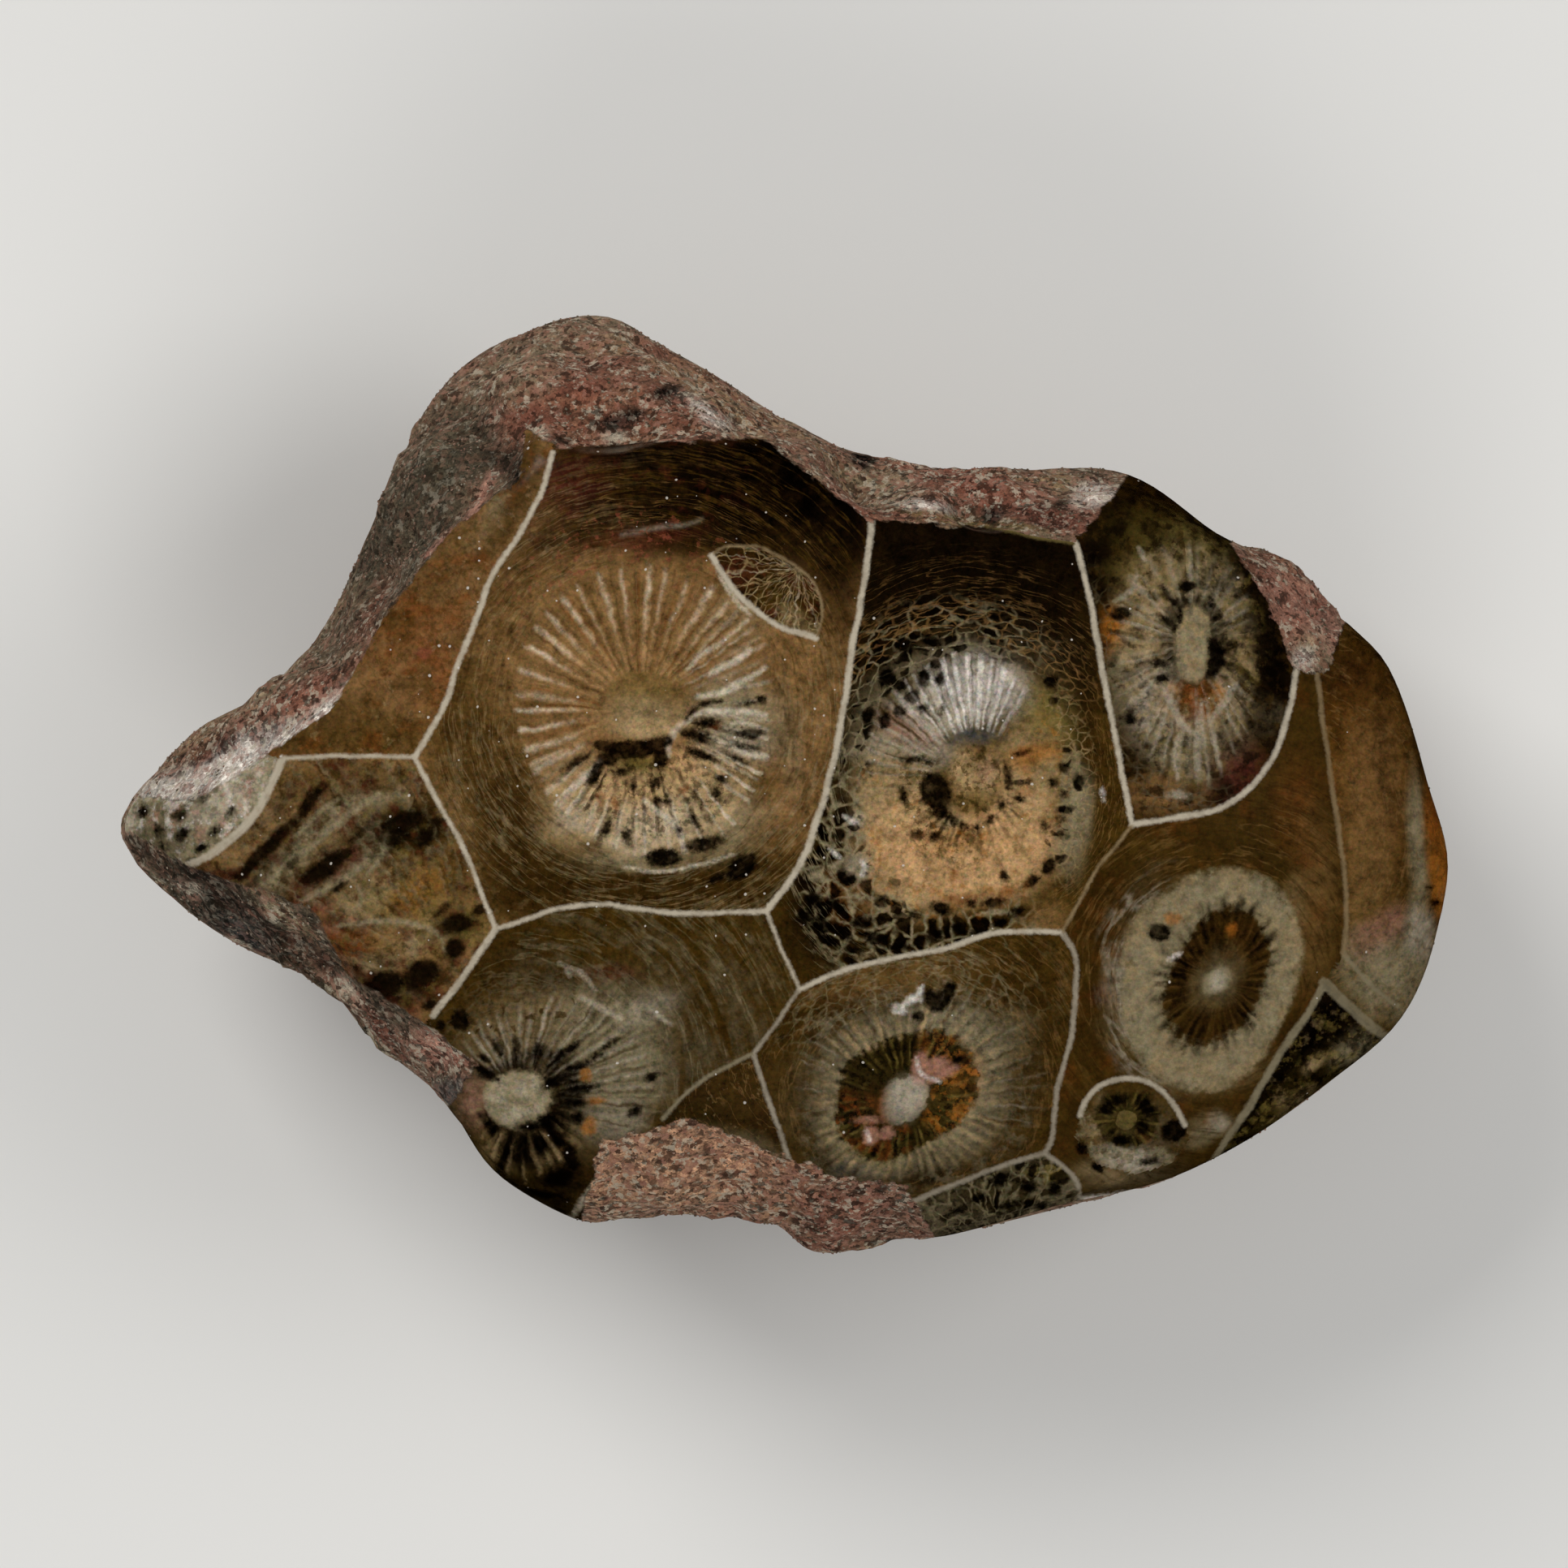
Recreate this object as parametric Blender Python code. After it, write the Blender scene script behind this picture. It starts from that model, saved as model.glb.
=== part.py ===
"""Petoskey stone: a pebble of fossil colony coral with a ground and polished front.

The pebble is one solid. It lies on a small flat spot on its rough back, with the polished
front up, its long side along X and the pointed spur at -X. The front is a low dome with a
shallow dish at each coral cup. Along the top rim, on the left flanks, at the upper right and
on the lower edge the grinding never reached: there the natural skin falls away below the
dome, lumpy and pitted. The back is a worn natural skin.

Plan places are in millimetres from the middle of the stone's length and width, heights in
millimetres above the surface that it lies on.
"""

import math

import bmesh
import bpy
from mathutils import Vector, noise

MM = 0.001

# Driving dimensions
LENGTH = 46.0
WIDTH = 32.5
THICKNESS = 19.5

# The widest line round the pebble: its height, how much lower it is at the spur, and its wave
EDGE_HEIGHT = 8.3
SPUR_EDGE_DROP = 1.6
SPUR_FACING = (0.55, 1.0)
SPUR_REACH = (16.0, 22.0)
EDGE_WAVE = 0.7
EDGE_WAVE_START = 0.6

# Grid of the solid: quads along each side of the top and of the back, and down the flanks
PLAN_CUTS = 34
FLANK_CUTS = 14

# Roundness of the shoulders: high is boxy, 2 is an ellipse
SHOULDER_RIGHT = 2.7
SHOULDER_LEFT = 3.9
BACK_ROUNDNESS = 2.35

# The crown of the dome, and how far the ground front falls by the stone's ends and sides
CROWN = (-1.5, 1.5)
CROWN_FALL_X = 1.6
CROWN_FALL_Y = 1.3

# Flat spot on the back: middle, half sizes, and the gap under the skin round it
FOOT = (1.2, -0.8)
FOOT_HALF_LENGTH = 7.5
FOOT_HALF_WIDTH = 5.0
FOOT_FADE = (1.02, 1.7)
FOOT_SINK = 0.3
SKIN_LIFT = 0.35
SKIN_LIFT_BAND = 0.6

# Outline seen from above, from the spur's tip round the top rim
OUTLINE = (
    (-23.1, -1.1), (-22.1, 0.2), (-20.3, 2.1), (-17.9, 3.3), (-15.5, 6.4), (-13.8, 10.3),
    (-11.2, 14.5), (-8.8, 15.8), (-6.1, 16.3), (-4.3, 15.2), (0.1, 12.7), (2.4, 11.6),
    (4.6, 11.1), (7.7, 10.8), (12.0, 10.7), (15.3, 8.4), (17.8, 7.6), (19.4, 5.6),
    (20.7, 4.6), (22.3, 0.1), (23.1, -3.2), (22.6, -5.7), (21.7, -7.8), (19.0, -10.3),
    (15.4, -12.7), (12.2, -14.1), (10.0, -14.6), (7.4, -15.2), (5.1, -15.7), (3.7, -15.9),
    (0.9, -16.3), (0.0, -15.4), (-3.3, -14.9), (-7.2, -15.1), (-9.9, -13.6), (-11.8, -10.9),
    (-14.6, -8.7), (-16.0, -7.0), (-17.8, -6.2), (-20.5, -4.7), (-22.0, -3.4), (-23.1, -2.1),
)
# The nicks of the outline fade towards the middle and away from the widest line
BROAD_OUTLINE_ANGLE = math.radians(14.0)
BROAD_OUTLINE_STEPS = 9
NICK_SHARE = (0.70, 1.0)
NICK_LEVEL = (0.12, 0.60)
NICK_LOSS = 0.85

# Rough ground, where the natural skin lies below the dome: closed loops seen from above
TOP_RIM = (
    (-22.6, -0.4), (-20.3, -0.6), (-17.8, 1.0), (-15.8, 2.4), (-15.0, 3.4), (-13.6, 6.0),
    (-11.4, 8.8), (-9.1, 10.5), (-8.9, 12.2), (-7.7, 11.6), (-3.8, 11.8), (-0.7, 11.9),
    (2.9, 9.1), (7.7, 8.8), (10.2, 8.5), (12.0, 10.8), (10.0, 19.0), (-20.0, 19.0),
    (-25.0, 8.0), (-25.0, 0.4),
)
LOWER_LEFT_FLANK = (
    (-22.6, -1.6), (-20.6, -2.8), (-16.2, -4.3), (-15.0, -6.6), (-12.2, -8.3), (-10.6, -9.7),
    (-11.6, -11.2), (-18.0, -14.0), (-26.0, -8.0), (-25.0, -2.4),
)
LOWER_CRUST = (
    (-7.0, -15.0), (-6.3, -12.4), (-3.2, -11.5), (-0.5, -12.6), (1.4, -13.4), (4.2, -13.9),
    (5.2, -15.6), (4.0, -19.0), (-7.0, -19.0),
)
UPPER_RIGHT_PATCH = (
    (15.4, 8.3), (16.4, 6.8), (17.5, 4.0), (18.7, 3.9), (19.3, 5.5), (22.0, 9.0), (16.0, 11.0),
)
# Each rough ground: its loop, its fall per millimetre and in all, its ledge's height, its lumps
ROUGH_GROUNDS = (
    (TOP_RIM, 0.8, 2.2, 0.55, 0.95),
    (LOWER_LEFT_FLANK, 1.0, 2.2, 0.50, 0.90),
    (LOWER_CRUST, 0.5, 0.8, 0.45, 0.85),
    (UPPER_RIGHT_PATCH, 0.4, 0.6, 0.15, 0.15),
)
LEDGE_WIDTH = 0.9
LUMP_SPAN = 3.0
GRAIN_SPAN = 1.7
GRAIN_SHARE = 0.55

# Coral cups in the front: plan place, dish radius, dish depth, height of the boss in it
CUPS = (
    (-4.9, 2.2, 4.6, 0.42, 0.32),
    (6.7, 0.1, 4.2, 0.30, 0.14),
    (14.1, 4.9, 2.8, 0.20, 0.10),
    (-9.2, -10.5, 3.2, 0.22, 0.14),
    (4.1, -10.9, 3.4, 0.26, 0.12),
    (14.9, -6.6, 3.4, 0.22, 0.10),
)
DISH_FADE = 1.8
BOSS_SHARE = 0.30

# Pits in the rough rim: plan place, half length, half width, direction in degrees, depth
RIM_PITS = (
    (-5.7, 12.6, 1.3, 0.8, 18.0, 0.95),
    (-4.1, 13.8, 0.9, 0.8, 0.0, 0.70),
    (2.7, 11.1, 0.9, 0.8, 0.0, 0.80),
    (7.3, 9.5, 0.9, 0.8, 0.0, 0.70),
    (-10.6, 12.6, 1.5, 1.0, -40.0, 0.70),
    (-14.4, 7.7, 1.2, 0.8, 60.0, 0.60),
)

# Worn skin of the back and flanks: broad lumps, small lumps, and the colony's worn cups
BROAD_LUMP = 0.85
BROAD_LUMP_SPAN = 9.0
SMALL_LUMP = 0.34
SMALL_LUMP_SPAN = 3.0
WORN_CUP_SPAN = 9.0
WORN_CUP_DEPTH = 0.75
WORN_CUP_RIM = 0.22
SKIN_START = (-0.05, 0.50)
EDGE_BAND = 0.35
ROUGH_EDGE_BAND = 0.55
EDGE_KEEP = 0.10
ROUGH_END = (-0.6, -0.1)

# Colour, roughness and metallic value of the stone as a whole
STONE_COLOUR = (0.105, 0.070, 0.042)
STONE_ROUGHNESS = 0.35
STONE_METALLIC = 0.0


def clear_scene():
    """Removes every object that the file holds."""
    for item in list(bpy.data.objects):
        bpy.data.objects.remove(item, do_unlink=True)


def smooth_step(low, high, value):
    """0 below low, 1 above high, and a smooth rise between them."""
    share = min(1.0, max(0.0, (value - low) / (high - low)))
    return share * share * (3.0 - 2.0 * share)


class Outline:
    """The stone's outline seen from above, as a distance from the middle in each direction."""

    def __init__(self, points):
        polar = sorted((math.atan2(y, x), math.hypot(x, y)) for x, y in points)
        before = [(angle - math.tau, far) for angle, far in polar[-2:]]
        after = [(angle + math.tau, far) for angle, far in polar[:2]]
        self.table = before + polar + after
        spans = [b[0] - a[0] for a, b in zip(self.table, self.table[1:])]
        rises = [(b[1] - a[1]) / span for a, b, span in zip(self.table, self.table[1:], spans)]
        self.slopes = [0.0]
        for left, right in zip(rises, rises[1:]):
            even = 2.0 * left * right / (left + right) if left * right > 0.0 else 0.0
            self.slopes.append(even)
        self.slopes.append(0.0)

    def reach(self, angle):
        """Distance to the outline at the angle, from -pi to pi, with no swing past its points."""
        low, high = 0, len(self.table) - 1
        while high - low > 1:
            middle = (low + high) // 2
            if self.table[middle][0] <= angle:
                low = middle
            else:
                high = middle
        (angle_a, far_a), (angle_b, far_b) = self.table[low], self.table[high]
        span = angle_b - angle_a
        t = (angle - angle_a) / span
        bend = (1.0 - t) * self.slopes[low] - t * self.slopes[high]
        return far_a + (far_b - far_a) * t * t * (3.0 - 2.0 * t) + span * t * (1.0 - t) * bend

    def broad_reach(self, angle):
        """The same, averaged over a fan of directions, so that nicks are gone."""
        half = BROAD_OUTLINE_STEPS // 2
        total = 0.0
        for step in range(-half, half + 1):
            turned = angle + BROAD_OUTLINE_ANGLE * step / half
            turned = math.atan2(math.sin(turned), math.cos(turned))
            total += self.reach(turned)
        return total / (2 * half + 1)


def depth_inside(place, loop):
    """Distance from a place to the loop's edge, or 0 where the place is outside it."""
    inside = False
    nearest = math.inf
    for index, first in enumerate(loop):
        second = loop[index - 1]
        if (first[1] > place.y) != (second[1] > place.y):
            slope = (second[0] - first[0]) / (second[1] - first[1])
            if place.x < first[0] + (place.y - first[1]) * slope:
                inside = not inside
        start = Vector(first)
        along = Vector(second) - start
        share = min(1.0, max(0.0, (place - start).dot(along) / along.length_squared))
        nearest = min(nearest, (place - start - along * share).length)
    return nearest if inside else 0.0


def lumps(place, span, seed):
    """Smooth noise from -1 to 1 with lumps about the given span across."""
    return noise.noise(place / span + Vector((seed, 2.0 * seed, 3.0 * seed)))


def cup_relief(place):
    """Shallow dish and low boss of the coral cups in the front."""
    height = 0.0
    for x, y, radius, depth, boss in CUPS:
        share = (place - Vector((x, y))).length / radius
        height -= depth * math.exp(-DISH_FADE * share ** 4)
        height += boss * math.exp(-((share / BOSS_SHARE) ** 2))
    return height


def pit_relief(place):
    """Pits that frost and water left in the rough rim."""
    height = 0.0
    for x, y, half_length, half_width, turn, depth in RIM_PITS:
        offset = place - Vector((x, y))
        angle = math.radians(turn)
        along = offset.x * math.cos(angle) + offset.y * math.sin(angle)
        across = offset.y * math.cos(angle) - offset.x * math.sin(angle)
        height -= depth * math.exp(-((along / half_length) ** 2) - (across / half_width) ** 2)
    return height


def front_height(place):
    """Height of the front before its shoulder is rounded off and its rough grounds are broken up."""
    height = THICKNESS
    height -= CROWN_FALL_X * ((place.x - CROWN[0]) / (LENGTH / 2.0)) ** 2
    height -= CROWN_FALL_Y * ((place.y - CROWN[1]) / (WIDTH / 2.0)) ** 2
    for loop, slope, fall, _ledge, _lump in ROUGH_GROUNDS:
        height -= fall * (1.0 - math.exp(-slope * depth_inside(place, loop) / fall))
    return height + cup_relief(place)


def rough_relief(place, point):
    """How far the broken ground beside the polish stands out of the stone's even form."""
    grain = lumps(point, LUMP_SPAN, 1.0) + GRAIN_SHARE * lumps(point, GRAIN_SPAN, 2.0)
    relief = pit_relief(place)
    for loop, _slope, _fall, ledge, lump in ROUGH_GROUNDS:
        relief += (lump * grain - ledge) * smooth_step(0.0, LEDGE_WIDTH, depth_inside(place, loop))
    return relief


def skin_relief(point):
    """How far the worn skin of the back stands out of the pebble's even form."""
    relief = BROAD_LUMP * lumps(point, BROAD_LUMP_SPAN, 4.0)
    relief += SMALL_LUMP * lumps(point, SMALL_LUMP_SPAN, 7.0)
    distances, _cells = noise.voronoi(point / WORN_CUP_SPAN)
    from_rim = (distances[1] - distances[0]) / WORN_CUP_RIM
    relief -= WORN_CUP_DEPTH * (1.0 - math.exp(-(from_rim ** 2)))
    return relief


def foot_height(place, height, level):
    """Height of the back with its flat spot, and clear of the surface all round it."""
    offset = place - Vector(FOOT)
    share = math.hypot(offset.x / FOOT_HALF_LENGTH, offset.y / FOOT_HALF_WIDTH)
    away = smooth_step(*FOOT_FADE, share)
    lift = SKIN_LIFT * smooth_step(0.0, SKIN_LIFT_BAND, -level)
    return (max(height, 0.0) + lift) * away


def section(cube):
    """Direction, plan share and height share of a grid point, round the superellipse section."""
    x, y, z = cube.x ** 2, cube.y ** 2, cube.z ** 2
    ball = Vector((cube.x * math.sqrt(1.0 - y / 2.0 - z / 2.0 + y * z / 3.0),
                   cube.y * math.sqrt(1.0 - z / 2.0 - x / 2.0 + z * x / 3.0),
                   cube.z * math.sqrt(1.0 - x / 2.0 - y / 2.0 + x * y / 3.0)))
    angle = math.atan2(ball.y, ball.x)
    rightness = 0.5 + 0.5 * math.cos(angle)
    front = SHOULDER_LEFT + (SHOULDER_RIGHT - SHOULDER_LEFT) * rightness
    roundness = front if ball.z >= 0.0 else BACK_ROUNDNESS
    across = ball.xy.length
    size = (across ** roundness + abs(ball.z) ** roundness) ** (-1.0 / roundness)
    return angle, size * across, size * ball.z


def edge_height(angle, far):
    """Height of the pebble's widest line, lower at the spur."""
    spur = smooth_step(*SPUR_FACING, -math.cos(angle)) * smooth_step(*SPUR_REACH, far)
    return EDGE_HEIGHT - SPUR_EDGE_DROP * spur + EDGE_WAVE * math.sin(2.0 * angle + EDGE_WAVE_START)


def stone_point(cube, outline):
    """Place in millimetres on the stone of a point of the unit cube's grid."""
    angle, share, level = section(cube)
    far = outline.reach(angle)
    broad = outline.broad_reach(angle)
    nick = smooth_step(*NICK_SHARE, share) * (1.0 - NICK_LOSS * smooth_step(*NICK_LEVEL, abs(level)))
    place = Vector((math.cos(angle), math.sin(angle))) * (broad + (far - broad) * nick) * share
    edge = edge_height(angle, far)
    if level >= 0.0:
        height = edge + (front_height(place) - edge) * level
    else:
        height = edge + (edge + FOOT_SINK) * level
    point = Vector((place.x, place.y, height))
    outward = Vector((place.x, place.y, height - edge)).normalized()
    off_edge = smooth_step(0.0, EDGE_BAND, abs(level))
    relief = skin_relief(point) * (1.0 - smooth_step(*SKIN_START, level)) * off_edge
    kept = EDGE_KEEP + (1.0 - EDGE_KEEP) * smooth_step(0.0, ROUGH_EDGE_BAND, abs(level))
    relief += rough_relief(place, point) * smooth_step(*ROUGH_END, level) * kept
    point += outward * relief
    if level < 0.0:
        point.z = foot_height(point.xy, point.z, level)
    return point


def make_grid():
    """A closed cube cut into an even grid: fine across its top and back, coarser down its sides."""
    grid = bmesh.new()
    bmesh.ops.create_cube(grid, size=2.0)
    upright = [edge for edge in grid.edges if abs(edge.verts[0].co.z - edge.verts[1].co.z) > 1.0]
    bmesh.ops.subdivide_edges(grid, edges=upright, cuts=FLANK_CUTS - 1, use_grid_fill=True)
    level = [edge for edge in grid.edges if abs(edge.verts[0].co.z - edge.verts[1].co.z) < 1e-6]
    bmesh.ops.subdivide_edges(grid, edges=level, cuts=PLAN_CUTS - 1, use_grid_fill=True)
    return grid


def fit_size(grid):
    """Centres the stone over the origin and gives it its driving length, width and thickness."""
    low = [min(vertex.co[axis] for vertex in grid.verts) for axis in range(3)]
    high = [max(vertex.co[axis] for vertex in grid.verts) for axis in range(3)]
    for vertex in grid.verts:
        vertex.co.x = (vertex.co.x - (low[0] + high[0]) / 2.0) * LENGTH / (high[0] - low[0]) * MM
        vertex.co.y = (vertex.co.y - (low[1] + high[1]) / 2.0) * WIDTH / (high[1] - low[1]) * MM
        vertex.co.z = (vertex.co.z - low[2]) * THICKNESS / (high[2] - low[2]) * MM


def make_stone(collection):
    """The pebble, as one closed body, smooth shaded, with its material."""
    outline = Outline(OUTLINE)
    grid = make_grid()
    for vertex in grid.verts:
        vertex.co = stone_point(vertex.co, outline)
    fit_size(grid)
    bmesh.ops.recalc_face_normals(grid, faces=grid.faces)
    mesh = bpy.data.meshes.new("petoskey_stone")
    grid.to_mesh(mesh)
    grid.free()
    mesh.shade_smooth()
    mesh.materials.append(stone_material())
    stone = bpy.data.objects.new("petoskey_stone", mesh)
    collection.objects.link(stone)
    return stone


def stone_material():
    """Brown limestone with a soft polish."""
    material = bpy.data.materials.new("polished_coral_limestone")
    material.use_nodes = True
    shader = material.node_tree.nodes["Principled BSDF"]
    shader.inputs["Base Color"].default_value = (*STONE_COLOUR, 1.0)
    shader.inputs["Roughness"].default_value = STONE_ROUGHNESS
    shader.inputs["Metallic"].default_value = STONE_METALLIC
    return material


def main():
    """Builds the stone in a collection of its own."""
    clear_scene()
    collection = bpy.data.collections.new("petoskey_stone")
    bpy.context.scene.collection.children.link(collection)
    make_stone(collection)


main()
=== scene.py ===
"""Petoskey stone: a pebble of fossil colony coral, ground and polished on its front.

The stone is one piece. Its mesh is a finer copy of the CAD solid, with the coral walls drawn
into its edges, and every coral cup has a material of its own. A cup's pattern is worked out
from nested rings round its middle and from shared effects: septa, nets of tissue, growth
lines, pores and clouds. Round the polish lies the broken natural limestone with small grains
of quartz on it.

Places on the front are given in pixels of the photograph, as named values, and turned into
millimetres of the stone by one scale.
"""

import logging
import math
from dataclasses import dataclass
from enum import Enum
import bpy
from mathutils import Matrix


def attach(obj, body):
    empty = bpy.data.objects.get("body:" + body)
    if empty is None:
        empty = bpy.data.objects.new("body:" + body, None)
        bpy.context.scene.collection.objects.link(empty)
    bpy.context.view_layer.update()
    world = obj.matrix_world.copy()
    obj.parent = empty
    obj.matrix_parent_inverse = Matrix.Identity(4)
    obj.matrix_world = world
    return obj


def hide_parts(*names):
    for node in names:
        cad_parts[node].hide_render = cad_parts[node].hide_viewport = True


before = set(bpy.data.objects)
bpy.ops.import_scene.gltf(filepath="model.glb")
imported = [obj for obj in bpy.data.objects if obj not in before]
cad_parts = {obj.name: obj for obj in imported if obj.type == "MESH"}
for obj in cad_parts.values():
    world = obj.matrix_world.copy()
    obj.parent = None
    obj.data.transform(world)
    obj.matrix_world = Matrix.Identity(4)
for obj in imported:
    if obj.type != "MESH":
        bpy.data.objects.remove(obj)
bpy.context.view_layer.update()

from types import SimpleNamespace
from typing import ClassVar, Sequence

import bmesh
import bpy
import numpy as np
from mathutils import Vector, noise
from mathutils.bvhtree import BVHTree

LOG = logging.getLogger("petoskey_stone")

NODE = "petoskey_stone"
BODY = "root"
NOISE_SEED = 5

MM = 0.001
# The photograph's scale: millimetres of stone for a pixel, and the pixel over the stone's middle
PIXEL = 0.028
MIDDLE = (966.5, 965.0)

Pixels = tuple[tuple[float, float], ...]


def to_photo(points: np.ndarray) -> np.ndarray:
    """Turns plan places in millimetres into pixels of the photograph."""
    return points / (PIXEL, -PIXEL) + MIDDLE


def to_stone(points: Sequence[tuple[float, float]]) -> np.ndarray:
    """Turns pixels of the photograph into plan places in millimetres."""
    return (np.asarray(points, float) - MIDDLE) * (PIXEL, -PIXEL)


def smooth_step(low: float, high: float, value: np.ndarray) -> np.ndarray:
    """Gives 0 below low, 1 above high, and a smooth rise between them."""
    share = np.clip((value - low) / (high - low), 0.0, 1.0)
    return share * share * (3.0 - 2.0 * share)


def linear(colour: Sequence[float]) -> tuple[float, float, float]:
    """Turns a display colour from 0 to 255 into a linear one."""
    shares = (value / 255.0 for value in colour)
    return tuple(s / 12.92 if s <= 0.04045 else ((s + 0.055) / 1.055) ** 2.4 for s in shares)


def smooth_line(points: Sequence[tuple[float, float]], step: float = 5.0) -> np.ndarray:
    """Draws a smooth open line through points.

    Args:
        points: Places that the line passes, in pixels.
        step: Rough distance between the line's own points, in pixels.

    Returns:
        The line's points, one row each.
    """
    knots = np.asarray(points, float)
    ends = np.vstack([2.0 * knots[0] - knots[1], knots, 2.0 * knots[-1] - knots[-2]])
    line = []
    for before, start, stop, after in zip(ends, ends[1:], ends[2:], ends[3:]):
        count = max(2, int(np.hypot(*(stop - start)) / step))
        t = np.arange(count)[:, None] / count
        line.append(0.5 * (2.0 * start + (stop - before) * t
                           + (2.0 * before - 5.0 * start + 4.0 * stop - after) * t ** 2
                           + (3.0 * start - before - 3.0 * stop + after) * t ** 3))
    line.append(knots[-1:])
    return np.vstack(line)


def from_line(points: np.ndarray, line: np.ndarray) -> tuple[np.ndarray, np.ndarray, np.ndarray]:
    """Measures how points lie to an open line.

    Args:
        points: Places to measure, one row each.
        line: The line's points.

    Returns:
        Signed distance, the nearest place on the line, and the share of the way along it.
    """
    best = np.full(len(points), np.inf)
    signed = np.full(len(points), 1e3)
    foot = np.zeros_like(points)
    along = np.zeros(len(points))
    for index, (start, stop) in enumerate(zip(line, line[1:])):
        run = stop - start
        offset = points - start
        share = np.clip(offset @ run / max(run @ run, 1e-12), 0.0, 1.0)
        gap = offset - share[:, None] * run
        far = np.hypot(gap[:, 0], gap[:, 1])
        nearer = far < best
        best[nearer] = far[nearer]
        side = np.sign(run[0] * offset[:, 1] - run[1] * offset[:, 0])
        signed[nearer] = (far * np.where(side == 0.0, 1.0, side))[nearer]
        foot[nearer] = (start + share[:, None] * run)[nearer]
        along[nearer] = ((index + share) / (len(line) - 1))[nearer]
    return signed, foot, along


def inside(points: np.ndarray, loop: np.ndarray) -> np.ndarray:
    """Tells which points lie inside a closed loop.

    Args:
        points: Places, a row each.
        loop: The loop's corners in order.

    Returns:
        True for each point inside.
    """
    found = np.zeros(len(points), bool)
    x, y = points[:, 0], points[:, 1]
    for (ax, ay), (bx, by) in zip(loop, np.roll(loop, 1, 0)):
        if ay == by:
            continue
        crosses = (ay > y) != (by > y)
        found ^= crosses & (x < ax + (y - ay) * (bx - ax) / (by - ay))
    return found


def depth_in(points: np.ndarray, loop: np.ndarray) -> np.ndarray:
    """Signed distance to a closed loop's edge, above 0 inside it.

    Args:
        points: Places, a row each.
        loop: The loop's corners in order.

    Returns:
        A distance for each point.
    """
    closed = np.vstack([loop, loop[:1]])
    far = np.abs(from_line(points, closed)[0])
    return np.where(inside(points, loop), far, -far)


def wander(points: np.ndarray, span: float, seed: float) -> np.ndarray:
    """Smooth random shifts from -1 to 1 along each of three axes, one row for each point."""
    shift = Vector((seed, 1.7 * seed, 2.9 * seed))
    return np.array([noise.noise_vector(Vector(point) / span + shift) for point in points])


def read(items: Sequence, name: str, width: int = 3, kind: type = float) -> np.ndarray:
    """One property of all vertices, edges, faces or corners, a row each.

    Args:
        items: The vertices, edges, faces or corners.
        name: The property.
        width: How many numbers each holds.
        kind: What type they have.

    Returns:
        The values.
    """
    values = np.zeros(len(items) * width, kind)
    items.foreach_get(name, values)
    return values.reshape(-1, width)


def cover_with(colour: np.ndarray, tone: "Tone", share: np.ndarray) -> np.ndarray:
    """A colour of each place with a share of a tone over it."""
    return colour * (1.0 - share) + np.array(tone.linear()) * share


class Tone(Enum):
    """Colours of the stone, as display values from 0 to 255."""

    BLACK = (13, 9, 5)
    SOOT = (27, 20, 10)
    MOSS = (45, 37, 14)
    UMBER = (50, 36, 14)
    BROWN = (64, 48, 19)
    HONEY = (114, 86, 54)
    TAN = (120, 92, 58)
    SAND = (138, 117, 84)
    AMBER = (142, 88, 34)
    RUST = (104, 56, 22)
    CREAM = (160, 134, 96)
    PEACH = (178, 140, 98)
    BONE = (182, 170, 148)
    CALCITE = (203, 194, 182)
    DOVE = (128, 117, 91)
    GREY = (84, 75, 57)
    SLATE = (66, 68, 68)
    OLIVE = (100, 86, 46)
    LILAC = (148, 137, 118)
    BRICK = (118, 66, 50)
    MAROON = (74, 36, 27)
    ROSE = (160, 116, 98)
    ASH = (62, 57, 43)

    def linear(self) -> tuple[float, float, float]:
        """The colour as the shaders take it."""
        return linear(self.value)


(BLACK, SOOT, MOSS, UMBER, BROWN, HONEY, TAN, SAND, AMBER, RUST, CREAM, PEACH, BONE, CALCITE, DOVE, GREY,
 SLATE, OLIVE, LILAC, BRICK, MAROON, ROSE, ASH) = Tone


@dataclass(frozen=True)
class Spot:
    """A crisp oval mark: its middle, half sizes in pixels, and turn in degrees."""

    x: float
    y: float
    long: float
    wide: float
    turn: float = 0.0

    def share(self, plan: np.ndarray) -> np.ndarray:
        """Distance from the middle in half sizes, for each place.

        Args:
            plan: Places in photo pixels, a row each.

        Returns:
            A share for each place, 1 at the mark's edge.
        """
        angle = math.radians(self.turn)
        x, y = plan[:, 0] - self.x, self.y - plan[:, 1]
        along = x * math.cos(angle) + y * math.sin(angle)
        across = y * math.cos(angle) - x * math.sin(angle)
        return np.hypot(along / self.long, across / self.wide)

    def rise(self, plan: np.ndarray) -> np.ndarray:
        """Rough signed distance in pixels to the mark's edge, above 0 inside it."""
        return (1.0 - self.share(plan)) * min(self.long, self.wide)


@dataclass(frozen=True)
class Vein:
    """A crisp mark along a line that tapers to its ends: its points and half width in pixels."""

    points: Pixels
    half: float

    def rise(self, plan: np.ndarray) -> np.ndarray:
        """Signed distance in pixels to the mark's edge, above 0 inside it.

        Args:
            plan: Places in photo pixels, a row each.

        Returns:
            A distance for each place.
        """
        signed, _foot, along = from_line(plan, smooth_line(self.points))
        taper = 0.55 + 0.45 * np.sin(math.pi * np.clip(along, 0.0, 1.0))
        return self.half * taper - np.abs(signed)


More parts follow.
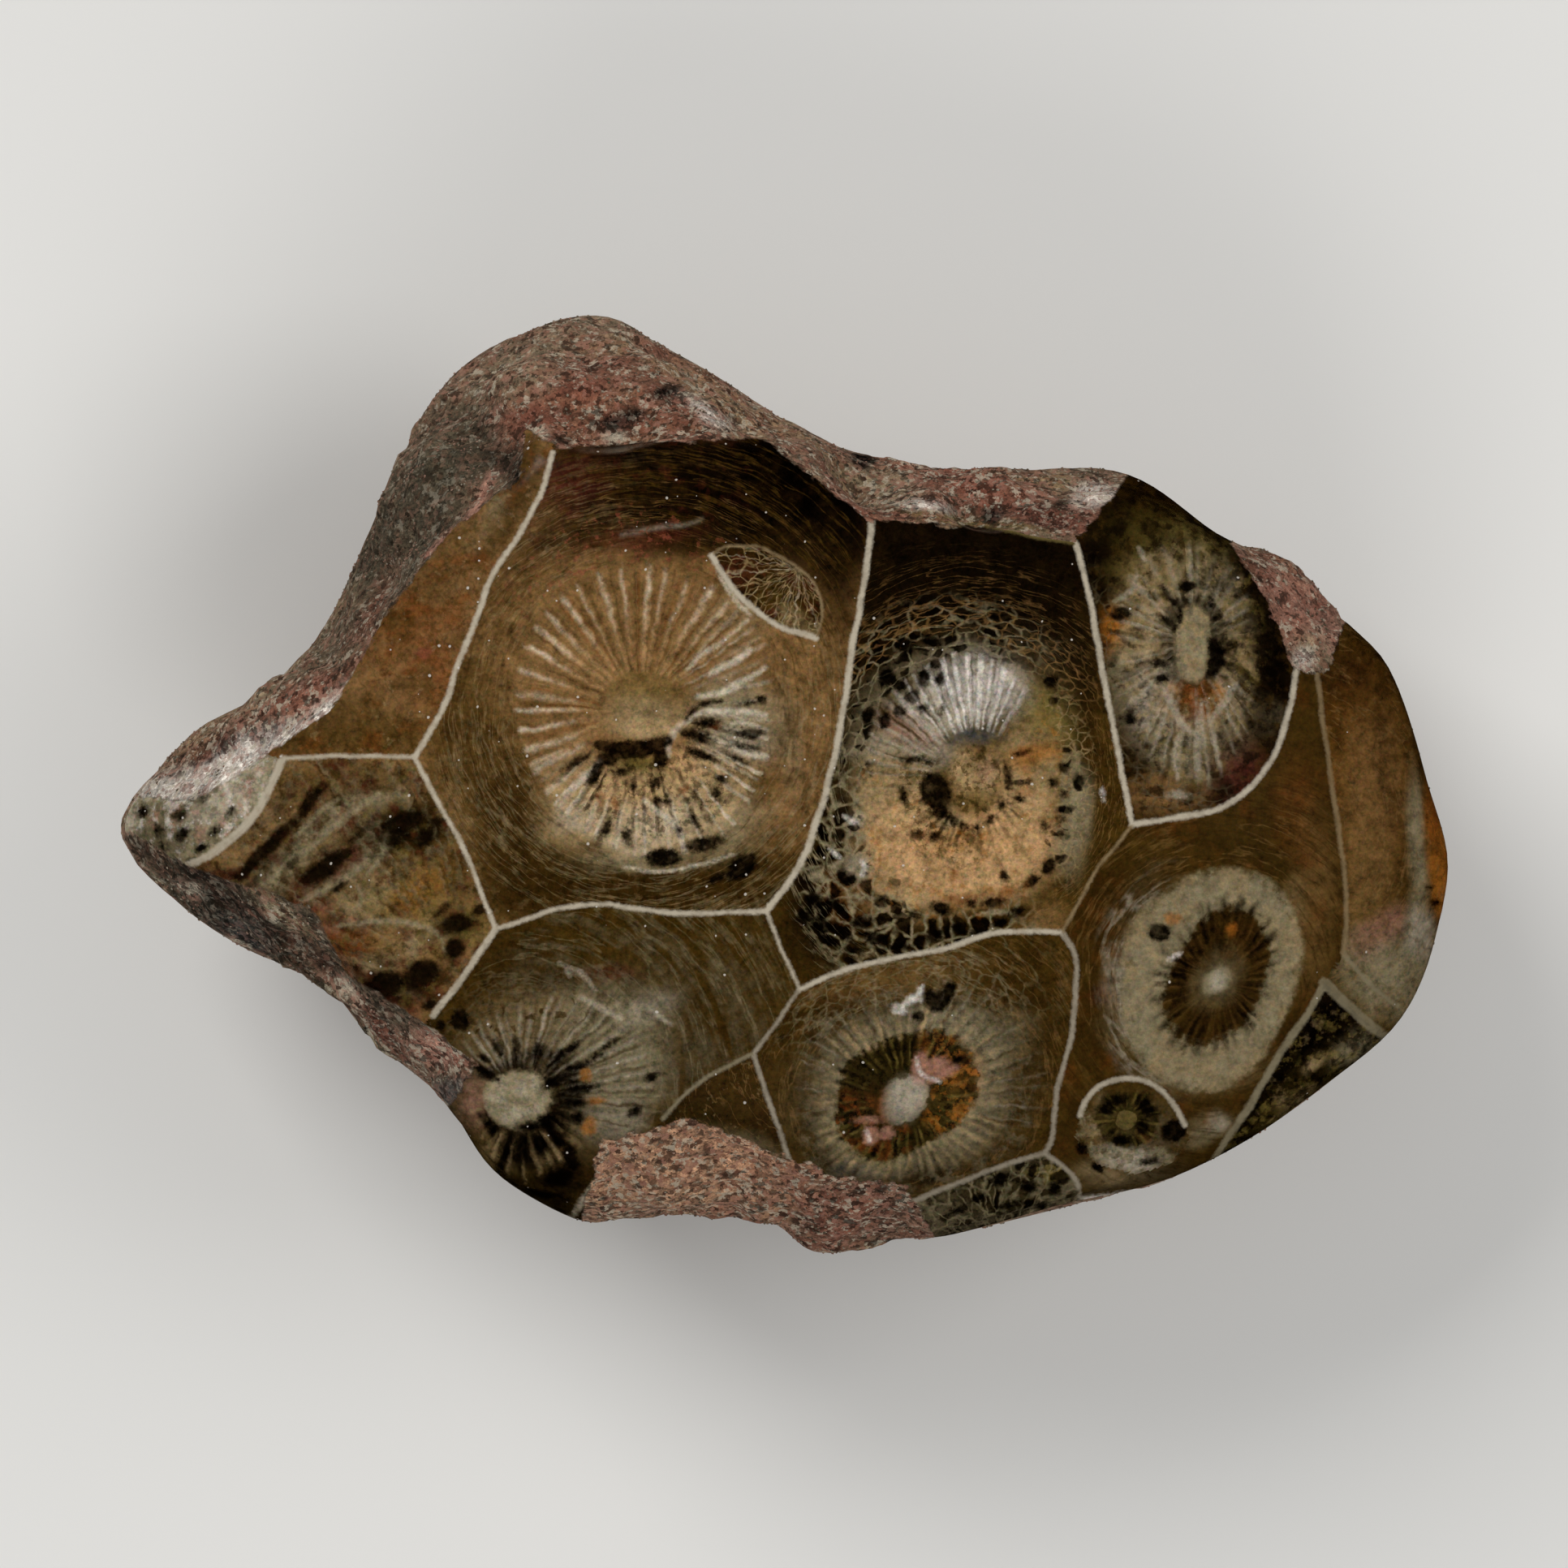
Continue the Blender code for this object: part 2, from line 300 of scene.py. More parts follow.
@dataclass(frozen=True)
class Patch:
    """A soft-edged patch of colour, in places painted shade: its colour, middle, half sizes in pixels, turn,
    strength and softness.
    """

    tone: Tone
    x: float
    y: float
    long: float
    wide: float
    turn: float = 0.0
    strength: float = 1.0
    soft: float = 0.45

    def cover(self, plan: np.ndarray) -> np.ndarray:
        """How strongly the patch shows at each place, from 0 to 1."""
        share = Spot(self.x, self.y, self.long, self.wide, self.turn).share(plan)
        return self.strength * (1.0 - smooth_step(1.0 - self.soft, 1.0 + self.soft, share))


@dataclass(frozen=True)
class Streak:
    """A streak of colour along a line: its colour, points, half width in pixels, strength and softness."""

    tone: Tone
    points: Pixels
    half: float
    strength: float = 1.0
    soft: float = 2.0

    def cover(self, plan: np.ndarray) -> np.ndarray:
        """How strongly the streak shows at each place, from 0 to 1."""
        far = np.abs(from_line(plan, smooth_line(self.points))[0])
        return self.strength * (1.0 - smooth_step(self.half - self.soft, self.half + self.soft, far))


def stains(rows: Sequence[tuple]) -> tuple[Patch | Streak, ...]:
    """Makes stained patches and patches of painted shade of rows: a streak where the second entry is a row of
    points, else a patch.
    """
    return tuple((Streak if isinstance(row[1], tuple) else Patch)(*row) for row in rows)


def marks(rows: Sequence[tuple]) -> tuple[Spot | Vein, ...]:
    """Makes marks of rows: a vein where the first entry is a row of points, else a spot."""
    return tuple((Vein if isinstance(row[0], tuple) else Spot)(*row) for row in rows)


@dataclass(frozen=True)
class Wall:
    """A wall of calcite between two corals: its line, width in pixels, colour and strength."""

    points: Pixels
    width: float = 8.0
    tone: Tone = BONE
    strength: float = 1.0

    def line(self) -> np.ndarray:
        """The wall's middle line, slightly uneven, in millimetres.

        Returns:
            Its points, a row each.
        """
        line = to_stone(smooth_line(self.points))
        uneven = wander(np.column_stack([line, np.zeros(len(line))]), 0.9, 5.0)[:, :2]
        held = np.sin(np.linspace(0.0, math.pi, len(line)))[:, None] ** 0.3
        return line + 0.05 * uneven * held


WALLS: dict[str, Wall] = {
    "amber_side": Wall(((682, 558), (670, 604), (640, 661), (609, 707), (586, 769), (563, 826), (548, 872),
     (513, 932)), 9), "spur_top": Wall(((513, 932), (426, 931), (350, 934)), 7, BONE, 0.9),
    "fan_side": Wall(((513, 932), (541, 986), (564, 1025), (585, 1074), (612, 1143))),
    "spoke_left": Wall(((612, 1143), (570, 1205), (535, 1250)), 10.5),
    "great_foot": Wall(((612, 1143), (654, 1130), (688, 1118), (746, 1113), (796, 1120), (864, 1124), (945,
     1121)), 8, BONE, 0.95),
    "great_side": Wall(((945, 1121), (985, 1065), (1010, 1000), (1035, 900), (1050, 800), (1068, 700), (1075,
     630)), 10.5), "short_post": Wall(((945, 1121), (960, 1159), (975, 1193), (985, 1217)), 6.5, BONE, 0.85),
    "cream_foot": Wall(((985, 1217), (1050, 1190), (1150, 1170), (1230, 1148), (1308, 1147)), 8.5),
    "low_post": Wall(((985, 1217), (956, 1262), (929, 1296)), 6.5, LILAC, 0.9),
    "wedge_top": Wall(((929, 1296), (887, 1317), (849, 1342), (818, 1377)), 6.5, DOVE, 0.9),
    "wedge_side": Wall(((929, 1296), (945, 1346), (960, 1388), (972, 1423), (983, 1446)), 8, LILAC, 0.95),
    "cream_side": Wall(((1394, 1015), (1356, 1063), (1333, 1102), (1308, 1147)), 5.5, SAND, 0.85),
    "corner_left": Wall(((1325, 668), (1345, 750), (1358, 830), (1378, 930), (1394, 1015)), 9.5),
    "corner_foot": Wall(((1394, 1015), (1452, 1006), (1505, 993), (1543, 966), (1570, 928), (1586, 882), (1597,
     824)), 9.5),
    "crystal_side": Wall(((1308, 1147), (1323, 1174), (1325, 1220), (1317, 1285), (1302, 1343), (1296, 1400),
     (1287, 1419)), 8.5, LILAC, 0.95),
    "sliver_top": Wall(((1287, 1419), (1220, 1440), (1120, 1480)), 8, LILAC, 0.9),
    "sliver_side": Wall(((1287, 1419), (1310, 1435), (1327, 1454), (1331, 1477), (1334, 1500)), 8, LILAC, 0.9),
    "strip_side": Wall(((1622, 830), (1639, 960), (1647, 1017), (1656, 1075), (1658, 1132), (1654, 1174)), 8,
     SAND, 0.7),
    "olive_side": Wall(((1631, 1209), (1616, 1239), (1585, 1285), (1559, 1327), (1536, 1366), (1516, 1396),
     (1490, 1440)), 12, DOVE, 0.95),
    "olive_top": Wall(((1631, 1209), (1666, 1243), (1704, 1274), (1760, 1300)), 17, DOVE, 0.8),
    "strip_foot": Wall(((1654, 1174), (1689, 1213), (1712, 1232), (1740, 1248)), 8, DOVE, 0.7),
    "cream_top": Wall(((1075, 632), (1142, 631), (1210, 645), (1268, 660), (1325, 668)), 8, OLIVE, 0.9),
    "spur_arc": Wall(((350, 934), (334, 971), (311, 1009), (273, 1044), (227, 1069), (205, 1080)), 14, BONE,
     0.9), "bud_arc": Wall(((877, 685), (909, 731), (937, 756), (967, 774), (1006, 786)), 9.5),
    "bud_rim": Wall(((877, 685), (892, 675), (916, 673), (937, 674), (965, 687), (995, 708), (1010, 731),
     (1013, 759), (1006, 786)), 4, SAND, 0.75),
    "small_arc": Wall(((1330, 1372), (1338, 1352), (1356, 1336), (1386, 1327), (1421, 1335), (1444, 1356),
     (1460, 1385)), 9, BONE, 0.85)}


@dataclass(frozen=True)
class Window:
    """Where round a cup an effect shows: between rings, and within an angle of a bearing."""

    start: float
    full: float
    fade: float
    end: float
    facing: float = 0.0
    reach: float = 360.0
    soft: float = 14.0

    def mask(self, cup: "Cup") -> "Value":
        """The window as a mask."""
        turns = {name: getattr(self, name) / 360.0 for name in ("facing", "reach", "soft")}
        return cup.mask("window", {**vars(self), **turns})


class Value:
    """A number, vector or colour of a node tree, which can take part in sums."""

    def __init__(self, graph: "Graph", socket: bpy.types.NodeSocket) -> None:
        """Keeps the socket and the graph that it belongs to."""
        self.graph = graph
        self.socket = socket

    def _sum(self, operation: str, other: object, turned: bool = False) -> "Value":
        """A sum with another value, part by part where this one is a vector or colour.

        Args:
            operation: What the math node does.
            other: A value, a number or a vector.
            turned: Whether the other one comes first.

        Returns:
            The result.
        """
        if self.socket.type not in ("VECTOR", "RGBA"):
            return self.graph.math(operation, *((other, self) if turned else (self, other)))
        number = isinstance(other, (int, float))
        if operation == "MULTIPLY" and (number or getattr(other, "socket", self.socket).type == "VALUE"):
            return self.graph.vector("SCALE", self, scale=other)
        other = (other,) * 3 if number else other
        return self.graph.vector(operation, *((other, self) if turned else (self, other)))

    def __add__(self, other: object) -> "Value":
        """This plus another."""
        return self._sum("ADD", other)

    def __sub__(self, other: object) -> "Value":
        """This less another."""
        return self._sum("SUBTRACT", other)

    def __rsub__(self, other: object) -> "Value":
        """Another less this."""
        return self._sum("SUBTRACT", other, True)

    def __mul__(self, other: object) -> "Value":
        """This times another."""
        return self._sum("MULTIPLY", other)

    def __truediv__(self, other: object) -> "Value":
        """This over another."""
        return self._sum("DIVIDE", other)

    def __rtruediv__(self, other: object) -> "Value":
        """Another over this."""
        return self._sum("DIVIDE", other, True)


class Graph:
    """Adds nodes to a tree and wires them."""

    def __init__(self, tree: bpy.types.NodeTree) -> None:
        """Takes the tree to build in."""
        self.tree = tree

    def wire(self, value: object, socket: bpy.types.NodeSocket) -> None:
        """Feeds a socket from a value of the tree, a tone, a number or a vector.

        Args:
            value: What feeds it.
            socket: The input.
        """
        if isinstance(value, Value):
            self.tree.links.new(value.socket, socket)
        else:
            socket.default_value = (*value.linear(), 1.0) if isinstance(value, Tone) else value

    def add(self, kind: str, inputs: dict | None = None, **settings: object) -> bpy.types.Node:
        """Adds a node.

        Args:
            kind: The node's type name.
            inputs: Values for its inputs, by name or index.
            **settings: The node's own properties.

        Returns:
            The new node.
        """
        node = self.tree.nodes.new(kind)
        for name, value in settings.items():
            setattr(node, name, value)
        for name, value in (inputs or {}).items():
            self.wire(value, node.inputs[name])
        return node

    def out(self, node: bpy.types.Node, name: str | int = 0) -> Value:
        """One output of a node."""
        return Value(self, node.outputs[name])

    def math(self, operation: str, *values: object) -> Value:
        """A sum of one or two numbers."""
        return self.out(self.add("ShaderNodeMath", dict(enumerate(values)), operation=operation))

    def vector(self, operation: str, *values: object, scale: object = None) -> Value:
        """A sum of vectors, or one scaled by a number.

        Args:
            operation: What the math node does.
            values: Vectors.
            scale: The number.

        Returns:
            The result.
        """
        node = self.add("ShaderNodeVectorMath", dict(enumerate(values)), operation=operation)
        if scale is not None:
            self.wire(scale, node.inputs["Scale"])
        return self.out(node, "Value" if operation == "LENGTH" else "Vector")

    def combine(self, x: object, y: object, z: object) -> Value:
        """A vector of three numbers."""
        return self.out(self.add("ShaderNodeCombineXYZ", {"X": x, "Y": y, "Z": z}))

    def grey(self, value: Value) -> Value:
        """A vector of one number three times."""
        return self.combine(value, value, value)

    def split(self, vector: Value) -> tuple[Value, ...]:
        """The three numbers of a vector."""
        node = self.add("ShaderNodeSeparateXYZ", {"Vector": vector})
        return tuple(self.out(node, part) for part in range(3))

    def rise(self, value: object, low: object, high: object, start: float = 0.0,
             stop: float = 1.0) -> Value:
        """A smooth step from start at low to stop at high."""
        return self.out(self.add("ShaderNodeMapRange", dict(enumerate((value, low, high, start, stop))),
                                 interpolation_type="SMOOTHSTEP"))

    def fall(self, value: object, low: object, high: object) -> Value:
        """A smooth step from 1 at low to 0 at high."""
        return self.rise(value, low, high, 1.0, 0.0)

    def mix(self, factor: object, first: object, second: object, blend: str = "MIX") -> Value:
        """A mix of two colours.

        Args:
            factor: The second one's share.
            first: A colour.
            second: Another.
            blend: How they blend.

        Returns:
            The colour.
        """
        node = self.add("ShaderNodeMix", {0: factor, 6: first, 7: second}, data_type="RGBA",
                        blend_type=blend)
        return self.out(node, 2)

    def tints(self, vector: Value, scale: object, detail: float = 2.0, roughness: float = 0.5,
              output: str = "Color") -> Value:
        """A cloudy colour."""
        return self.out(self.add("ShaderNodeTexNoise", {"Vector": vector, "Scale": scale,
                                                        "Detail": detail, "Roughness": roughness}), output)

    def noise(self, vector: Value, scale: object, detail: float = 2.0, roughness: float = 0.5) -> Value:
        """A cloudy number."""
        return self.tints(vector, scale, detail, roughness, "Fac")

    def cells(self, vector: Value, feature: str = "F1", randomness: float = 1.0,
              smoothness: float | None = None) -> tuple[Value, Value]:
        """A pattern of cells one unit across: the distance, and a colour for each cell.

        Args:
            vector: The place, in cells.
            feature: What the distance is measured to.
            randomness: How uneven the cells are.
            smoothness: How soft, for a smooth pattern.

        Returns:
            The distance and the colour.
        """
        node = self.add("ShaderNodeTexVoronoi", feature=feature)
        inputs = {"Vector": vector, "Scale": 1.0, "Randomness": randomness, "Smoothness": smoothness}
        for name, value in inputs.items():
            if value is not None:
                self.wire(value, node.inputs[name])
        return self.out(node, 0), self.out(node, 1)

    def attribute(self, name: str, output: str = "Fac") -> Value:
        """A value that the mesh carries."""
        return self.out(self.add("ShaderNodeAttribute", attribute_name=name), output)

    def group(self, tree: bpy.types.NodeTree, values: dict) -> SimpleNamespace:
        """Places a shared effect, with those of the values that it has inputs for.

        Args:
            tree: The effect.
            values: Values by the inputs' names in small letters.

        Returns:
            The effect's outputs, by their names in small letters.
        """
        node = self.add("ShaderNodeGroup", node_tree=tree)
        for socket in node.inputs:
            if socket.name.lower() in values:
                self.wire(values[socket.name.lower()], socket)
        return SimpleNamespace(**{socket.name.lower(): Value(self, socket) for socket in node.outputs})


def new_material(name: str, specular: float = 0.5) -> tuple[bpy.types.Material, Graph, bpy.types.Node, Value]:
    """Opens a material.

    Args:
        name: The material's name.
        specular: How strongly its surface mirrors.

    Returns:
        The material, its graph, its shader and the shaded place in millimetres.
    """
    material = bpy.data.materials.new(name)
    material.use_nodes = True
    graph = Graph(material.node_tree)
    shader = material.node_tree.nodes["Principled BSDF"]
    shader.inputs["Specular IOR Level"].default_value = specular
    place = graph.out(graph.add("ShaderNodeTexCoord"), "Object") * (1.0 / MM)
    return material, graph, shader, place


class Effects:
    """The shared effects, each a node group that is built once."""

    origin: ClassVar[tuple[float, ...]] = (0.0, 0.0, 0.0)
    ring: ClassVar[dict] = {"bend": origin, "radius": 1.0, "direction": (0.0, 1.0, 0.0), "size": 0.5,
                            "along": 6.0, "seed": 0.0}

    def __init__(self) -> None:
        """Builds every effect."""
        self.polar = self._polar()
        self.window = self._window()
        self.septa = self._septa()
        self.net = self._net()
        self.lines = self._lines()
        self.pores = self._pores()
        self.cloud = self._cloud()
        self.flecks = self._flecks()
        self.edge = self._edge()
        self.rock = self._rock()

    def _open(self, name: str, **inputs: object) -> tuple[Graph, SimpleNamespace]:
        """Opens a node group.

        Args:
            name: The group's name.
            **inputs: Each input's default: a number, a vector or a colour.

        Returns:
            The graph to build in, and the inputs by name.
        """
        tree = bpy.data.node_groups.new(name, "ShaderNodeTree")
        for label, default in inputs.items():
            kind = {3: "Vector", 4: "Color"}[len(default)] if isinstance(default, tuple) else "Float"
            socket = tree.interface.new_socket(label.capitalize(), in_out="INPUT",
                                               socket_type=f"NodeSocket{kind}")
            socket.default_value = default
        graph = Graph(tree)
        entry = graph.add("NodeGroupInput")
        return graph, SimpleNamespace(**{label: graph.out(entry, label.capitalize()) for label in inputs})

    def _close(self, graph: Graph, **outputs: Value) -> bpy.types.NodeTree:
        """Gives a node group its outputs.

        Args:
            graph: The group's graph.
            **outputs: What each output carries.

        Returns:
            The group.
        """
        kinds = {"VALUE": "Float", "VECTOR": "Vector", "RGBA": "Color"}
        for label, value in outputs.items():
            graph.tree.interface.new_socket(label.capitalize(), in_out="OUTPUT",
                                            socket_type=f"NodeSocket{kinds[value.socket.type]}")
        graph.add("NodeGroupOutput", {label.capitalize(): value for label, value in outputs.items()})
        return graph.tree

    def _polar(self) -> bpy.types.NodeTree:
        """Distance and angle round a cup's middle, with a slight wander.

        Returns:
            The group. Around is the twisted angle and Bearing the true one, both in turns.
        """
        graph, given = self._open("cup_polar", place=self.origin, middle=self.origin, twist=0.0,
                                  wander=0.1)
        drift = (graph.tints(given.place, 0.9) - 0.5) * given.wander
        x, y, _z = graph.split(given.place + drift - given.middle)
        radius = graph.vector("LENGTH", graph.combine(x, y, 0.0))
        bearing = graph.math("FRACT", graph.math("ARCTAN2", y, x) * (1.0 / math.tau))
        around = graph.math("FRACT", radius * given.twist + bearing)
        turned = around * math.tau
        direction = graph.combine(0.0, graph.math("COSINE", turned), graph.math("SINE", turned))
        return self._close(graph, radius=radius, around=around, bearing=bearing, direction=direction)

    def _window(self) -> bpy.types.NodeTree:
        """A mask between two rings and within an angle of a bearing.

        Returns:
            The node group.
        """
        graph, given = self._open("cup_window", zone=0.0, bearing=0.0, start=0.0, full=0.0, fade=0.0,
                                  end=0.0, facing=0.0, reach=0.0, soft=0.0)
        turn = graph.math("FRACT", given.bearing - given.facing + 0.5)
        near = graph.fall(graph.math("ABSOLUTE", turn - 0.5), given.reach - given.soft,
                          given.reach + given.soft)
        between = graph.rise(given.zone, given.start, given.full) * graph.fall(given.zone, given.fade,
                                                                                given.end)
        return self._close(graph, mask=between * near)

    def _septa(self) -> bpy.types.NodeTree:
        """Uneven spokes, some fainter, with a width in millimetres and one that grows outwards.

        Returns:
            The node group.
        """
        graph, given = self._open("septa", ripple=0.5, radius=1.0, around=0.0, count=30.0, width=0.1,
                                  spread=0.0, ragged=0.1, uneven=0.4, fickle=0.5, soft=0.05, seed=0.0)
        steps = given.around * given.count
        chance = graph.add("ShaderNodeTexWhiteNoise",
                           {"Vector": graph.combine(graph.math("FLOOR", steps), given.seed, 0.0)},
                           noise_dimensions="2D")
        first, second, _third = graph.split(graph.out(chance, "Color"))
        local = graph.math("FRACT", steps) - 0.5 + (first - 0.5) * given.uneven
        pitch = given.radius * math.tau / given.count
        side = graph.math("ABSOLUTE", local * pitch + (given.ripple - 0.5) * given.ragged)
        half = (pitch * given.spread * 0.5 + given.width) * (second * 0.9 + 0.55)
        level = graph.out(chance, "Value") * given.fickle + (1.0 - given.fickle)
        return self._close(graph, mask=graph.fall(side, half - given.soft, half + given.soft) * level)

    def _ring_place(self, given: SimpleNamespace) -> Value:
        """A place in cells along the radius and round the cup, without a seam.

        Args:
            given: The group's inputs.

        Returns:
            The place.
        """
        graph = given.radius.graph
        place = given.direction * given.along + graph.combine(given.radius / given.size, 0.0, 0.0)
        return place + graph.grey(given.seed * 7.31)

    def _net(self) -> bpy.types.NodeTree:
        """Thin partitions between cells that follow the rings, with slight bends.

        Returns:
            The node group.
        """
        graph, given = self._open("tissue_net", **self.ring, line=0.06, blur=0.1)
        distance, _chances = graph.cells(self._ring_place(given) + given.bend, "DISTANCE_TO_EDGE", 0.95)
        return self._close(graph, mask=graph.fall(distance, given.line, given.line + given.blur))

    def _lines(self) -> bpy.types.NodeTree:
        """Fine growth lines that follow the rings.

        Returns:
            The node group.
        """
        graph, given = self._open("growth_lines", **self.ring, sharp=0.3)
        field = graph.noise(self._ring_place(given), 1.0, 3.0, 0.55)
        return self._close(graph, mask=graph.fall(graph.math("ABSOLUTE", field - 0.5), 0.0,
                                                  given.sharp * 0.25))

    def _pores(self) -> bpy.types.NodeTree:
        """Filled cells of the same net, in a share of them, with a rim left bare.

        Returns:
            The node group.
        """
        graph, given = self._open("pores", **self.ring, rim=0.12, share=0.6)
        place = self._ring_place(given) + given.bend
        chance, size, _blue = graph.split(graph.cells(place, "F1", 0.95)[1])
        edge = graph.cells(place, "DISTANCE_TO_EDGE", 0.95)[0]
        rim = given.rim * (size * 1.2 + 0.4)
        kept = graph.math("LESS_THAN", chance, given.share)
        return self._close(graph, mask=graph.rise(edge, rim, rim + 0.12) * kept)

    def _cloud(self) -> bpy.types.NodeTree:
        """Soft blotches without a direction.

        Returns:
            The node group.
        """
        graph, given = self._open("cloud", place=self.origin, size=1.0, low=0.45, high=0.6, seed=0.0)
        field = graph.noise(given.place + graph.grey(given.seed * 3.7), 1.0 / given.size, 4.0, 0.6)
        return self._close(graph, mask=graph.rise(field, given.low, given.high))

    def _flecks(self) -> bpy.types.NodeTree:
        """Sparse bright specks.

        Returns:
            The node group.
        """
        graph, given = self._open("flecks", place=self.origin, size=0.5, share=0.1, fill=0.12)
        distance, chances = graph.cells(given.place * (1.0 / given.size))
        chance, size, _blue = graph.split(chances)
        fill = given.fill * (size + 0.5)
        kept = graph.math("LESS_THAN", chance, given.share)
        return self._close(graph, mask=graph.fall(distance, fill * 0.6, fill) * kept)

    def _edge(self) -> bpy.types.NodeTree:
        """A crisp ragged edge from a distance that the mesh carries.

        Returns:
            The node group.
        """
        graph, given = self._open("ragged_edge", place=self.origin, distance=0.0, ragged=0.1, size=0.4,
                                  soft=0.03)
        shift = graph.noise(given.place, 1.0 / given.size, 3.0, 0.6) - 0.5
        return self._close(graph, mask=graph.rise(shift * given.ragged + given.distance,
                                                  given.soft * -1.0, given.soft))

    def _rock(self) -> bpy.types.NodeTree:
        """Grain of the broken limestone: pale and dark grains, red staining, pits darkened with painted shade,
        and a height.

        Returns:
            The node group.
        """
        graph, given = self._open("limestone", place=self.origin, base=(0.2, 0.15, 0.1, 1.0), grain=0.18,
                                  coarse=0.3)
        place = given.place * (1.0, 1.0, 0.85)
        broad = graph.noise(place, 0.5, 2.0, 0.6) - 0.5
        blots = graph.split(graph.tints(place, 1.9, 3.0, 0.62) - 0.5)
        tints = graph.tints(place, 8.0, 2.0, 0.6) - 0.5
        fine = graph.split(tints)
        distance, chances = graph.cells((place + tints * 0.30) * (1.0 / given.grain), "SMOOTH_F1", 1.0,
                                        0.55)
        chances = graph.split(chances - 0.5)
        value = broad * 1.3 + 1.20 + blots[0] * 2.6 + fine[0] * 2.6
        value = value * (chances[0] * (given.coarse * 0.9 + 0.45) + 1.03)
        colour = graph.mix(1.0, given.base, graph.grey(graph.math("MAXIMUM", value, 0.10)), "MULTIPLY")
        red = graph.split(given.base)[0]
        bright = graph.rise(red, 0.03, 0.17, 0.30, 1.0)
        spared = graph.rise(red, 0.30, 0.55, 1.0, 0.35)
        spread = given.coarse * 0.7 + 0.45
        # Which chance and blot a stain follows, which way, from and to what level, and how strongly
        for chance, blot, way, low, high, share, tone in (
                (1, 0, 1.0, 0.50, 0.80, bright * 0.55, BRICK),
                (2, 1, 1.0, 0.60, 0.88, bright * 0.50, ROSE),
                (1, 2, -1.0, 0.66, 0.98, bright * 0.70, BONE),
                (2, 0, -1.0, 0.62, 0.92, spared * 0.75, SOOT)):
            level = chances[chance] * way * spread + 0.5 + blots[blot] * 2.2 + fine[blot] * 1.1
            colour = graph.mix(graph.rise(level, low, high) * share, colour, tone)
        # Pits: lower in height, and darkened in colour as painted shade
        nearest, depths = graph.cells(place * 1.1)
        shaded_pit = graph.fall(nearest, 0.06, 0.24) * graph.math("LESS_THAN", graph.split(depths)[0], 0.2)
        colour = graph.mix(shaded_pit * 0.85, colour, SOOT)
        return self._close(graph, color=colour,
                           height=blots[0] * 1.6 + fine[0] + 1.3 - distance * 0.8 - shaded_pit * 1.2)


@dataclass
class Cup:
    """A material's graph and effects, and the values that say where a point lies round its cup."""

    graph: Graph
    effects: Effects
    place: Value
    radius: Value
    around: Value
    bearing: Value
    direction: Value
    zone: Value
    bend: Value
    ripple: Value
    breaks: tuple[Value, ...]

    def mask(self, effect: str, values: dict) -> Value:
        """The mask of a shared effect with its own values."""
        return self.graph.group(getattr(self.effects, effect), {**vars(self), **values}).mask


@dataclass(frozen=True)
class Layer:
    """One effect of a cup: its colour, strength, window and the values of its node group."""

    tone: Tone
    strength: float
    where: tuple[float, ...] = ()
    seed: float = 0.0
    fades: ClassVar[float] = 1.0

    def pattern(self, cup: Cup) -> Value:
        """The effect's mask before it is limited to its window."""
        return cup.mask(type(self).__name__.lower(), vars(self))

    def lay(self, cup: Cup, colour: Value) -> Value:
        """Lays the effect over a colour.

        Args:
            cup: Where the shaded point lies round the cup.
            colour: What is already there.

        Returns:
            The colour with the effect on it.
        """
        level = cup.breaks[int(self.seed) % 3] * (self.fades * self.strength)
        mask = (level + (1.0 - self.fades) * self.strength) * self.pattern(cup)
        if self.where:
            mask = mask * Window(*self.where).mask(cup)
        return cup.graph.mix(mask, colour, self.tone)


@dataclass(frozen=True)
class Band(Layer):
    """A plain band between rings."""

    fades: ClassVar[float] = 0.4

    def pattern(self, cup: Cup) -> float:
        """The whole of the window."""
        return 1.0


@dataclass(frozen=True)
class Septa(Layer):
    """Spokes of a cup."""

    count: int = 32
    width: float = 0.07
    spread: float = 0.0
    ragged: float = 0.12
    uneven: float = 0.35
    fickle: float = 0.5
    soft: float = 0.05


@dataclass(frozen=True)
class Net(Layer):
    """Partitions of tissue between small cells."""

    size: float = 0.45
    along: float = 7.0
    line: float = 0.03
    blur: float = 0.09


@dataclass(frozen=True)
class Lines(Layer):
    """Growth lines round a cup."""

    size: float = 0.25
    along: float = 2.5
    sharp: float = 0.3


@dataclass(frozen=True)
class Pores(Layer):
    """Filled cells of a net round a cup."""

    fades: ClassVar[float] = 0.3

    size: float = 0.4
    along: float = 9.0
    rim: float = 0.12
    share: float = 0.6


@dataclass(frozen=True)
class Cloud(Layer):
    """Soft blotches."""

    size: float = 1.2
    low: float = 0.45
    high: float = 0.65


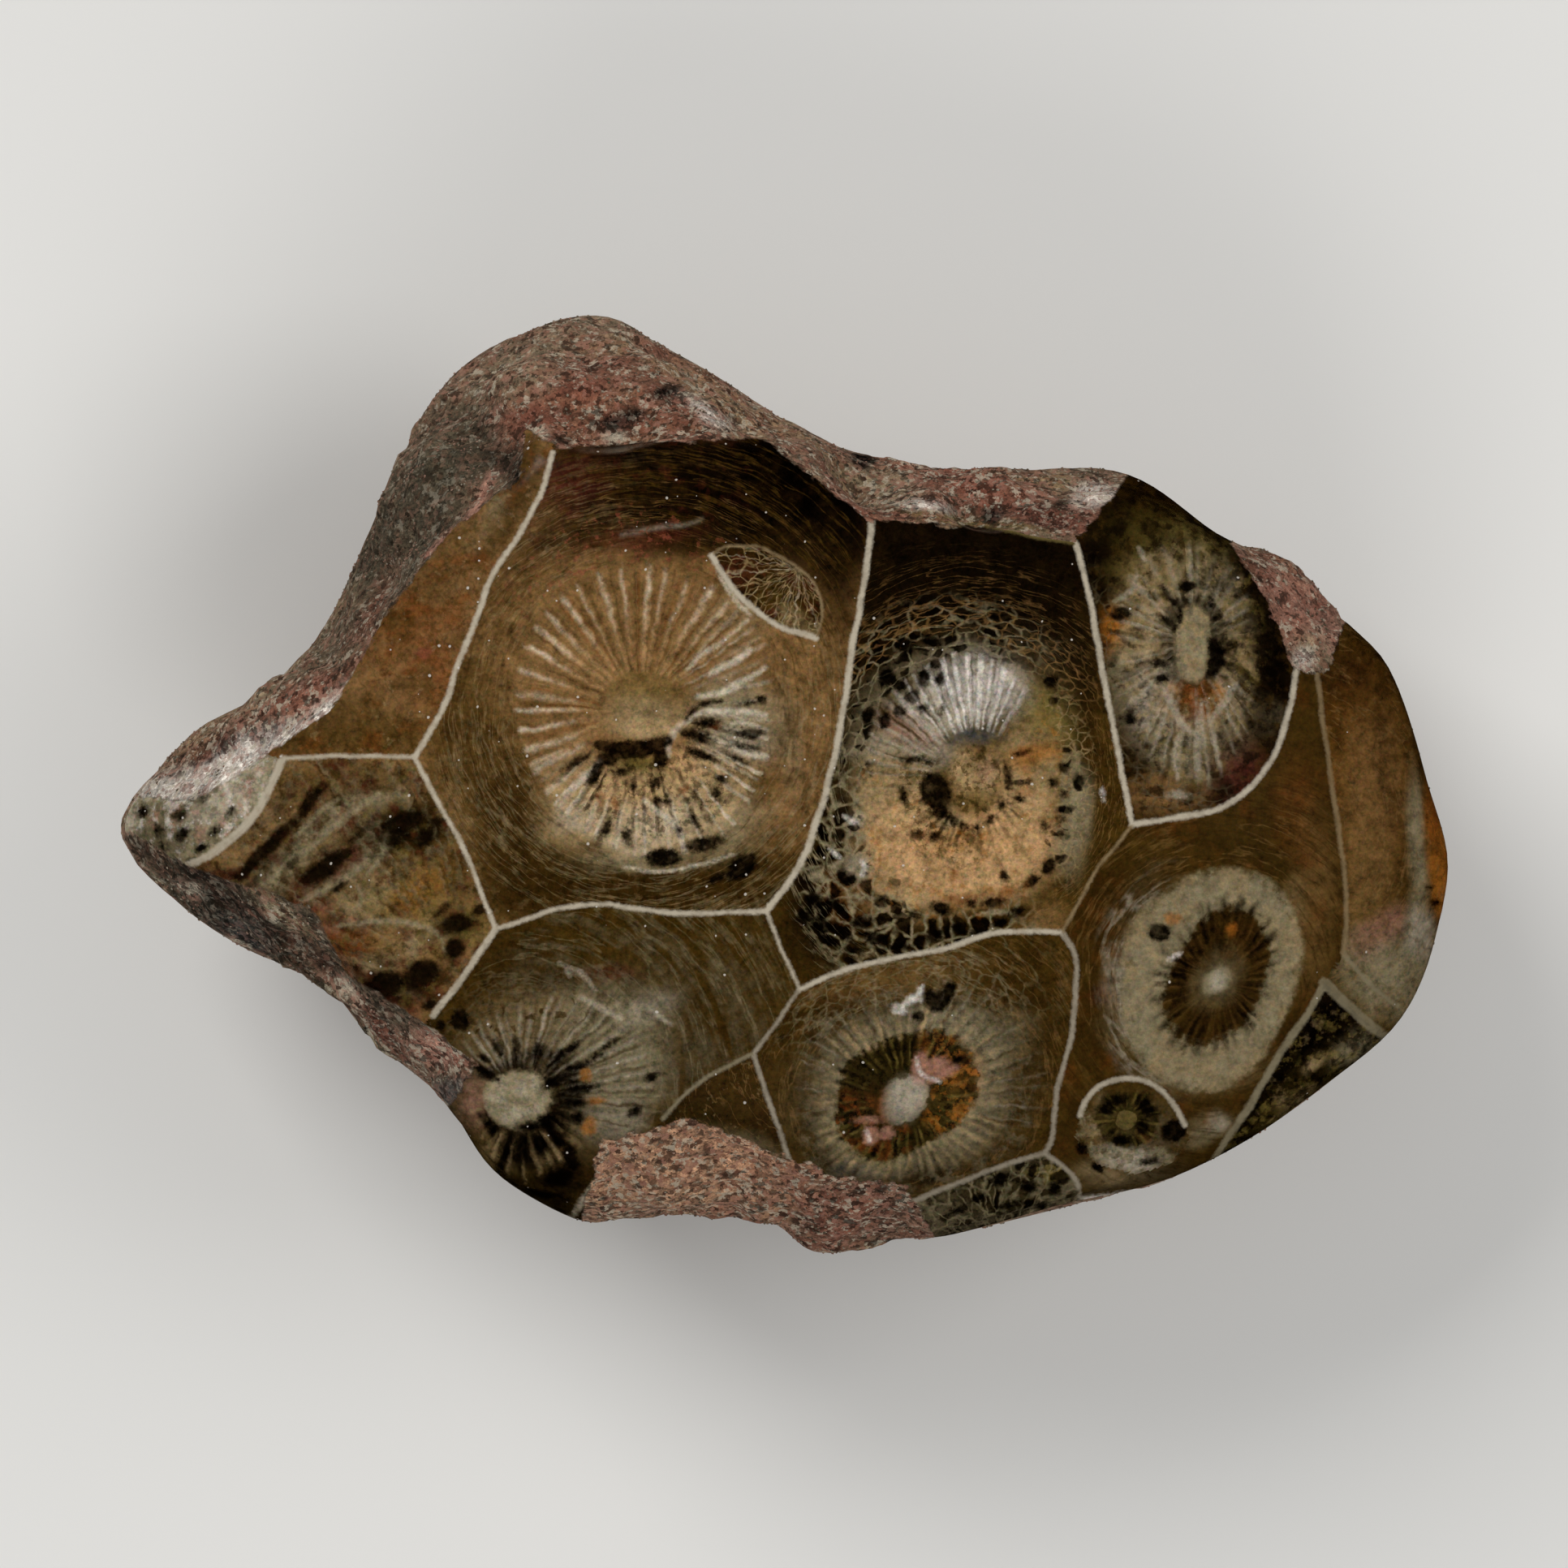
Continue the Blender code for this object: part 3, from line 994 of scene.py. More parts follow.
@dataclass(frozen=True)
class Coral:
    """One coral of the colony: its field, cup rings, stained patches and painted shade, marks and effects.

    The field is a chain of wall names, a name with a minus for a wall taken backwards, and
    points outside the walls. Each ring gives its distance from the middle every 30 degrees,
    from the right and anticlockwise, in pixels. The rows of stained and shaded patches hold the
    fields of a Patch or a Streak; the dark ones at the top of some cups are painted shade over
    the coral's own dark tone. The rows of dark, pale and warm marks hold those of a Spot or a
    Vein. A layer's window holds the fields of Window.
    """

    name: str
    field: tuple[object, ...]
    middle: tuple[float, float]
    base: Tone
    rings: tuple[tuple[float, ...], ...] = ()
    stains: tuple[tuple, ...] = ()
    dark: tuple[tuple, ...] = ()
    pale: tuple[tuple, ...] = ()
    warm: tuple[tuple, ...] = ()
    layers: tuple[Layer, ...] = ()
    twist: float = 0.0
    wander: float = 0.25
    mottle: float = 1.0
    dust: float = 0.12
    dark_tone: Tone = BLACK
    pale_tone: Tone = CALCITE
    warm_tone: Tone = AMBER

    def loop(self) -> np.ndarray:
        """The field's edge as a closed loop of pixels.

        Returns:
            Its points, a row each.
        """
        points: list[np.ndarray] = []
        for entry in self.field:
            if isinstance(entry, str):
                line = to_photo(WALLS[entry.strip("-")].line())
                points.append(line[::-1] if entry.startswith("-") else line)
            else:
                points.append(np.array([entry], float))
        return np.vstack(points)

    def zone(self, plan: np.ndarray) -> np.ndarray:
        """How many rings lie within each place, with the share of the way to the next.

        Args:
            plan: Places in photo pixels, a row each.

        Returns:
            A ring number with a fraction for each place.
        """
        x, y = plan[:, 0] - self.middle[0], self.middle[1] - plan[:, 1]
        far = np.hypot(x, y)
        if not self.rings:
            return far * PIXEL
        steps = np.mod(np.arctan2(y, x) / math.tau, 1.0) * 12.0
        index = np.floor(steps).astype(int) % 12
        t = steps - np.floor(steps)
        edges = [np.zeros(len(plan))]
        for ring in self.rings:
            r = np.asarray(ring, float)
            a, b, c, d = (r[(index + k) % 12] for k in (-1, 0, 1, 2))
            edges.append(0.5 * (2.0 * b + (c - a) * t + (2.0 * a - 5.0 * b + 4.0 * c - d) * t ** 2
                                + (3.0 * b - a - 3.0 * c + d) * t ** 3))
        zone = (far - edges[-1]) * PIXEL + len(self.rings)
        for count, (low, high) in enumerate(zip(edges, edges[1:])):
            within = far < high
            earlier = far < low
            zone = np.where(within & ~earlier, count + (far - low) / np.maximum(high - low, 1.0), zone)
        return zone

    def paint(self, plan: np.ndarray) -> np.ndarray:
        """The base colour with its stained patches and painted shade at each place.

        Args:
            plan: Places in photo pixels, a row each.

        Returns:
            A colour for each place.
        """
        colour = np.tile(np.array(self.base.linear()), (len(plan), 1))
        # Patches over the base colour: stained ones, and at the top of some cups painted shade
        for stain in stains(self.stains):
            colour = cover_with(colour, stain.tone, stain.cover(plan)[:, None])
        return colour

    def marks(self, plan: np.ndarray) -> np.ndarray:
        """Signed distances in millimetres to dark, pale and warm marks, one column each.

        Args:
            plan: Places in photo pixels, a row each.

        Returns:
            Three distances for each place.
        """
        columns = []
        for group in (self.dark, self.pale, self.warm):
            best = np.full(len(plan), -0.6)
            for mark in marks(group):
                best = np.maximum(best, mark.rise(plan) * PIXEL)
            columns.append(best)
        return np.column_stack(columns)


AMBER_FIELD = Coral(
    "amber_field",
    ("amber_side", "spur_top", (300, 925), (330, 800), (430, 660), (540, 560), (640, 500), (690, 520)),
    (600, 760), HONEY,
    stains=(
        (RUST, 515, 810, 55, 65, 20, 0.35, 0.8), (UMBER, 636, 600, 22, 60, -20, 0.7, 0.8),
        (BROWN, 430, 900, 95, 35, 0, 0.7, 0.7), (UMBER, 540, 720, 30, 90, -38, 0.4, 0.8),
        (SAND, 600, 650, 14, 26, -30, 0.45, 0.8), (DOVE, 618, 610, 10, 22, -20, 0.5, 0.8),
        (TAN, 470, 850, 30, 60, -40, 0.3, 0.8)),
    warm=((525, 803, 9, 7),),
    layers=(
        Cloud(BROWN, 0.6, (), 1, 1.6, 0.47, 0.62), Cloud(RUST, 0.45, (), 2, 1.1, 0.48, 0.62),
        Cloud(UMBER, 0.5, (), 5, 0.6, 0.54, 0.66), Cloud(SAND, 0.3, (), 6, 0.4, 0.57, 0.68),
        Lines(BROWN, 0.4, (), 3, 0.5, 3, 0.2)),
    dust=0.22, warm_tone=BRICK)

SPUR_TIP = Coral(
    "spur_tip", ("spur_arc", (160, 1130), (90, 1050), (110, 950), (200, 880), (320, 850)), (227, 1010), DOVE,
    stains=(
        (GREY, 215, 1020, 75, 35, 30, 0.7, 0.6), (BONE, 152, 1014, 18, 22, 0, 0.8, 0.6),
        (BONE, 285, 985, 55, 22, 38, 0.5, 0.7)),
    dark=(
        (221, 1003, 9, 7, 20), (225, 1027, 10, 7, 40), (267, 1023, 9, 6, 40), (250, 1043, 9, 6, 20),
        (177, 998, 10, 7, 70), (254, 982, 7, 5, 20), (196, 1022, 7, 9, 20), (203, 1042, 8, 5, -20),
        (287, 1000, 8, 5, 60), (236, 1060, 7, 5)),
    layers=(
        Cloud(GREY, 0.6, (), 1, 0.5, 0.46, 0.58), Cloud(ROSE, 0.45, (), 3, 0.6, 0.52, 0.64),
        Cloud(CALCITE, 0.5, (), 2, 0.5, 0.5, 0.64)),
    dust=0.3)

STREAKED_FAN = Coral(
    "streaked_fan",
    ("-spur_top", "fan_side", "spoke_left", (480, 1330), (300, 1250), (180, 1120), (205, 1080), "-spur_arc"),
    (612, 1230), TAN,
    stains=(
        (UMBER, 430, 965, 90, 30, 0, 0.55, 0.7), (GREY, 400, 1060, 120, 60, 38, 0.55, 0.7),
        (MOSS, 503, 1021, 48, 32, 10, 0.95, 0.6), (SOOT, 515, 1005, 26, 16, 20, 0.7, 0.6),
        (SOOT, 478, 1036, 24, 14, 30, 0.6, 0.6), (OLIVE, 500, 1098, 66, 28, 15, 0.8, 0.6),
        (AMBER, 520, 1092, 46, 20, 25, 0.45, 0.7), (RUST, 426, 1162, 34, 24, 0, 0.8, 0.6),
        (BRICK, 384, 1128, 36, 22, -20, 0.75, 0.6), (BRICK, 450, 1225, 60, 30, -30, 0.7, 0.7),
        (OLIVE, 560, 1140, 44, 26, 0, 0.75, 0.6), (SAND, 450, 1105, 46, 18, 38, 0.6, 0.6),
        (DOVE, 330, 1090, 66, 18, 40, 0.65, 0.7), (SAND, 520, 1150, 32, 14, 20, 0.6, 0.7),
        (DOVE, 400, 1020, 50, 9, 40, 0.6, 0.7), (DOVE, 440, 1070, 60, 8, 40, 0.6, 0.7),
        (DOVE, 470, 1180, 24, 12, 10, 0.5, 0.7), (MAROON, 500, 1215, 60, 24, 10, 0.6, 0.7),
        (BROWN, 560, 1060, 26, 60, 25, 0.6, 0.7),
        (DOVE, ((350, 1070), (372, 1040), (410, 1010), (460, 985), (500, 968)), 6, 0.6, 9),
        (DOVE, ((376, 1100), (420, 1066), (462, 1030), (470, 990)), 5, 0.55, 9),
        (GREY, ((300, 1040), (340, 1000), (366, 960)), 6, 0.6, 9),
        (SAND, ((430, 1130), (500, 1128), (548, 1150), (566, 1190)), 5, 0.6, 10),
        (DOVE, ((500, 1215), (510, 1180), (508, 1150)), 4, 0.5, 8),
        (BRICK, ((350, 1128), (400, 1136), (450, 1140)), 5, 0.6, 9),
        (MAROON, ((250, 1080), (300, 1100), (350, 1118)), 7, 0.7, 9),
        (GREY, ((310, 1086), (352, 1052), (392, 1016), (430, 990)), 5, 0.7, 6),
        (DOVE, ((392, 1104), (440, 1072), (470, 1040)), 4, 0.6, 6),
        (BLACK, ((286, 1082), (306, 1066), (334, 1044), (362, 1022)), 7, 0.95, 5),
        (BLACK, ((300, 1090), (322, 1072), (338, 1058)), 4, 0.8, 5),
        (BLACK, ((364, 1014), (384, 990), (402, 966)), 6, 0.9, 5),
        (MAROON, ((372, 1098), (404, 1080), (442, 1050)), 13, 0.75, 7),
        (BLACK, ((376, 1090), (402, 1076), (428, 1054)), 7, 0.85, 5), (BLACK, 500, 1014, 40, 20, 12, 0.8, 0.6),
        (BLACK, 532, 1018, 16, 12, 30, 0.7, 0.6), (SOOT, 563, 1136, 26, 15, 10, 0.85, 0.5),
        (BLACK, 563, 1167, 14, 13, 0, 0.9, 0.5), (BLACK, 524, 1197, 25, 19, 24, 0.92),
        (SOOT, 474, 1212, 32, 24, 12, 0.92, 0.5), (MAROON, 470, 1216, 16, 12, 0, 0.5, 0.6)),
    dark=(
        (384, 988, 26, 8, 50), (328, 1048, 46, 8, 44), (310, 1068, 26, 6, 42), (350, 1022, 14, 4, 50),
        (404, 1068, 36, 11, 36), (424, 1054, 20, 7, 34), (361, 1063, 12, 6, 40), (498, 1014, 28, 13, 16),
        (526, 1030, 16, 9, 50), (486, 1034, 12, 7), (540, 1012, 10, 6, 30), (566, 1136, 20, 11, 10),
        (563, 1167, 12, 11), (532, 1236, 14, 6, 30), (524, 1195, 20, 15, 20), (509, 1206, 9, 12),
        (477, 1212, 24, 16, 10), (420, 1090, 14, 5, 36), (440, 1030, 16, 4, 45), (592, 1120, 9, 7),
        (548, 1118, 12, 5, 40)),
    pale=(
        (((372, 1108), (410, 1092), (444, 1070)), 3), (((440, 1120), (448, 1106), (442, 1090)), 2.5),
        (((356, 1068), (392, 1036), (436, 1000), (470, 976)), 3.5),
        (((318, 1094), (342, 1076), (360, 1054)), 2.5), (((452, 1078), (474, 1052), (482, 1010)), 3),
        (((366, 1030), (396, 1000), (420, 984)), 2.5),
        (((420, 1140), (480, 1132), (536, 1146), (552, 1172)), 3)),
    layers=(
        Cloud(UMBER, 0.8, (), 1, 0.8, 0.44, 0.58), Cloud(MAROON, 0.5, (), 4, 0.6, 0.5, 0.62),
        Septa(SOOT, 0.7, (3, 5, 13, 15, 145, 45), 8, 74, 0.05, 0.2, 0.9, 0.8, 0.8, 0.12),
        Septa(DOVE, 0.5, (3, 5, 13, 15, 145, 45), 3, 86, 0.05, 0, 0.8, 0.8, 0.8, 0.12),
        Cloud(GREY, 0.5, (), 2, 0.35, 0.52, 0.64), Cloud(OLIVE, 0.4, (), 9, 0.5, 0.52, 0.64)),
    dust=0.2, pale_tone=DOVE, dark_tone=SOOT)

GREAT_BUD = Coral(
    "great_bud", ("bud_arc", "-bud_rim"), (985, 700), UMBER,
    stains=(
        (MAROON, 915, 715, 34, 16, 0, 0.6, 0.7), (BROWN, 965, 745, 42, 26, -30, 0.8, 0.7),
        (SAND, 985, 765, 22, 12, -30, 0.5, 0.7)),
    layers=(
        Cloud(SOOT, 0.6, (), 4, 0.5, 0.48, 0.58), Cloud(MAROON, 0.5, (), 3, 0.5, 0.5, 0.6),
        Net(SAND, 0.75, (), 1, 0.5, 5, 0), Septa(SAND, 0.75, (), 2, 34, 0.015, 0.03, 0.5, 0.9, 0.7, 0.04),
        Septa(BONE, 0.5, (), 3, 22, 0.01, 0.03, 0.4, 0.9, 0.8, 0.04)))

GREAT_CUP = Coral(
    "great_cup",
    ("-amber_side", (690, 500), (900, 460), (1050, 560), "-great_side", "-great_foot", "-fan_side"),
    (790, 875), HONEY,
    rings=(
        (45, 46, 44, 43, 44, 45, 46, 44, 40, 33, 36, 42), (58, 56, 54, 52, 54, 56, 58, 66, 80, 72, 72, 66),
        (158, 170, 172, 172, 168, 158, 150, 150, 160, 178, 185, 168),
        (205, 215, 225, 240, 225, 205, 190, 185, 200, 212, 215, 210)),
    stains=(
        # The black and soot patches along the top, under the limestone rim, are painted shade over the coral's
        # own dark tone
        (BLACK, 860, 598, 235, 74, -6, 0.97, 0.4), (BLACK, 1000, 640, 76, 100, 20, 0.95),
        (BLACK, 990, 560, 80, 60, -30, 0.95, 0.5), (BROWN, 800, 1085, 260, 70, 0, 0.95, 0.6),
        (BROWN, 590, 930, 60, 130, 20, 0.7, 0.6), (BROWN, 610, 720, 40, 130, -20, 0.5, 0.7),
        (MAROON, 700, 600, 55, 34, 10, 0.6, 0.6), (SOOT, 700, 655, 60, 26, 25, 0.7, 0.6),
        (SOOT, 880, 665, 160, 26, 0, 0.85, 0.6), (MAROON, 790, 668, 70, 12, 6, 0.6, 0.6),
        (SOOT, 1030, 740, 22, 90, 5, 0.55, 0.7), (TAN, 1010, 860, 34, 120, 8, 0.6, 0.8),
        (UMBER, 800, 1090, 190, 36, 0, 0.55, 0.7), (UMBER, 625, 1010, 34, 80, 15, 0.6, 0.8),
        (UMBER, 660, 1050, 60, 45, -20, 0.5, 0.8), (TAN, 760, 790, 105, 88, 0, 0.75, 0.6),
        (TAN, 690, 870, 60, 60, 0, 0.45, 0.7), (SAND, 905, 765, 40, 30, 20, 0.55, 0.8),
        (OLIVE, 792, 848, 42, 24, 0, 0.45, 0.8), (SAND, 792, 880, 48, 26, 5, 0.85, 0.6),
        (CREAM, 800, 892, 42, 11, 6, 0.8, 0.6), (OLIVE, 790, 945, 30, 18, 0, 0.9, 0.5),
        (CREAM, 800, 1000, 118, 52, 4, 0.75), (SAND, 725, 985, 50, 48, 0, 0.6, 0.7),
        (PEACH, 762, 975, 44, 22, 0, 0.6, 0.7), (PEACH, 852, 940, 36, 26, 0, 0.75, 0.7),
        (BONE, 812, 1018, 62, 26, 0, 0.65, 0.7), (BONE, 715, 1002, 26, 20, 0, 0.5, 0.7),
        (DOVE, 890, 1005, 42, 46, 0, 0.6, 0.7), (DOVE, 905, 880, 50, 44, 0, 0.75, 0.6),
        (LILAC, 905, 915, 40, 22, 0, 0.7, 0.7), (BROWN, 925, 965, 26, 26, 0, 0.65, 0.7),
        (DOVE, 970, 910, 14, 50, 0, 0.35, 0.8), (DOVE, 790, 1062, 66, 12, 2, 0.55, 0.7),
        (OLIVE, 790, 935, 28, 12, 0, 0.6, 0.7), (UMBER, 790, 1100, 230, 24, 2, 0.6, 0.8),
        (LILAC, ((770, 662), (810, 655), (840, 650), (866, 645)), 2, 0.55, 4)),
    dark=(
        (((738, 917), (765, 923), (795, 922), (824, 911)), 12), (815, 932, 9, 16), (750, 935, 14, 10),
        (735, 952, 20, 8, 62), (748, 1020, 17, 6, 62), (773, 1030, 6, 12, 10), (818, 1055, 23, 12, 4),
        (868, 1039, 24, 9, 12), (915, 1067, 22, 13, 35), (884, 1080, 16, 5, 20), (873, 890, 13, 6),
        (860, 906, 22, 7, -18), (862, 928, 22, 6, -22), (((846, 886), (862, 870), (890, 862)), 4),
        (926, 903, 17, 7, 4), (917, 920, 18, 4, -10), (907, 933, 13, 4, -22), (890, 960, 7, 6),
        (885, 977, 6, 12, 30), (808, 964, 8, 6), (812, 984, 6, 4), (822, 988, 5, 5), (848, 984, 6, 5),
        (857, 1011, 13, 4, -60), (838, 1021, 8, 4, -50), (780, 968, 8, 4, 80), (768, 950, 12, 5, 20),
        (712, 938, 18, 5, 30), (922, 866, 14, 3, 4), (938, 862, 8, 6)),
    pale=(
        (((850, 884), (875, 876), (910, 876), (943, 880)), 4.5), (((860, 858), (895, 850), (945, 822)), 4),
        (((876, 830), (900, 818), (925, 801)), 4.5), (((846, 826), (866, 806), (892, 790)), 2.5),
        (((824, 930), (824, 915), (838, 895), (852, 886)), 3.5), (((900, 892), (920, 890), (945, 900)), 2.5),
        (((795, 985), (820, 1005), (845, 1028)), 3.5), (((900, 920), (925, 928), (945, 930)), 3.5),
        (((700, 975), (722, 958), (742, 938)), 4),
        (((768, 1066), (800, 1072), (830, 1071), (870, 1062), (905, 1052)), 1.5),
        (((885, 700), (900, 730), (925, 757)), 2.5)),
    warm=((742, 985, 5, 12), (760, 990, 4, 11, 10), (712, 962, 5, 8), (882, 893, 8, 4), (842, 972, 8, 4, 20)),
    layers=(
        Cloud(UMBER, 0.4, (), 1, 1.2, 0.45, 0.62),
        Cloud(SAND, 0.22, (2.4, 3.2, 30, 31, 225, 120, 30), 4, 0.5, 0.53, 0.66),
        Lines(UMBER, 0.5, (3, 3.3, 6, 7), 8, 0.6, 1.8),
        Lines(SAND, 0.3, (3, 3.3, 5.4, 7, 215, 118, 20), 2, 0.3, 2, 0.16),
        Lines(DOVE, 0.28, (3, 3.3, 5.6, 7, 280, 100, 20), 7, 0.5, 1.6, 0.12),
        Lines(BROWN, 0.8, (3.5, 4, 9, 11, 80, 62, 16), 9, 0.3, 2, 0.16),
        Lines(TAN, 0.35, (3.4, 3.7, 5, 7, 70, 60, 16), 17, 0.34, 1.8, 0.08),
        Cloud(MAROON, 0.35, (3.4, 3.9, 9, 11, 110, 44, 20), 12, 0.7, 0.54, 0.64),
        Cloud(BRICK, 0.6, (3, 3.3, 4, 4.6, 100, 40, 20), 13, 0.3, 0.55, 0.62),
        Band(CREAM, 0.55, (1.9, 2.3, 2.86, 3.02, 275, 62, 12)),
        Cloud(SOOT, 0.6, (1.5, 1.9, 2.7, 3, 295, 66, 12), 14, 0.3, 0.5, 0.58),
        Septa(UMBER, 0.55, (1.5, 1.9, 2.9, 3.1, 110, 80, 20), 15, 68, 0.03, 0.1, 0.16, 0.6, 0.8),
        Septa(RUST, 0.45, (1.2, 1.6, 2.7, 3.2, 130, 94, 14), 18, 60, 0.03, 0.1, 0.2, 0.8, 1, 0.08),
        Septa(SAND, 0.6, (1.2, 1.6, 2.8, 3.3, 120, 94, 14), 21, 96, 0, 0.04, 0.16, 0.7, 0.9, 0.035),
        Septa(PEACH, 0.7, (1.3, 1.9, 2.86, 3.1, 122, 88, 10), 1, 39, 0.01, 0.22, 0.14, 0.45, 0.5, 0.13),
        Septa(BONE, 0.75, (2.2, 2.8, 2.94, 3.16, 122, 88, 10), 1, 39, 0.01, 0.16, 0.14, 0.45, 0.5, 0.1),
        Septa(BONE, 0.7, (2.1, 2.4, 2.85, 3.15, 205, 34, 10), 31, 37, 0.02, 0.16, 0.16, 0.4, 0.5, 0.1),
        Septa(BONE, 0.7, (2, 2.3, 2.9, 3.15, 8, 40, 10), 34, 44, 0.01, 0.14, 0.16, 0.5, 0.8, 0.07),
        Septa(BONE, 0.75, (2.25, 2.6, 2.95, 3.08, 285, 66, 12), 33, 48, 0.03, 0.12, 0.16, 0.5, 0.6),
        Septa(SOOT, 0.9, (2, 2.15, 2.65, 2.95, 285, 68, 12), 41, 48, 0.02, 0.2, 0.22, 0.8, 0.7)),
    dust=0.2, warm_tone=RUST, pale_tone=BONE)

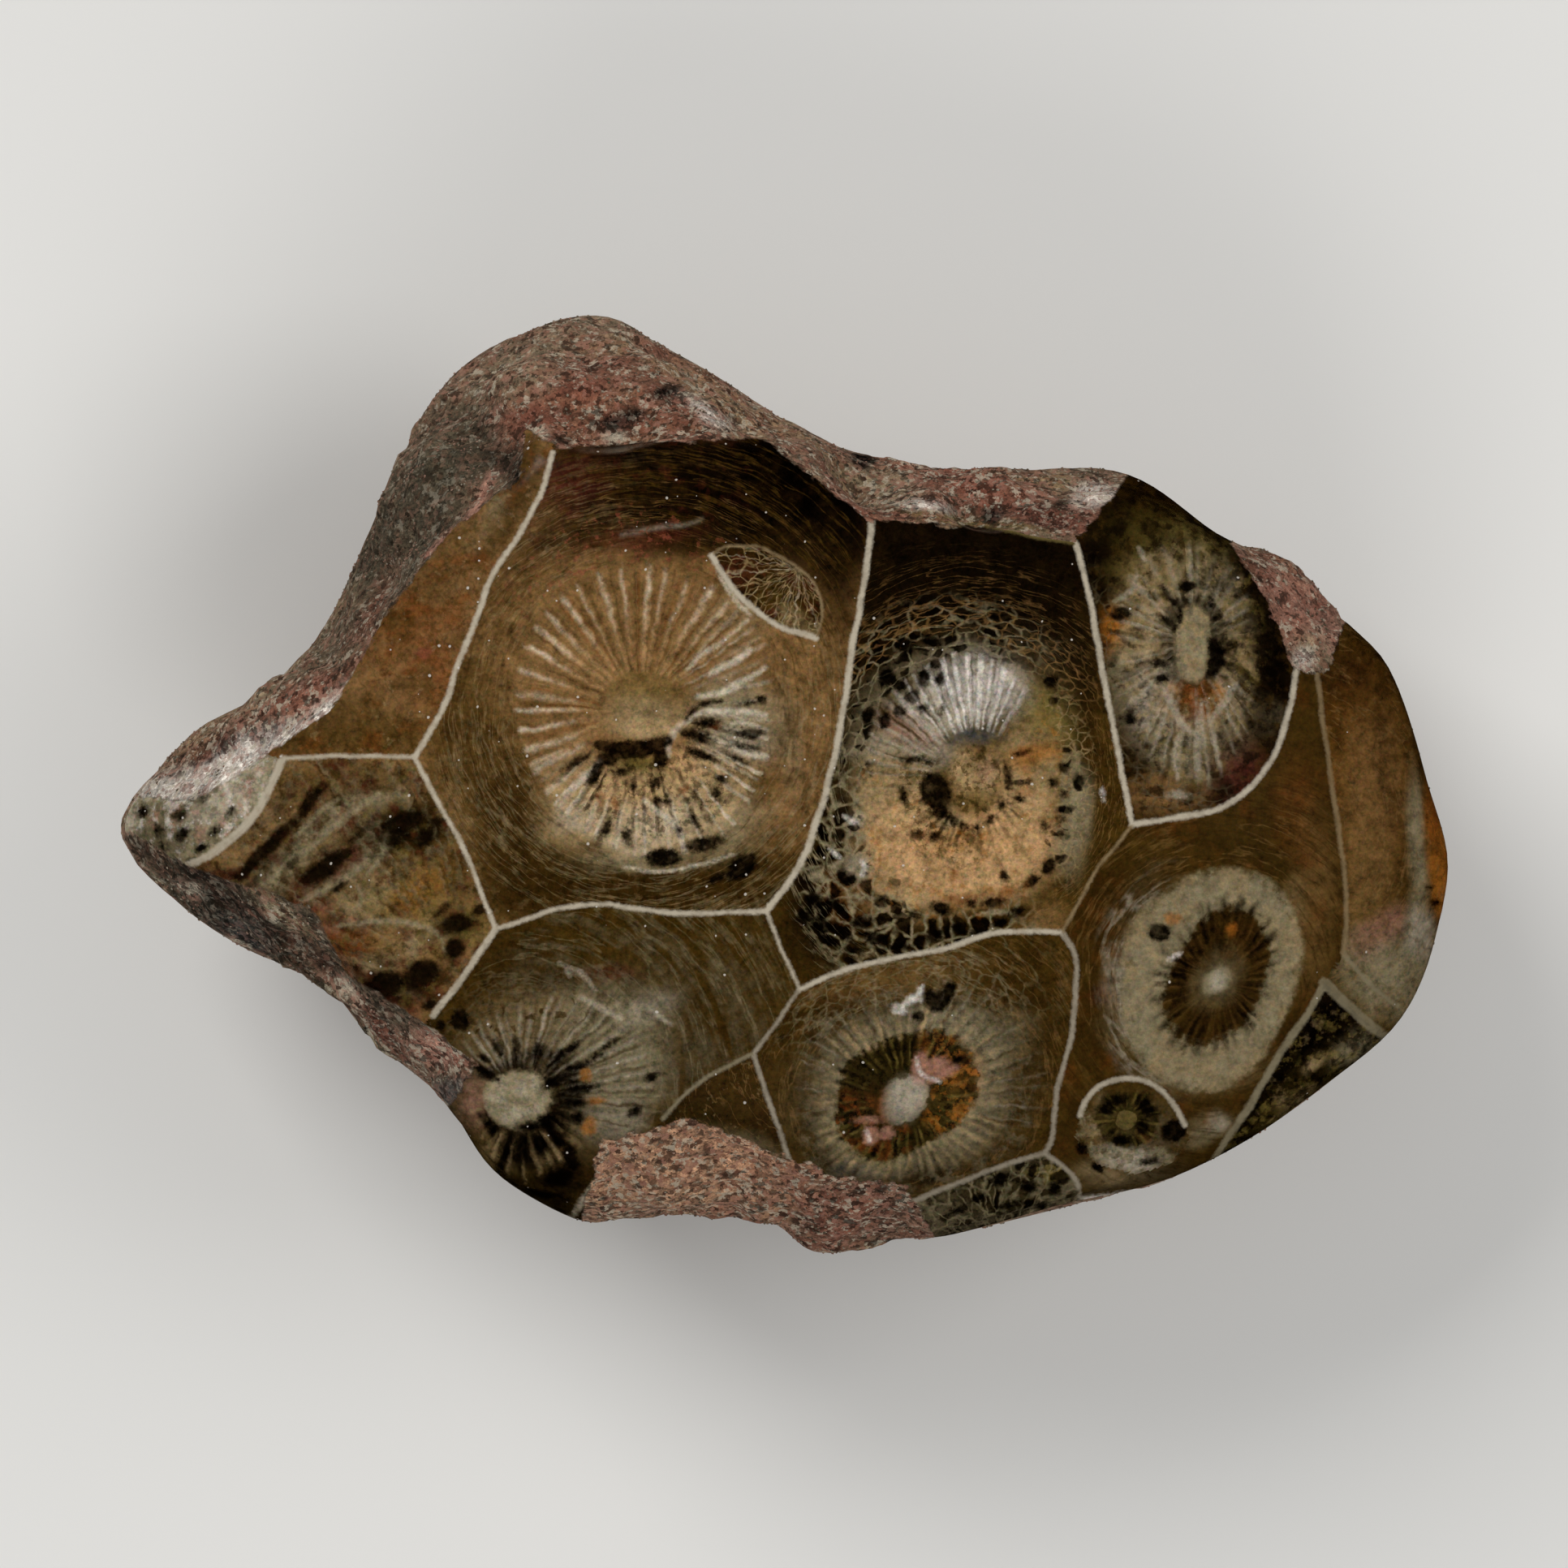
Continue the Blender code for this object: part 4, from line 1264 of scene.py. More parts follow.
CREAM_CUP = Coral(
    "cream_cup", ("great_side", "cream_top", "corner_left", "cream_side", "-cream_foot", "-short_post"),
    (1200, 960), BROWN,
    rings=(
        (33, 36, 40, 41, 38, 34, 32, 34, 40, 46, 42, 36), (50, 55, 60, 63, 60, 60, 66, 66, 66, 68, 62, 54),
        (105, 118, 132, 156, 150, 140, 132, 146, 161, 155, 139, 114),
        (135, 140, 155, 176, 185, 185, 162, 180, 222, 192, 172, 142)),
    stains=(
        # The black and soot patches across the top and down both sides, under the limestone rim, are painted
        # shade over the coral's own dark tone
        (BLACK, 1200, 690, 150, 95, -4, 0.97, 0.4), (BLACK, 1090, 780, 46, 100, -14, 0.75, 0.6),
        (SOOT, 1300, 800, 42, 120, 12, 0.8, 0.6), (UMBER, 1060, 860, 26, 120, -12, 0.8, 0.6),
        (UMBER, 1340, 940, 22, 90, 10, 0.5, 0.7), (SOOT, 1015, 1100, 38, 90, -32, 0.7, 0.6),
        (GREY, 1110, 860, 40, 70, -35, 0.75, 0.6), (SAND, 1265, 850, 40, 60, 20, 0.5, 0.7),
        (OLIVE, 1290, 880, 34, 50, 10, 0.7, 0.7), (GREY, 1240, 790, 70, 24, -8, 0.55, 0.7),
        (CALCITE, 1198, 846, 54, 42, -4, 0.6, 0.6), (BONE, 1150, 880, 36, 26, -30, 0.8, 0.6),
        (ROSE, 1120, 900, 36, 20, -20, 0.5, 0.7), (LILAC, 1110, 925, 60, 18, 0, 0.75, 0.7),
        (SAND, 1095, 960, 50, 40, 0, 0.7, 0.7), (CREAM, 1120, 1010, 66, 50, -30, 0.85, 0.6),
        (PEACH, 1180, 1060, 112, 52, 4, 0.97, 0.4), (PEACH, 1255, 1010, 40, 50, 20, 0.85, 0.6),
        (PEACH, 1120, 1045, 56, 50, -30, 0.8, 0.5), (CREAM, 1262, 950, 36, 60, 0, 0.75, 0.7),
        (AMBER, 1268, 930, 30, 14, 16, 0.7, 0.7), (OLIVE, 1275, 880, 22, 30, 0, 0.6, 0.7),
        (GREY, 1195, 900, 34, 12, 0, 0.85, 0.6), (SLATE, 1196, 908, 30, 9, -4, 0.9, 0.6),
        (DOVE, 1325, 1010, 18, 60, 0, 0.8, 0.6), (CREAM, 1100, 1105, 60, 24, -12, 0.6, 0.7),
        (SAND, 1060, 1030, 24, 46, 10, 0.7, 0.7), (AMBER, 1045, 1105, 36, 26, -35, 0.4, 0.7),
        (BONE, 1062, 1070, 14, 16, 0, 0.7, 0.6), (BONE, 1052, 1012, 12, 10, 0, 0.7, 0.6),
        (AMBER, 1180, 1042, 46, 14, 0, 0.35, 0.8), (TAN, 1203, 962, 34, 44, 0, 0.95, 0.3),
        (CREAM, 1186, 945, 16, 28, 10, 0.75, 0.6), (CREAM, 1216, 955, 14, 28, -4, 0.7, 0.6),
        (OLIVE, 1200, 985, 26, 14, 0, 0.5, 0.7), (ROSE, 1214, 950, 8, 14, 0, 0.35, 0.7),
        (DOVE, 1172, 1018, 14, 9, 0, 0.8, 0.6), (TAN, 1285, 1130, 30, 20, 30, 0.6, 0.8),
        (BROWN, 1375, 985, 14, 40, 14, 0.6, 0.8)),
    dark=(
        (1153, 975, 19, 25, 20), (1160, 1000, 12, 9), (((1238, 938), (1243, 955), (1240, 972)), 4.5),
        (1233, 990, 6, 9, 20), (1172, 1008, 9, 5, -30), (1188, 1018, 7, 5), (1204, 1019, 6, 5),
        (1220, 1010, 7, 5, 30), (((1246, 930), (1256, 928), (1268, 926)), 3.5),
        (((1240, 966), (1256, 964), (1272, 962)), 4), (1253, 982, 8, 5), (1113, 980, 5, 11, 10),
        (1126, 935, 15, 4), (1146, 938, 10, 4), (1150, 1030, 8, 6, 20), (1130, 1028, 9, 6),
        (1137, 835, 8, 11, -15), (1158, 835, 6, 10, -12), (1152, 818, 8, 7), (1124, 857, 9, 10, -25),
        (1109, 876, 8, 7), (1090, 888, 8, 10, -20), (1137, 872, 7, 6), (1160, 873, 4, 8, -10),
        (1092, 835, 10, 12, -30), (1110, 843, 8, 8, -20), (1116, 795, 12, 9, -30), (1070, 880, 8, 12, -20),
        (1148, 790, 14, 7, -20), (1297, 863, 6, 6), (1294, 838, 9, 8), (1310, 945, 8, 6, -30),
        (1297, 963, 6, 7), (1310, 978, 7, 5), (1313, 996, 11, 5), (1306, 1009, 6, 4), (1327, 962, 8, 10),
        (1305, 1026, 6, 5), (1287, 1018, 5, 7), (1292, 1068, 8, 12, -30), (1270, 1085, 10, 7, 40),
        (1236, 1078, 6, 9, 40), (1222, 1111, 16, 6, 10), (1197, 1112, 7, 5), (1159, 1117, 13, 8, -10),
        (1253, 1122, 10, 6, 40), (1178, 1140, 9, 6, 20), (1151, 1152, 16, 7, 10), (1080, 1154, 17, 8, -15),
        (1062, 1134, 15, 9), (1128, 1127, 9, 6), (1086, 1110, 9, 7), (1040, 1150, 12, 7, -30),
        (1012, 1138, 14, 10, -40), (1005, 1108, 12, 9, -50), (1028, 1112, 12, 8, -40),
        (1040, 1080, 12, 8, -50), (992, 1128, 9, 9), (1022, 1158, 12, 6, -20), (1052, 1170, 12, 5, -5),
        (1108, 1165, 14, 5), (1200, 1146, 12, 5, 10), (1232, 1137, 12, 5, 20)),
    pale=(
        (((1040, 1004), (1048, 1010), (1056, 1012)), 2.5), (((1062, 1076), (1066, 1066), (1062, 1058)), 2.5),
        (((1356, 970), (1359, 986)), 2), (((1022, 1046), (1034, 1056)), 2)),
    warm=(
        (1180, 1105, 26, 6), (1240, 1098, 14, 6, 30), (1175, 1078, 6, 9), (1260, 925, 14, 5, 10),
        (1262, 975, 12, 5)),
    layers=(
        Cloud(UMBER, 0.45, (), 1, 0.9, 0.45, 0.6), Cloud(OLIVE, 0.35, (0.9, 1.2, 3.4, 4), 21, 0.32, 0.5, 0.6),
        Cloud(CREAM, 0.5, (1.7, 2, 2.9, 3.1, 265, 100, 20), 22, 0.28, 0.5, 0.62),
        # The soot band in the outer rings towards the top carries on the painted shade under the rim
        Band(GREY, 0.6, (2.9, 3.1, 3.6, 4.2, 120, 50, 16)), Band(SOOT, 0.75, (3.3, 4, 9, 10, 112, 76, 20)),
        Pores(BLACK, 0.92, (2.85, 3.1, 4.8, 6, 126, 54, 12), 1, 0.4, 8, 0.09, 0.85),
        Net(DOVE, 0.58, (2.95, 3.2, 4.6, 5.8, 122, 62, 14), 1, 0.4, 6.5, 0, 0.11),
        Net(TAN, 0.6, (3.8, 4.2, 4.6, 6, 96, 66, 14), 2, 0.3, 8, 0, 0.1),
        Lines(TAN, 0.35, (4.2, 4.8, 6, 7.5, 105, 70, 20), 6, 0.3, 2.2, 0.1),
        Band(SOOT, 0.6, (3.2, 3.7, 6, 7, 232, 46, 14)),
        Pores(BLACK, 0.95, (3.1, 3.4, 5.4, 6.4, 238, 50, 12), 3, 0.6, 9, 0.1, 0.8),
        Net(DOVE, 0.8, (3, 3.3, 5.4, 6.4, 232, 58, 12), 3, 0.6, 9, 0, 0.15),
        Lines(DOVE, 0.55, (3.6, 4, 6, 7, 190, 44, 14), 7, 0.26, 2.6, 0.12),
        Lines(TAN, 0.45, (3.9, 4.2, 7, 8, 320, 66, 14), 8, 0.24, 2.6, 0.12),
        Band(DOVE, 0.45, (3, 3.15, 3.8, 4.05, 345, 30, 10)),
        Pores(BLACK, 0.9, (2.9, 3.05, 3.8, 4.1, 350, 40, 10), 4, 0.36, 12, 0.15, 0.5),
        Net(SAND, 0.55, (2.9, 3.1, 4.2, 4.6, 0, 50, 10), 4, 0.36, 12, 0, 0.12),
        Pores(SOOT, 0.85, (2.85, 2.95, 3.6, 3.9, 280, 50, 12), 5, 0.5, 9, 0.16, 0.45),
        Septa(UMBER, 0.75, (2.1, 2.4, 3, 3.2, 112, 40, 10), 33, 56, 0.02, 0.2, 0.12, 0.6, 0.6),
        Septa(CALCITE, 0.97, (1.9, 2.15, 2.85, 3.1, 98, 36, 8), 1, 56, 0.02, 0.32, 0.1, 0.4, 0.35, 0.045),
        Septa(GREY, 0.75, (1.7, 2, 2.9, 3.1, 100, 46, 8), 2, 56, 0.02, 0.06, 0.14, 0.7, 0.7),
        Septa(LILAC, 0.75, (1.6, 2, 2.9, 3.15, 152, 32, 8), 5, 56, 0.03, 0.14, 0.16, 0.6, 0.6),
        Septa(UMBER, 0.7, (2, 2.3, 3, 3.2, 150, 36, 8), 7, 56, 0.02, 0.1, 0.16, 0.6, 0.8),
        Septa(TAN, 0.5, (1.7, 2, 2.7, 3, 270, 90, 20), 3, 58, 0.03, 0.1, 0.3, 0.7, 0.9),
        Septa(SOOT, 0.95, (1.3, 1.5, 2.05, 2.35, 290, 90, 14), 9, 40, 0.02, 0.25, 0.18, 0.6, 0.6),
        Cloud(MOSS, 0.7, (1.4, 1.8, 2.3, 2.6, 215, 60, 14), 11, 0.28, 0.48, 0.57),
        Cloud(AMBER, 0.4, (1.6, 2, 3.2, 3.6, 290, 120, 20), 12, 0.5, 0.54, 0.64),
        Cloud(MOSS, 0.7, (-1, -0.5, 0.95, 1.1), 13, 0.26, 0.48, 0.57)),
    dust=0.15, warm_tone=RUST)

CORNER_CUP = Coral(
    "corner_cup",
    ("-corner_left", (1320, 620), (1380, 540), (1500, 560), (1640, 700), (1650, 800), (1597, 824),
     "-corner_foot"), (1470, 793), UMBER,
    rings=(
        (20, 24, 36, 46, 36, 24, 20, 24, 36, 46, 36, 24), (38, 42, 55, 62, 60, 50, 42, 46, 58, 64, 56, 46),
        (68, 78, 98, 120, 120, 104, 92, 98, 122, 165, 112, 82),
        (110, 115, 140, 150, 150, 135, 112, 124, 152, 190, 142, 115)),
    stains=(
        # The black and soot patches at the top left, under the limestone rim, are painted shade over the
        # coral's own dark tone
        (BLACK, 1362, 690, 34, 66, -18, 0.9, 0.5), (SOOT, 1350, 640, 40, 30, 0, 0.7, 0.6),
        (BLACK, 1560, 790, 30, 100, 14, 0.93, 0.5), (SOOT, 1540, 720, 30, 60, 34, 0.85, 0.5),
        (OLIVE, 1450, 665, 60, 34, -10, 0.7, 0.6), (DOVE, 1470, 790, 62, 110, 6, 0.7, 0.5),
        (SAND, 1415, 770, 34, 66, 0, 0.8, 0.6), (LILAC, 1432, 870, 44, 46, -34, 0.7, 0.6),
        (SAND, 1512, 810, 28, 60, 6, 0.6, 0.6), (DOVE, 1478, 925, 50, 36, 0, 0.75, 0.6),
        (OLIVE, 1400, 700, 36, 26, 40, 0.4, 0.7), (AMBER, 1375, 783, 14, 24, 0, 0.85, 0.6),
        (RUST, 1470, 868, 34, 28, 0, 0.9, 0.6), (AMBER, 1482, 850, 34, 15, 0, 0.8, 0.6),
        (MAROON, 1520, 955, 34, 40, 0, 0.9, 0.6), (SOOT, 1500, 970, 20, 16, 0, 0.6, 0.7),
        (HONEY, 1430, 975, 50, 26, -8, 0.8, 0.7), (UMBER, 1385, 880, 20, 60, 10, 0.6, 0.7),
        (GREY, 1555, 885, 26, 24, 0, 0.7, 0.6), (DOVE, 1470, 793, 24, 48, 4, 0.8, 0.6),
        (SAND, 1468, 795, 15, 38, 4, 0.5, 0.7), (MOSS, 1400, 650, 60, 30, -20, 0.6, 0.7),
        (SOOT, 1545, 840, 16, 70, 10, 0.6, 0.7), (DOVE, 1385, 830, 18, 36, 0, 0.5, 0.7),
        (SOOT, 1480, 620, 60, 16, -30, 0.5, 0.7)),
    dark=(
        (((1493, 790), (1498, 810), (1490, 830)), 11), (1515, 794, 16, 5), (1492, 742, 5, 12),
        (((1431, 722), (1440, 735), (1452, 748)), 5), (((1455, 748), (1452, 765), (1445, 778)), 4.5),
        (((1426, 756), (1436, 764), (1446, 772)), 3.5), (1428, 816, 13, 6, -10), (1392, 884, 8, 8),
        (1462, 722, 12, 8), (1500, 760, 9, 5, 20), (1430, 835, 10, 7, 30), (1380, 756, 12, 9),
        (1358, 925, 7, 18)),
    pale=(
        (((1372, 741), (1392, 730), (1400, 710)), 3),
        (((1424, 830), (1440, 860), (1455, 890), (1478, 908)), 4),
        (((1522, 842), (1506, 868), (1488, 892)), 3.5), (((1480, 862), (1480, 890), (1482, 920)), 3),
        (((1452, 905), (1445, 930), (1450, 958)), 3), (((1402, 675), (1412, 690)), 3), (1450, 978, 12, 5)),
    layers=(
        Cloud(SOOT, 0.8, (), 1, 0.6, 0.44, 0.56), Cloud(BROWN, 0.5, (3.4, 4, 30, 31), 2, 0.5, 0.52, 0.64),
        Net(GREY, 0.6, (3, 3.2, 4.6, 5.4, 215, 66, 16), 7, 0.34, 8, 0, 0.14),
        Cloud(SAND, 0.7, (1.6, 2, 2.9, 3.4), 8, 0.5, 0.44, 0.6),
        Cloud(OLIVE, 0.5, (1.2, 1.6, 3.2, 3.8), 6, 0.4, 0.5, 0.62), Band(SOOT, 0.75, (0.9, 1.1, 1.5, 2.2)),
        Septa(LILAC, 0.75, (1.05, 1.5, 2.7, 3.3, 170, 150, 20), 1, 36, 0.02, 0.24, 0.24, 0.8, 0.7, 0.1),
        Septa(LILAC, 0.65, (2, 2.4, 3.1, 3.8, 258, 56, 16), 4, 54, 0.01, 0.12, 0.2, 0.7, 0.8, 0.08),
        Septa(UMBER, 0.75, (2.1, 2.5, 3.4, 4), 5, 34, 0.01, 0.24, 0.3, 0.9, 0.9, 0.11),
        Septa(SOOT, 0.85, (2.4, 2.8, 3.6, 4.2, 20, 90, 20), 11, 30, 0.02, 0.3, 0.3, 0.9, 0.7, 0.12),
        Septa(BLACK, 0.97, (0.95, 1.1, 2, 2.6, 350, 56, 14), 3, 17, 0.04, 0.42, 0.2, 0.6, 0.3, 0.1),
        Septa(SOOT, 0.8, (1, 1.2, 1.8, 2.2, 120, 80, 20), 9, 18, 0.02, 0.26, 0.2, 0.8, 0.8, 0.08),
        Band(RUST, 0.7, (0.9, 1.2, 1.9, 2.3, 272, 18, 9)),
        Cloud(MOSS, 0.8, (0.9, 1.1, 2, 2.4, 272, 20, 9), 15, 0.3, 0.42, 0.54),
        Band(DOVE, 0.8, (-1, -0.5, 0.5, 1.4)), Cloud(SAND, 0.9, (-1, -0.5, 0.7, 1.4), 12, 0.4, 0.42, 0.58)),
    dust=0.05, pale_tone=LILAC, mottle=0.9)

SPOKE_CUP = Coral(
    "spoke_cup",
    ("-spoke_left", "great_foot", "short_post", "low_post", "wedge_top", (770, 1430), (700, 1600), (500, 1560),
     (450, 1330)), (643, 1350), BROWN,
    rings=(
        (36, 34, 32, 31, 34, 42, 46, 44, 40, 36, 34, 34), (88, 94, 82, 62, 56, 60, 62, 58, 70, 94, 80, 76),
        (158, 162, 142, 108, 98, 88, 74, 78, 96, 118, 116, 130),
        (200, 205, 175, 140, 130, 120, 110, 110, 130, 150, 150, 165)),
    stains=(
        (UMBER, 640, 1200, 60, 70, 0, 0.5, 0.8), (BROWN, 860, 1190, 120, 50, 0, 0.5, 0.8),
        (GREY, 780, 1260, 70, 60, 20, 0.55, 0.7), (SAND, 665, 1290, 90, 60, 0, 0.6, 0.5),
        (DOVE, 760, 1310, 66, 60, 20, 0.75, 0.6), (DOVE, 740, 1250, 46, 34, -30, 0.6, 0.7),
        (MAROON, 742, 1200, 36, 10, 0, 0.6, 0.7), (LILAC, 800, 1240, 40, 20, 20, 0.45, 0.7),
        (GREY, 570, 1340, 34, 46, 0, 0.6, 0.7), (ROSE, 585, 1360, 20, 26, 0, 0.4, 0.7),
        (SAND, 640, 1415, 46, 30, 0, 0.6, 0.6), (MOSS, 665, 1465, 70, 34, -16, 0.85, 0.5),
        (SOOT, 700, 1440, 34, 32, 30, 0.75, 0.6), (LILAC, 760, 1380, 34, 24, 0, 0.6, 0.7),
        (SAND, 640, 1350, 44, 38, 0, 0.9, 0.35), (BONE, 645, 1345, 26, 22, 0, 0.4, 0.7),
        (OLIVE, 690, 1350, 14, 8, 0, 0.8, 0.5), (UMBER, 870, 1270, 60, 40, 30, 0.4, 0.8)),
    dark=(
        (((588, 1312), (600, 1320), (614, 1328)), 7), (((594, 1298), (606, 1306)), 4),
        (569, 1255, 12, 14, -10), (545, 1262, 6, 8), (637, 1288, 6, 12, 8), (615, 1290, 6, 12, 24),
        (663, 1290, 6, 13, -12), (690, 1300, 6, 13, -36), (688, 1330, 24, 7, 20), (715, 1340, 24, 6, 10),
        (714, 1312, 22, 5, 28), (704, 1290, 18, 5, 38), (712, 1356, 16, 5), (714, 1376, 9, 7),
        (676, 1378, 15, 8), (655, 1384, 14, 6, 10), (622, 1425, 28, 6, 68), (645, 1410, 22, 6, 84),
        (667, 1408, 17, 7, -72), (704, 1425, 8, 18, 10), (690, 1405, 12, 5, -30), (690, 1450, 18, 10, 20),
        (608, 1388, 10, 5, -50), (670, 1470, 22, 5, -14), (735, 1300, 14, 4, 26), (750, 1286, 14, 3, 30),
        (805, 1325, 12, 6, 20), (782, 1368, 10, 6, 20)),
    pale=(
        (((692, 1185), (720, 1200), (735, 1218)), 3), (((715, 1228), (740, 1240), (765, 1254)), 3.5),
        (((800, 1238), (815, 1252), (828, 1260)), 2.5), (((745, 1440), (728, 1466), (706, 1496)), 5),
        (((700, 1190), (704, 1200)), 4), (((640, 1488), (670, 1492), (700, 1502)), 3)),
    warm=((723, 1323, 8, 10), (727, 1386, 9, 10), (735, 1354, 12, 4)),
    layers=(
        Cloud(UMBER, 0.5, (), 1, 0.9, 0.44, 0.6), Cloud(MOSS, 0.4, (), 11, 0.5, 0.52, 0.64),
        Lines(GREY, 0.55, (3, 3.4, 6, 9, 42, 50, 20), 7, 0.7, 1.4, 0.45),
        Lines(DOVE, 0.25, (3, 3.3, 7, 10, 50, 60, 20), 2, 0.6, 1.8, 0.16),
        Net(GREY, 0.5, (2.8, 3.1, 4, 4.8, 95, 50, 16), 3, 0.36, 7, 0, 0.14),
        Band(GREY, 0.5, (1.2, 1.6, 2.4, 3.3, 45, 85, 20)),
        Band(BLACK, 0.92, (0.9, 1.05, 1.55, 2.05, 40, 112, 18)),
        Band(BLACK, 0.92, (0.9, 1.05, 1.7, 2.1, 262, 66, 14)),
        Septa(LILAC, 0.9, (1.05, 1.7, 2.6, 3.4, 70, 76, 14), 1, 46, 0.01, 0.24, 0.18, 0.5, 0.5, 0.09),
        Septa(DOVE, 0.8, (1.6, 2, 2.8, 3.8, 20, 46, 14), 4, 76, 0.01, 0.22, 0.2, 0.7, 0.6, 0.08),
        Septa(SAND, 0.85, (1.1, 1.5, 2.2, 2.6, 265, 80, 14), 10, 30, 0.02, 0.28, 0.16, 0.5, 0.5, 0.08),
        Septa(SOOT, 0.9, (1, 1.12, 1.75, 2.2, 50, 96, 16), 5, 34, 0.02, 0.3, 0.14, 0.5, 0.6),
        Septa(SOOT, 0.9, (1, 1.15, 1.8, 2.2, 262, 66, 14), 6, 30, 0.02, 0.32, 0.14, 0.4),
        Septa(UMBER, 0.75, (1.9, 2.2, 2.8, 3.2, 50, 80, 20), 8, 64, 0.02, 0.14, 0.2, 0.6, 0.8),
        Pores(UMBER, 0.8, (2.3, 2.5, 3.2, 3.6, 95, 44, 12), 5, 0.35, 7, 0.14, 0.5),
        Cloud(SOOT, 0.75, (2, 2.4, 6, 7, 280, 30, 10), 9, 0.4, 0.46, 0.56),
        Band(DOVE, 1, (-1, -0.5, 0.7, 1.2)), Band(DOVE, 1, (-1, -0.5, 0.7, 1.2)),
        Cloud(BONE, 0.4, (-1, -0.5, 0.6, 1.1), 12, 0.6, 0.4, 0.6)),
    dust=0.15, pale_tone=LILAC)

WEDGE = Coral(
    "wedge", ("-wedge_top", "wedge_side", (990, 1600), (700, 1600), (770, 1430)), (1010, 1300), UMBER,
    stains=(
        (BROWN, 915, 1340, 34, 40, 0, 0.6, 0.7), (MOSS, 860, 1390, 40, 26, 20, 0.6, 0.7),
        (DOVE, 920, 1420, 60, 16, -20, 0.35, 0.8)),
    layers=(
        Cloud(BROWN, 0.5, (), 1, 0.7, 0.48, 0.64), Lines(TAN, 0.4, (), 2, 0.4, 2, 0.1),
        Cloud(SAND, 0.4, (), 5, 0.3, 0.6, 0.7)))

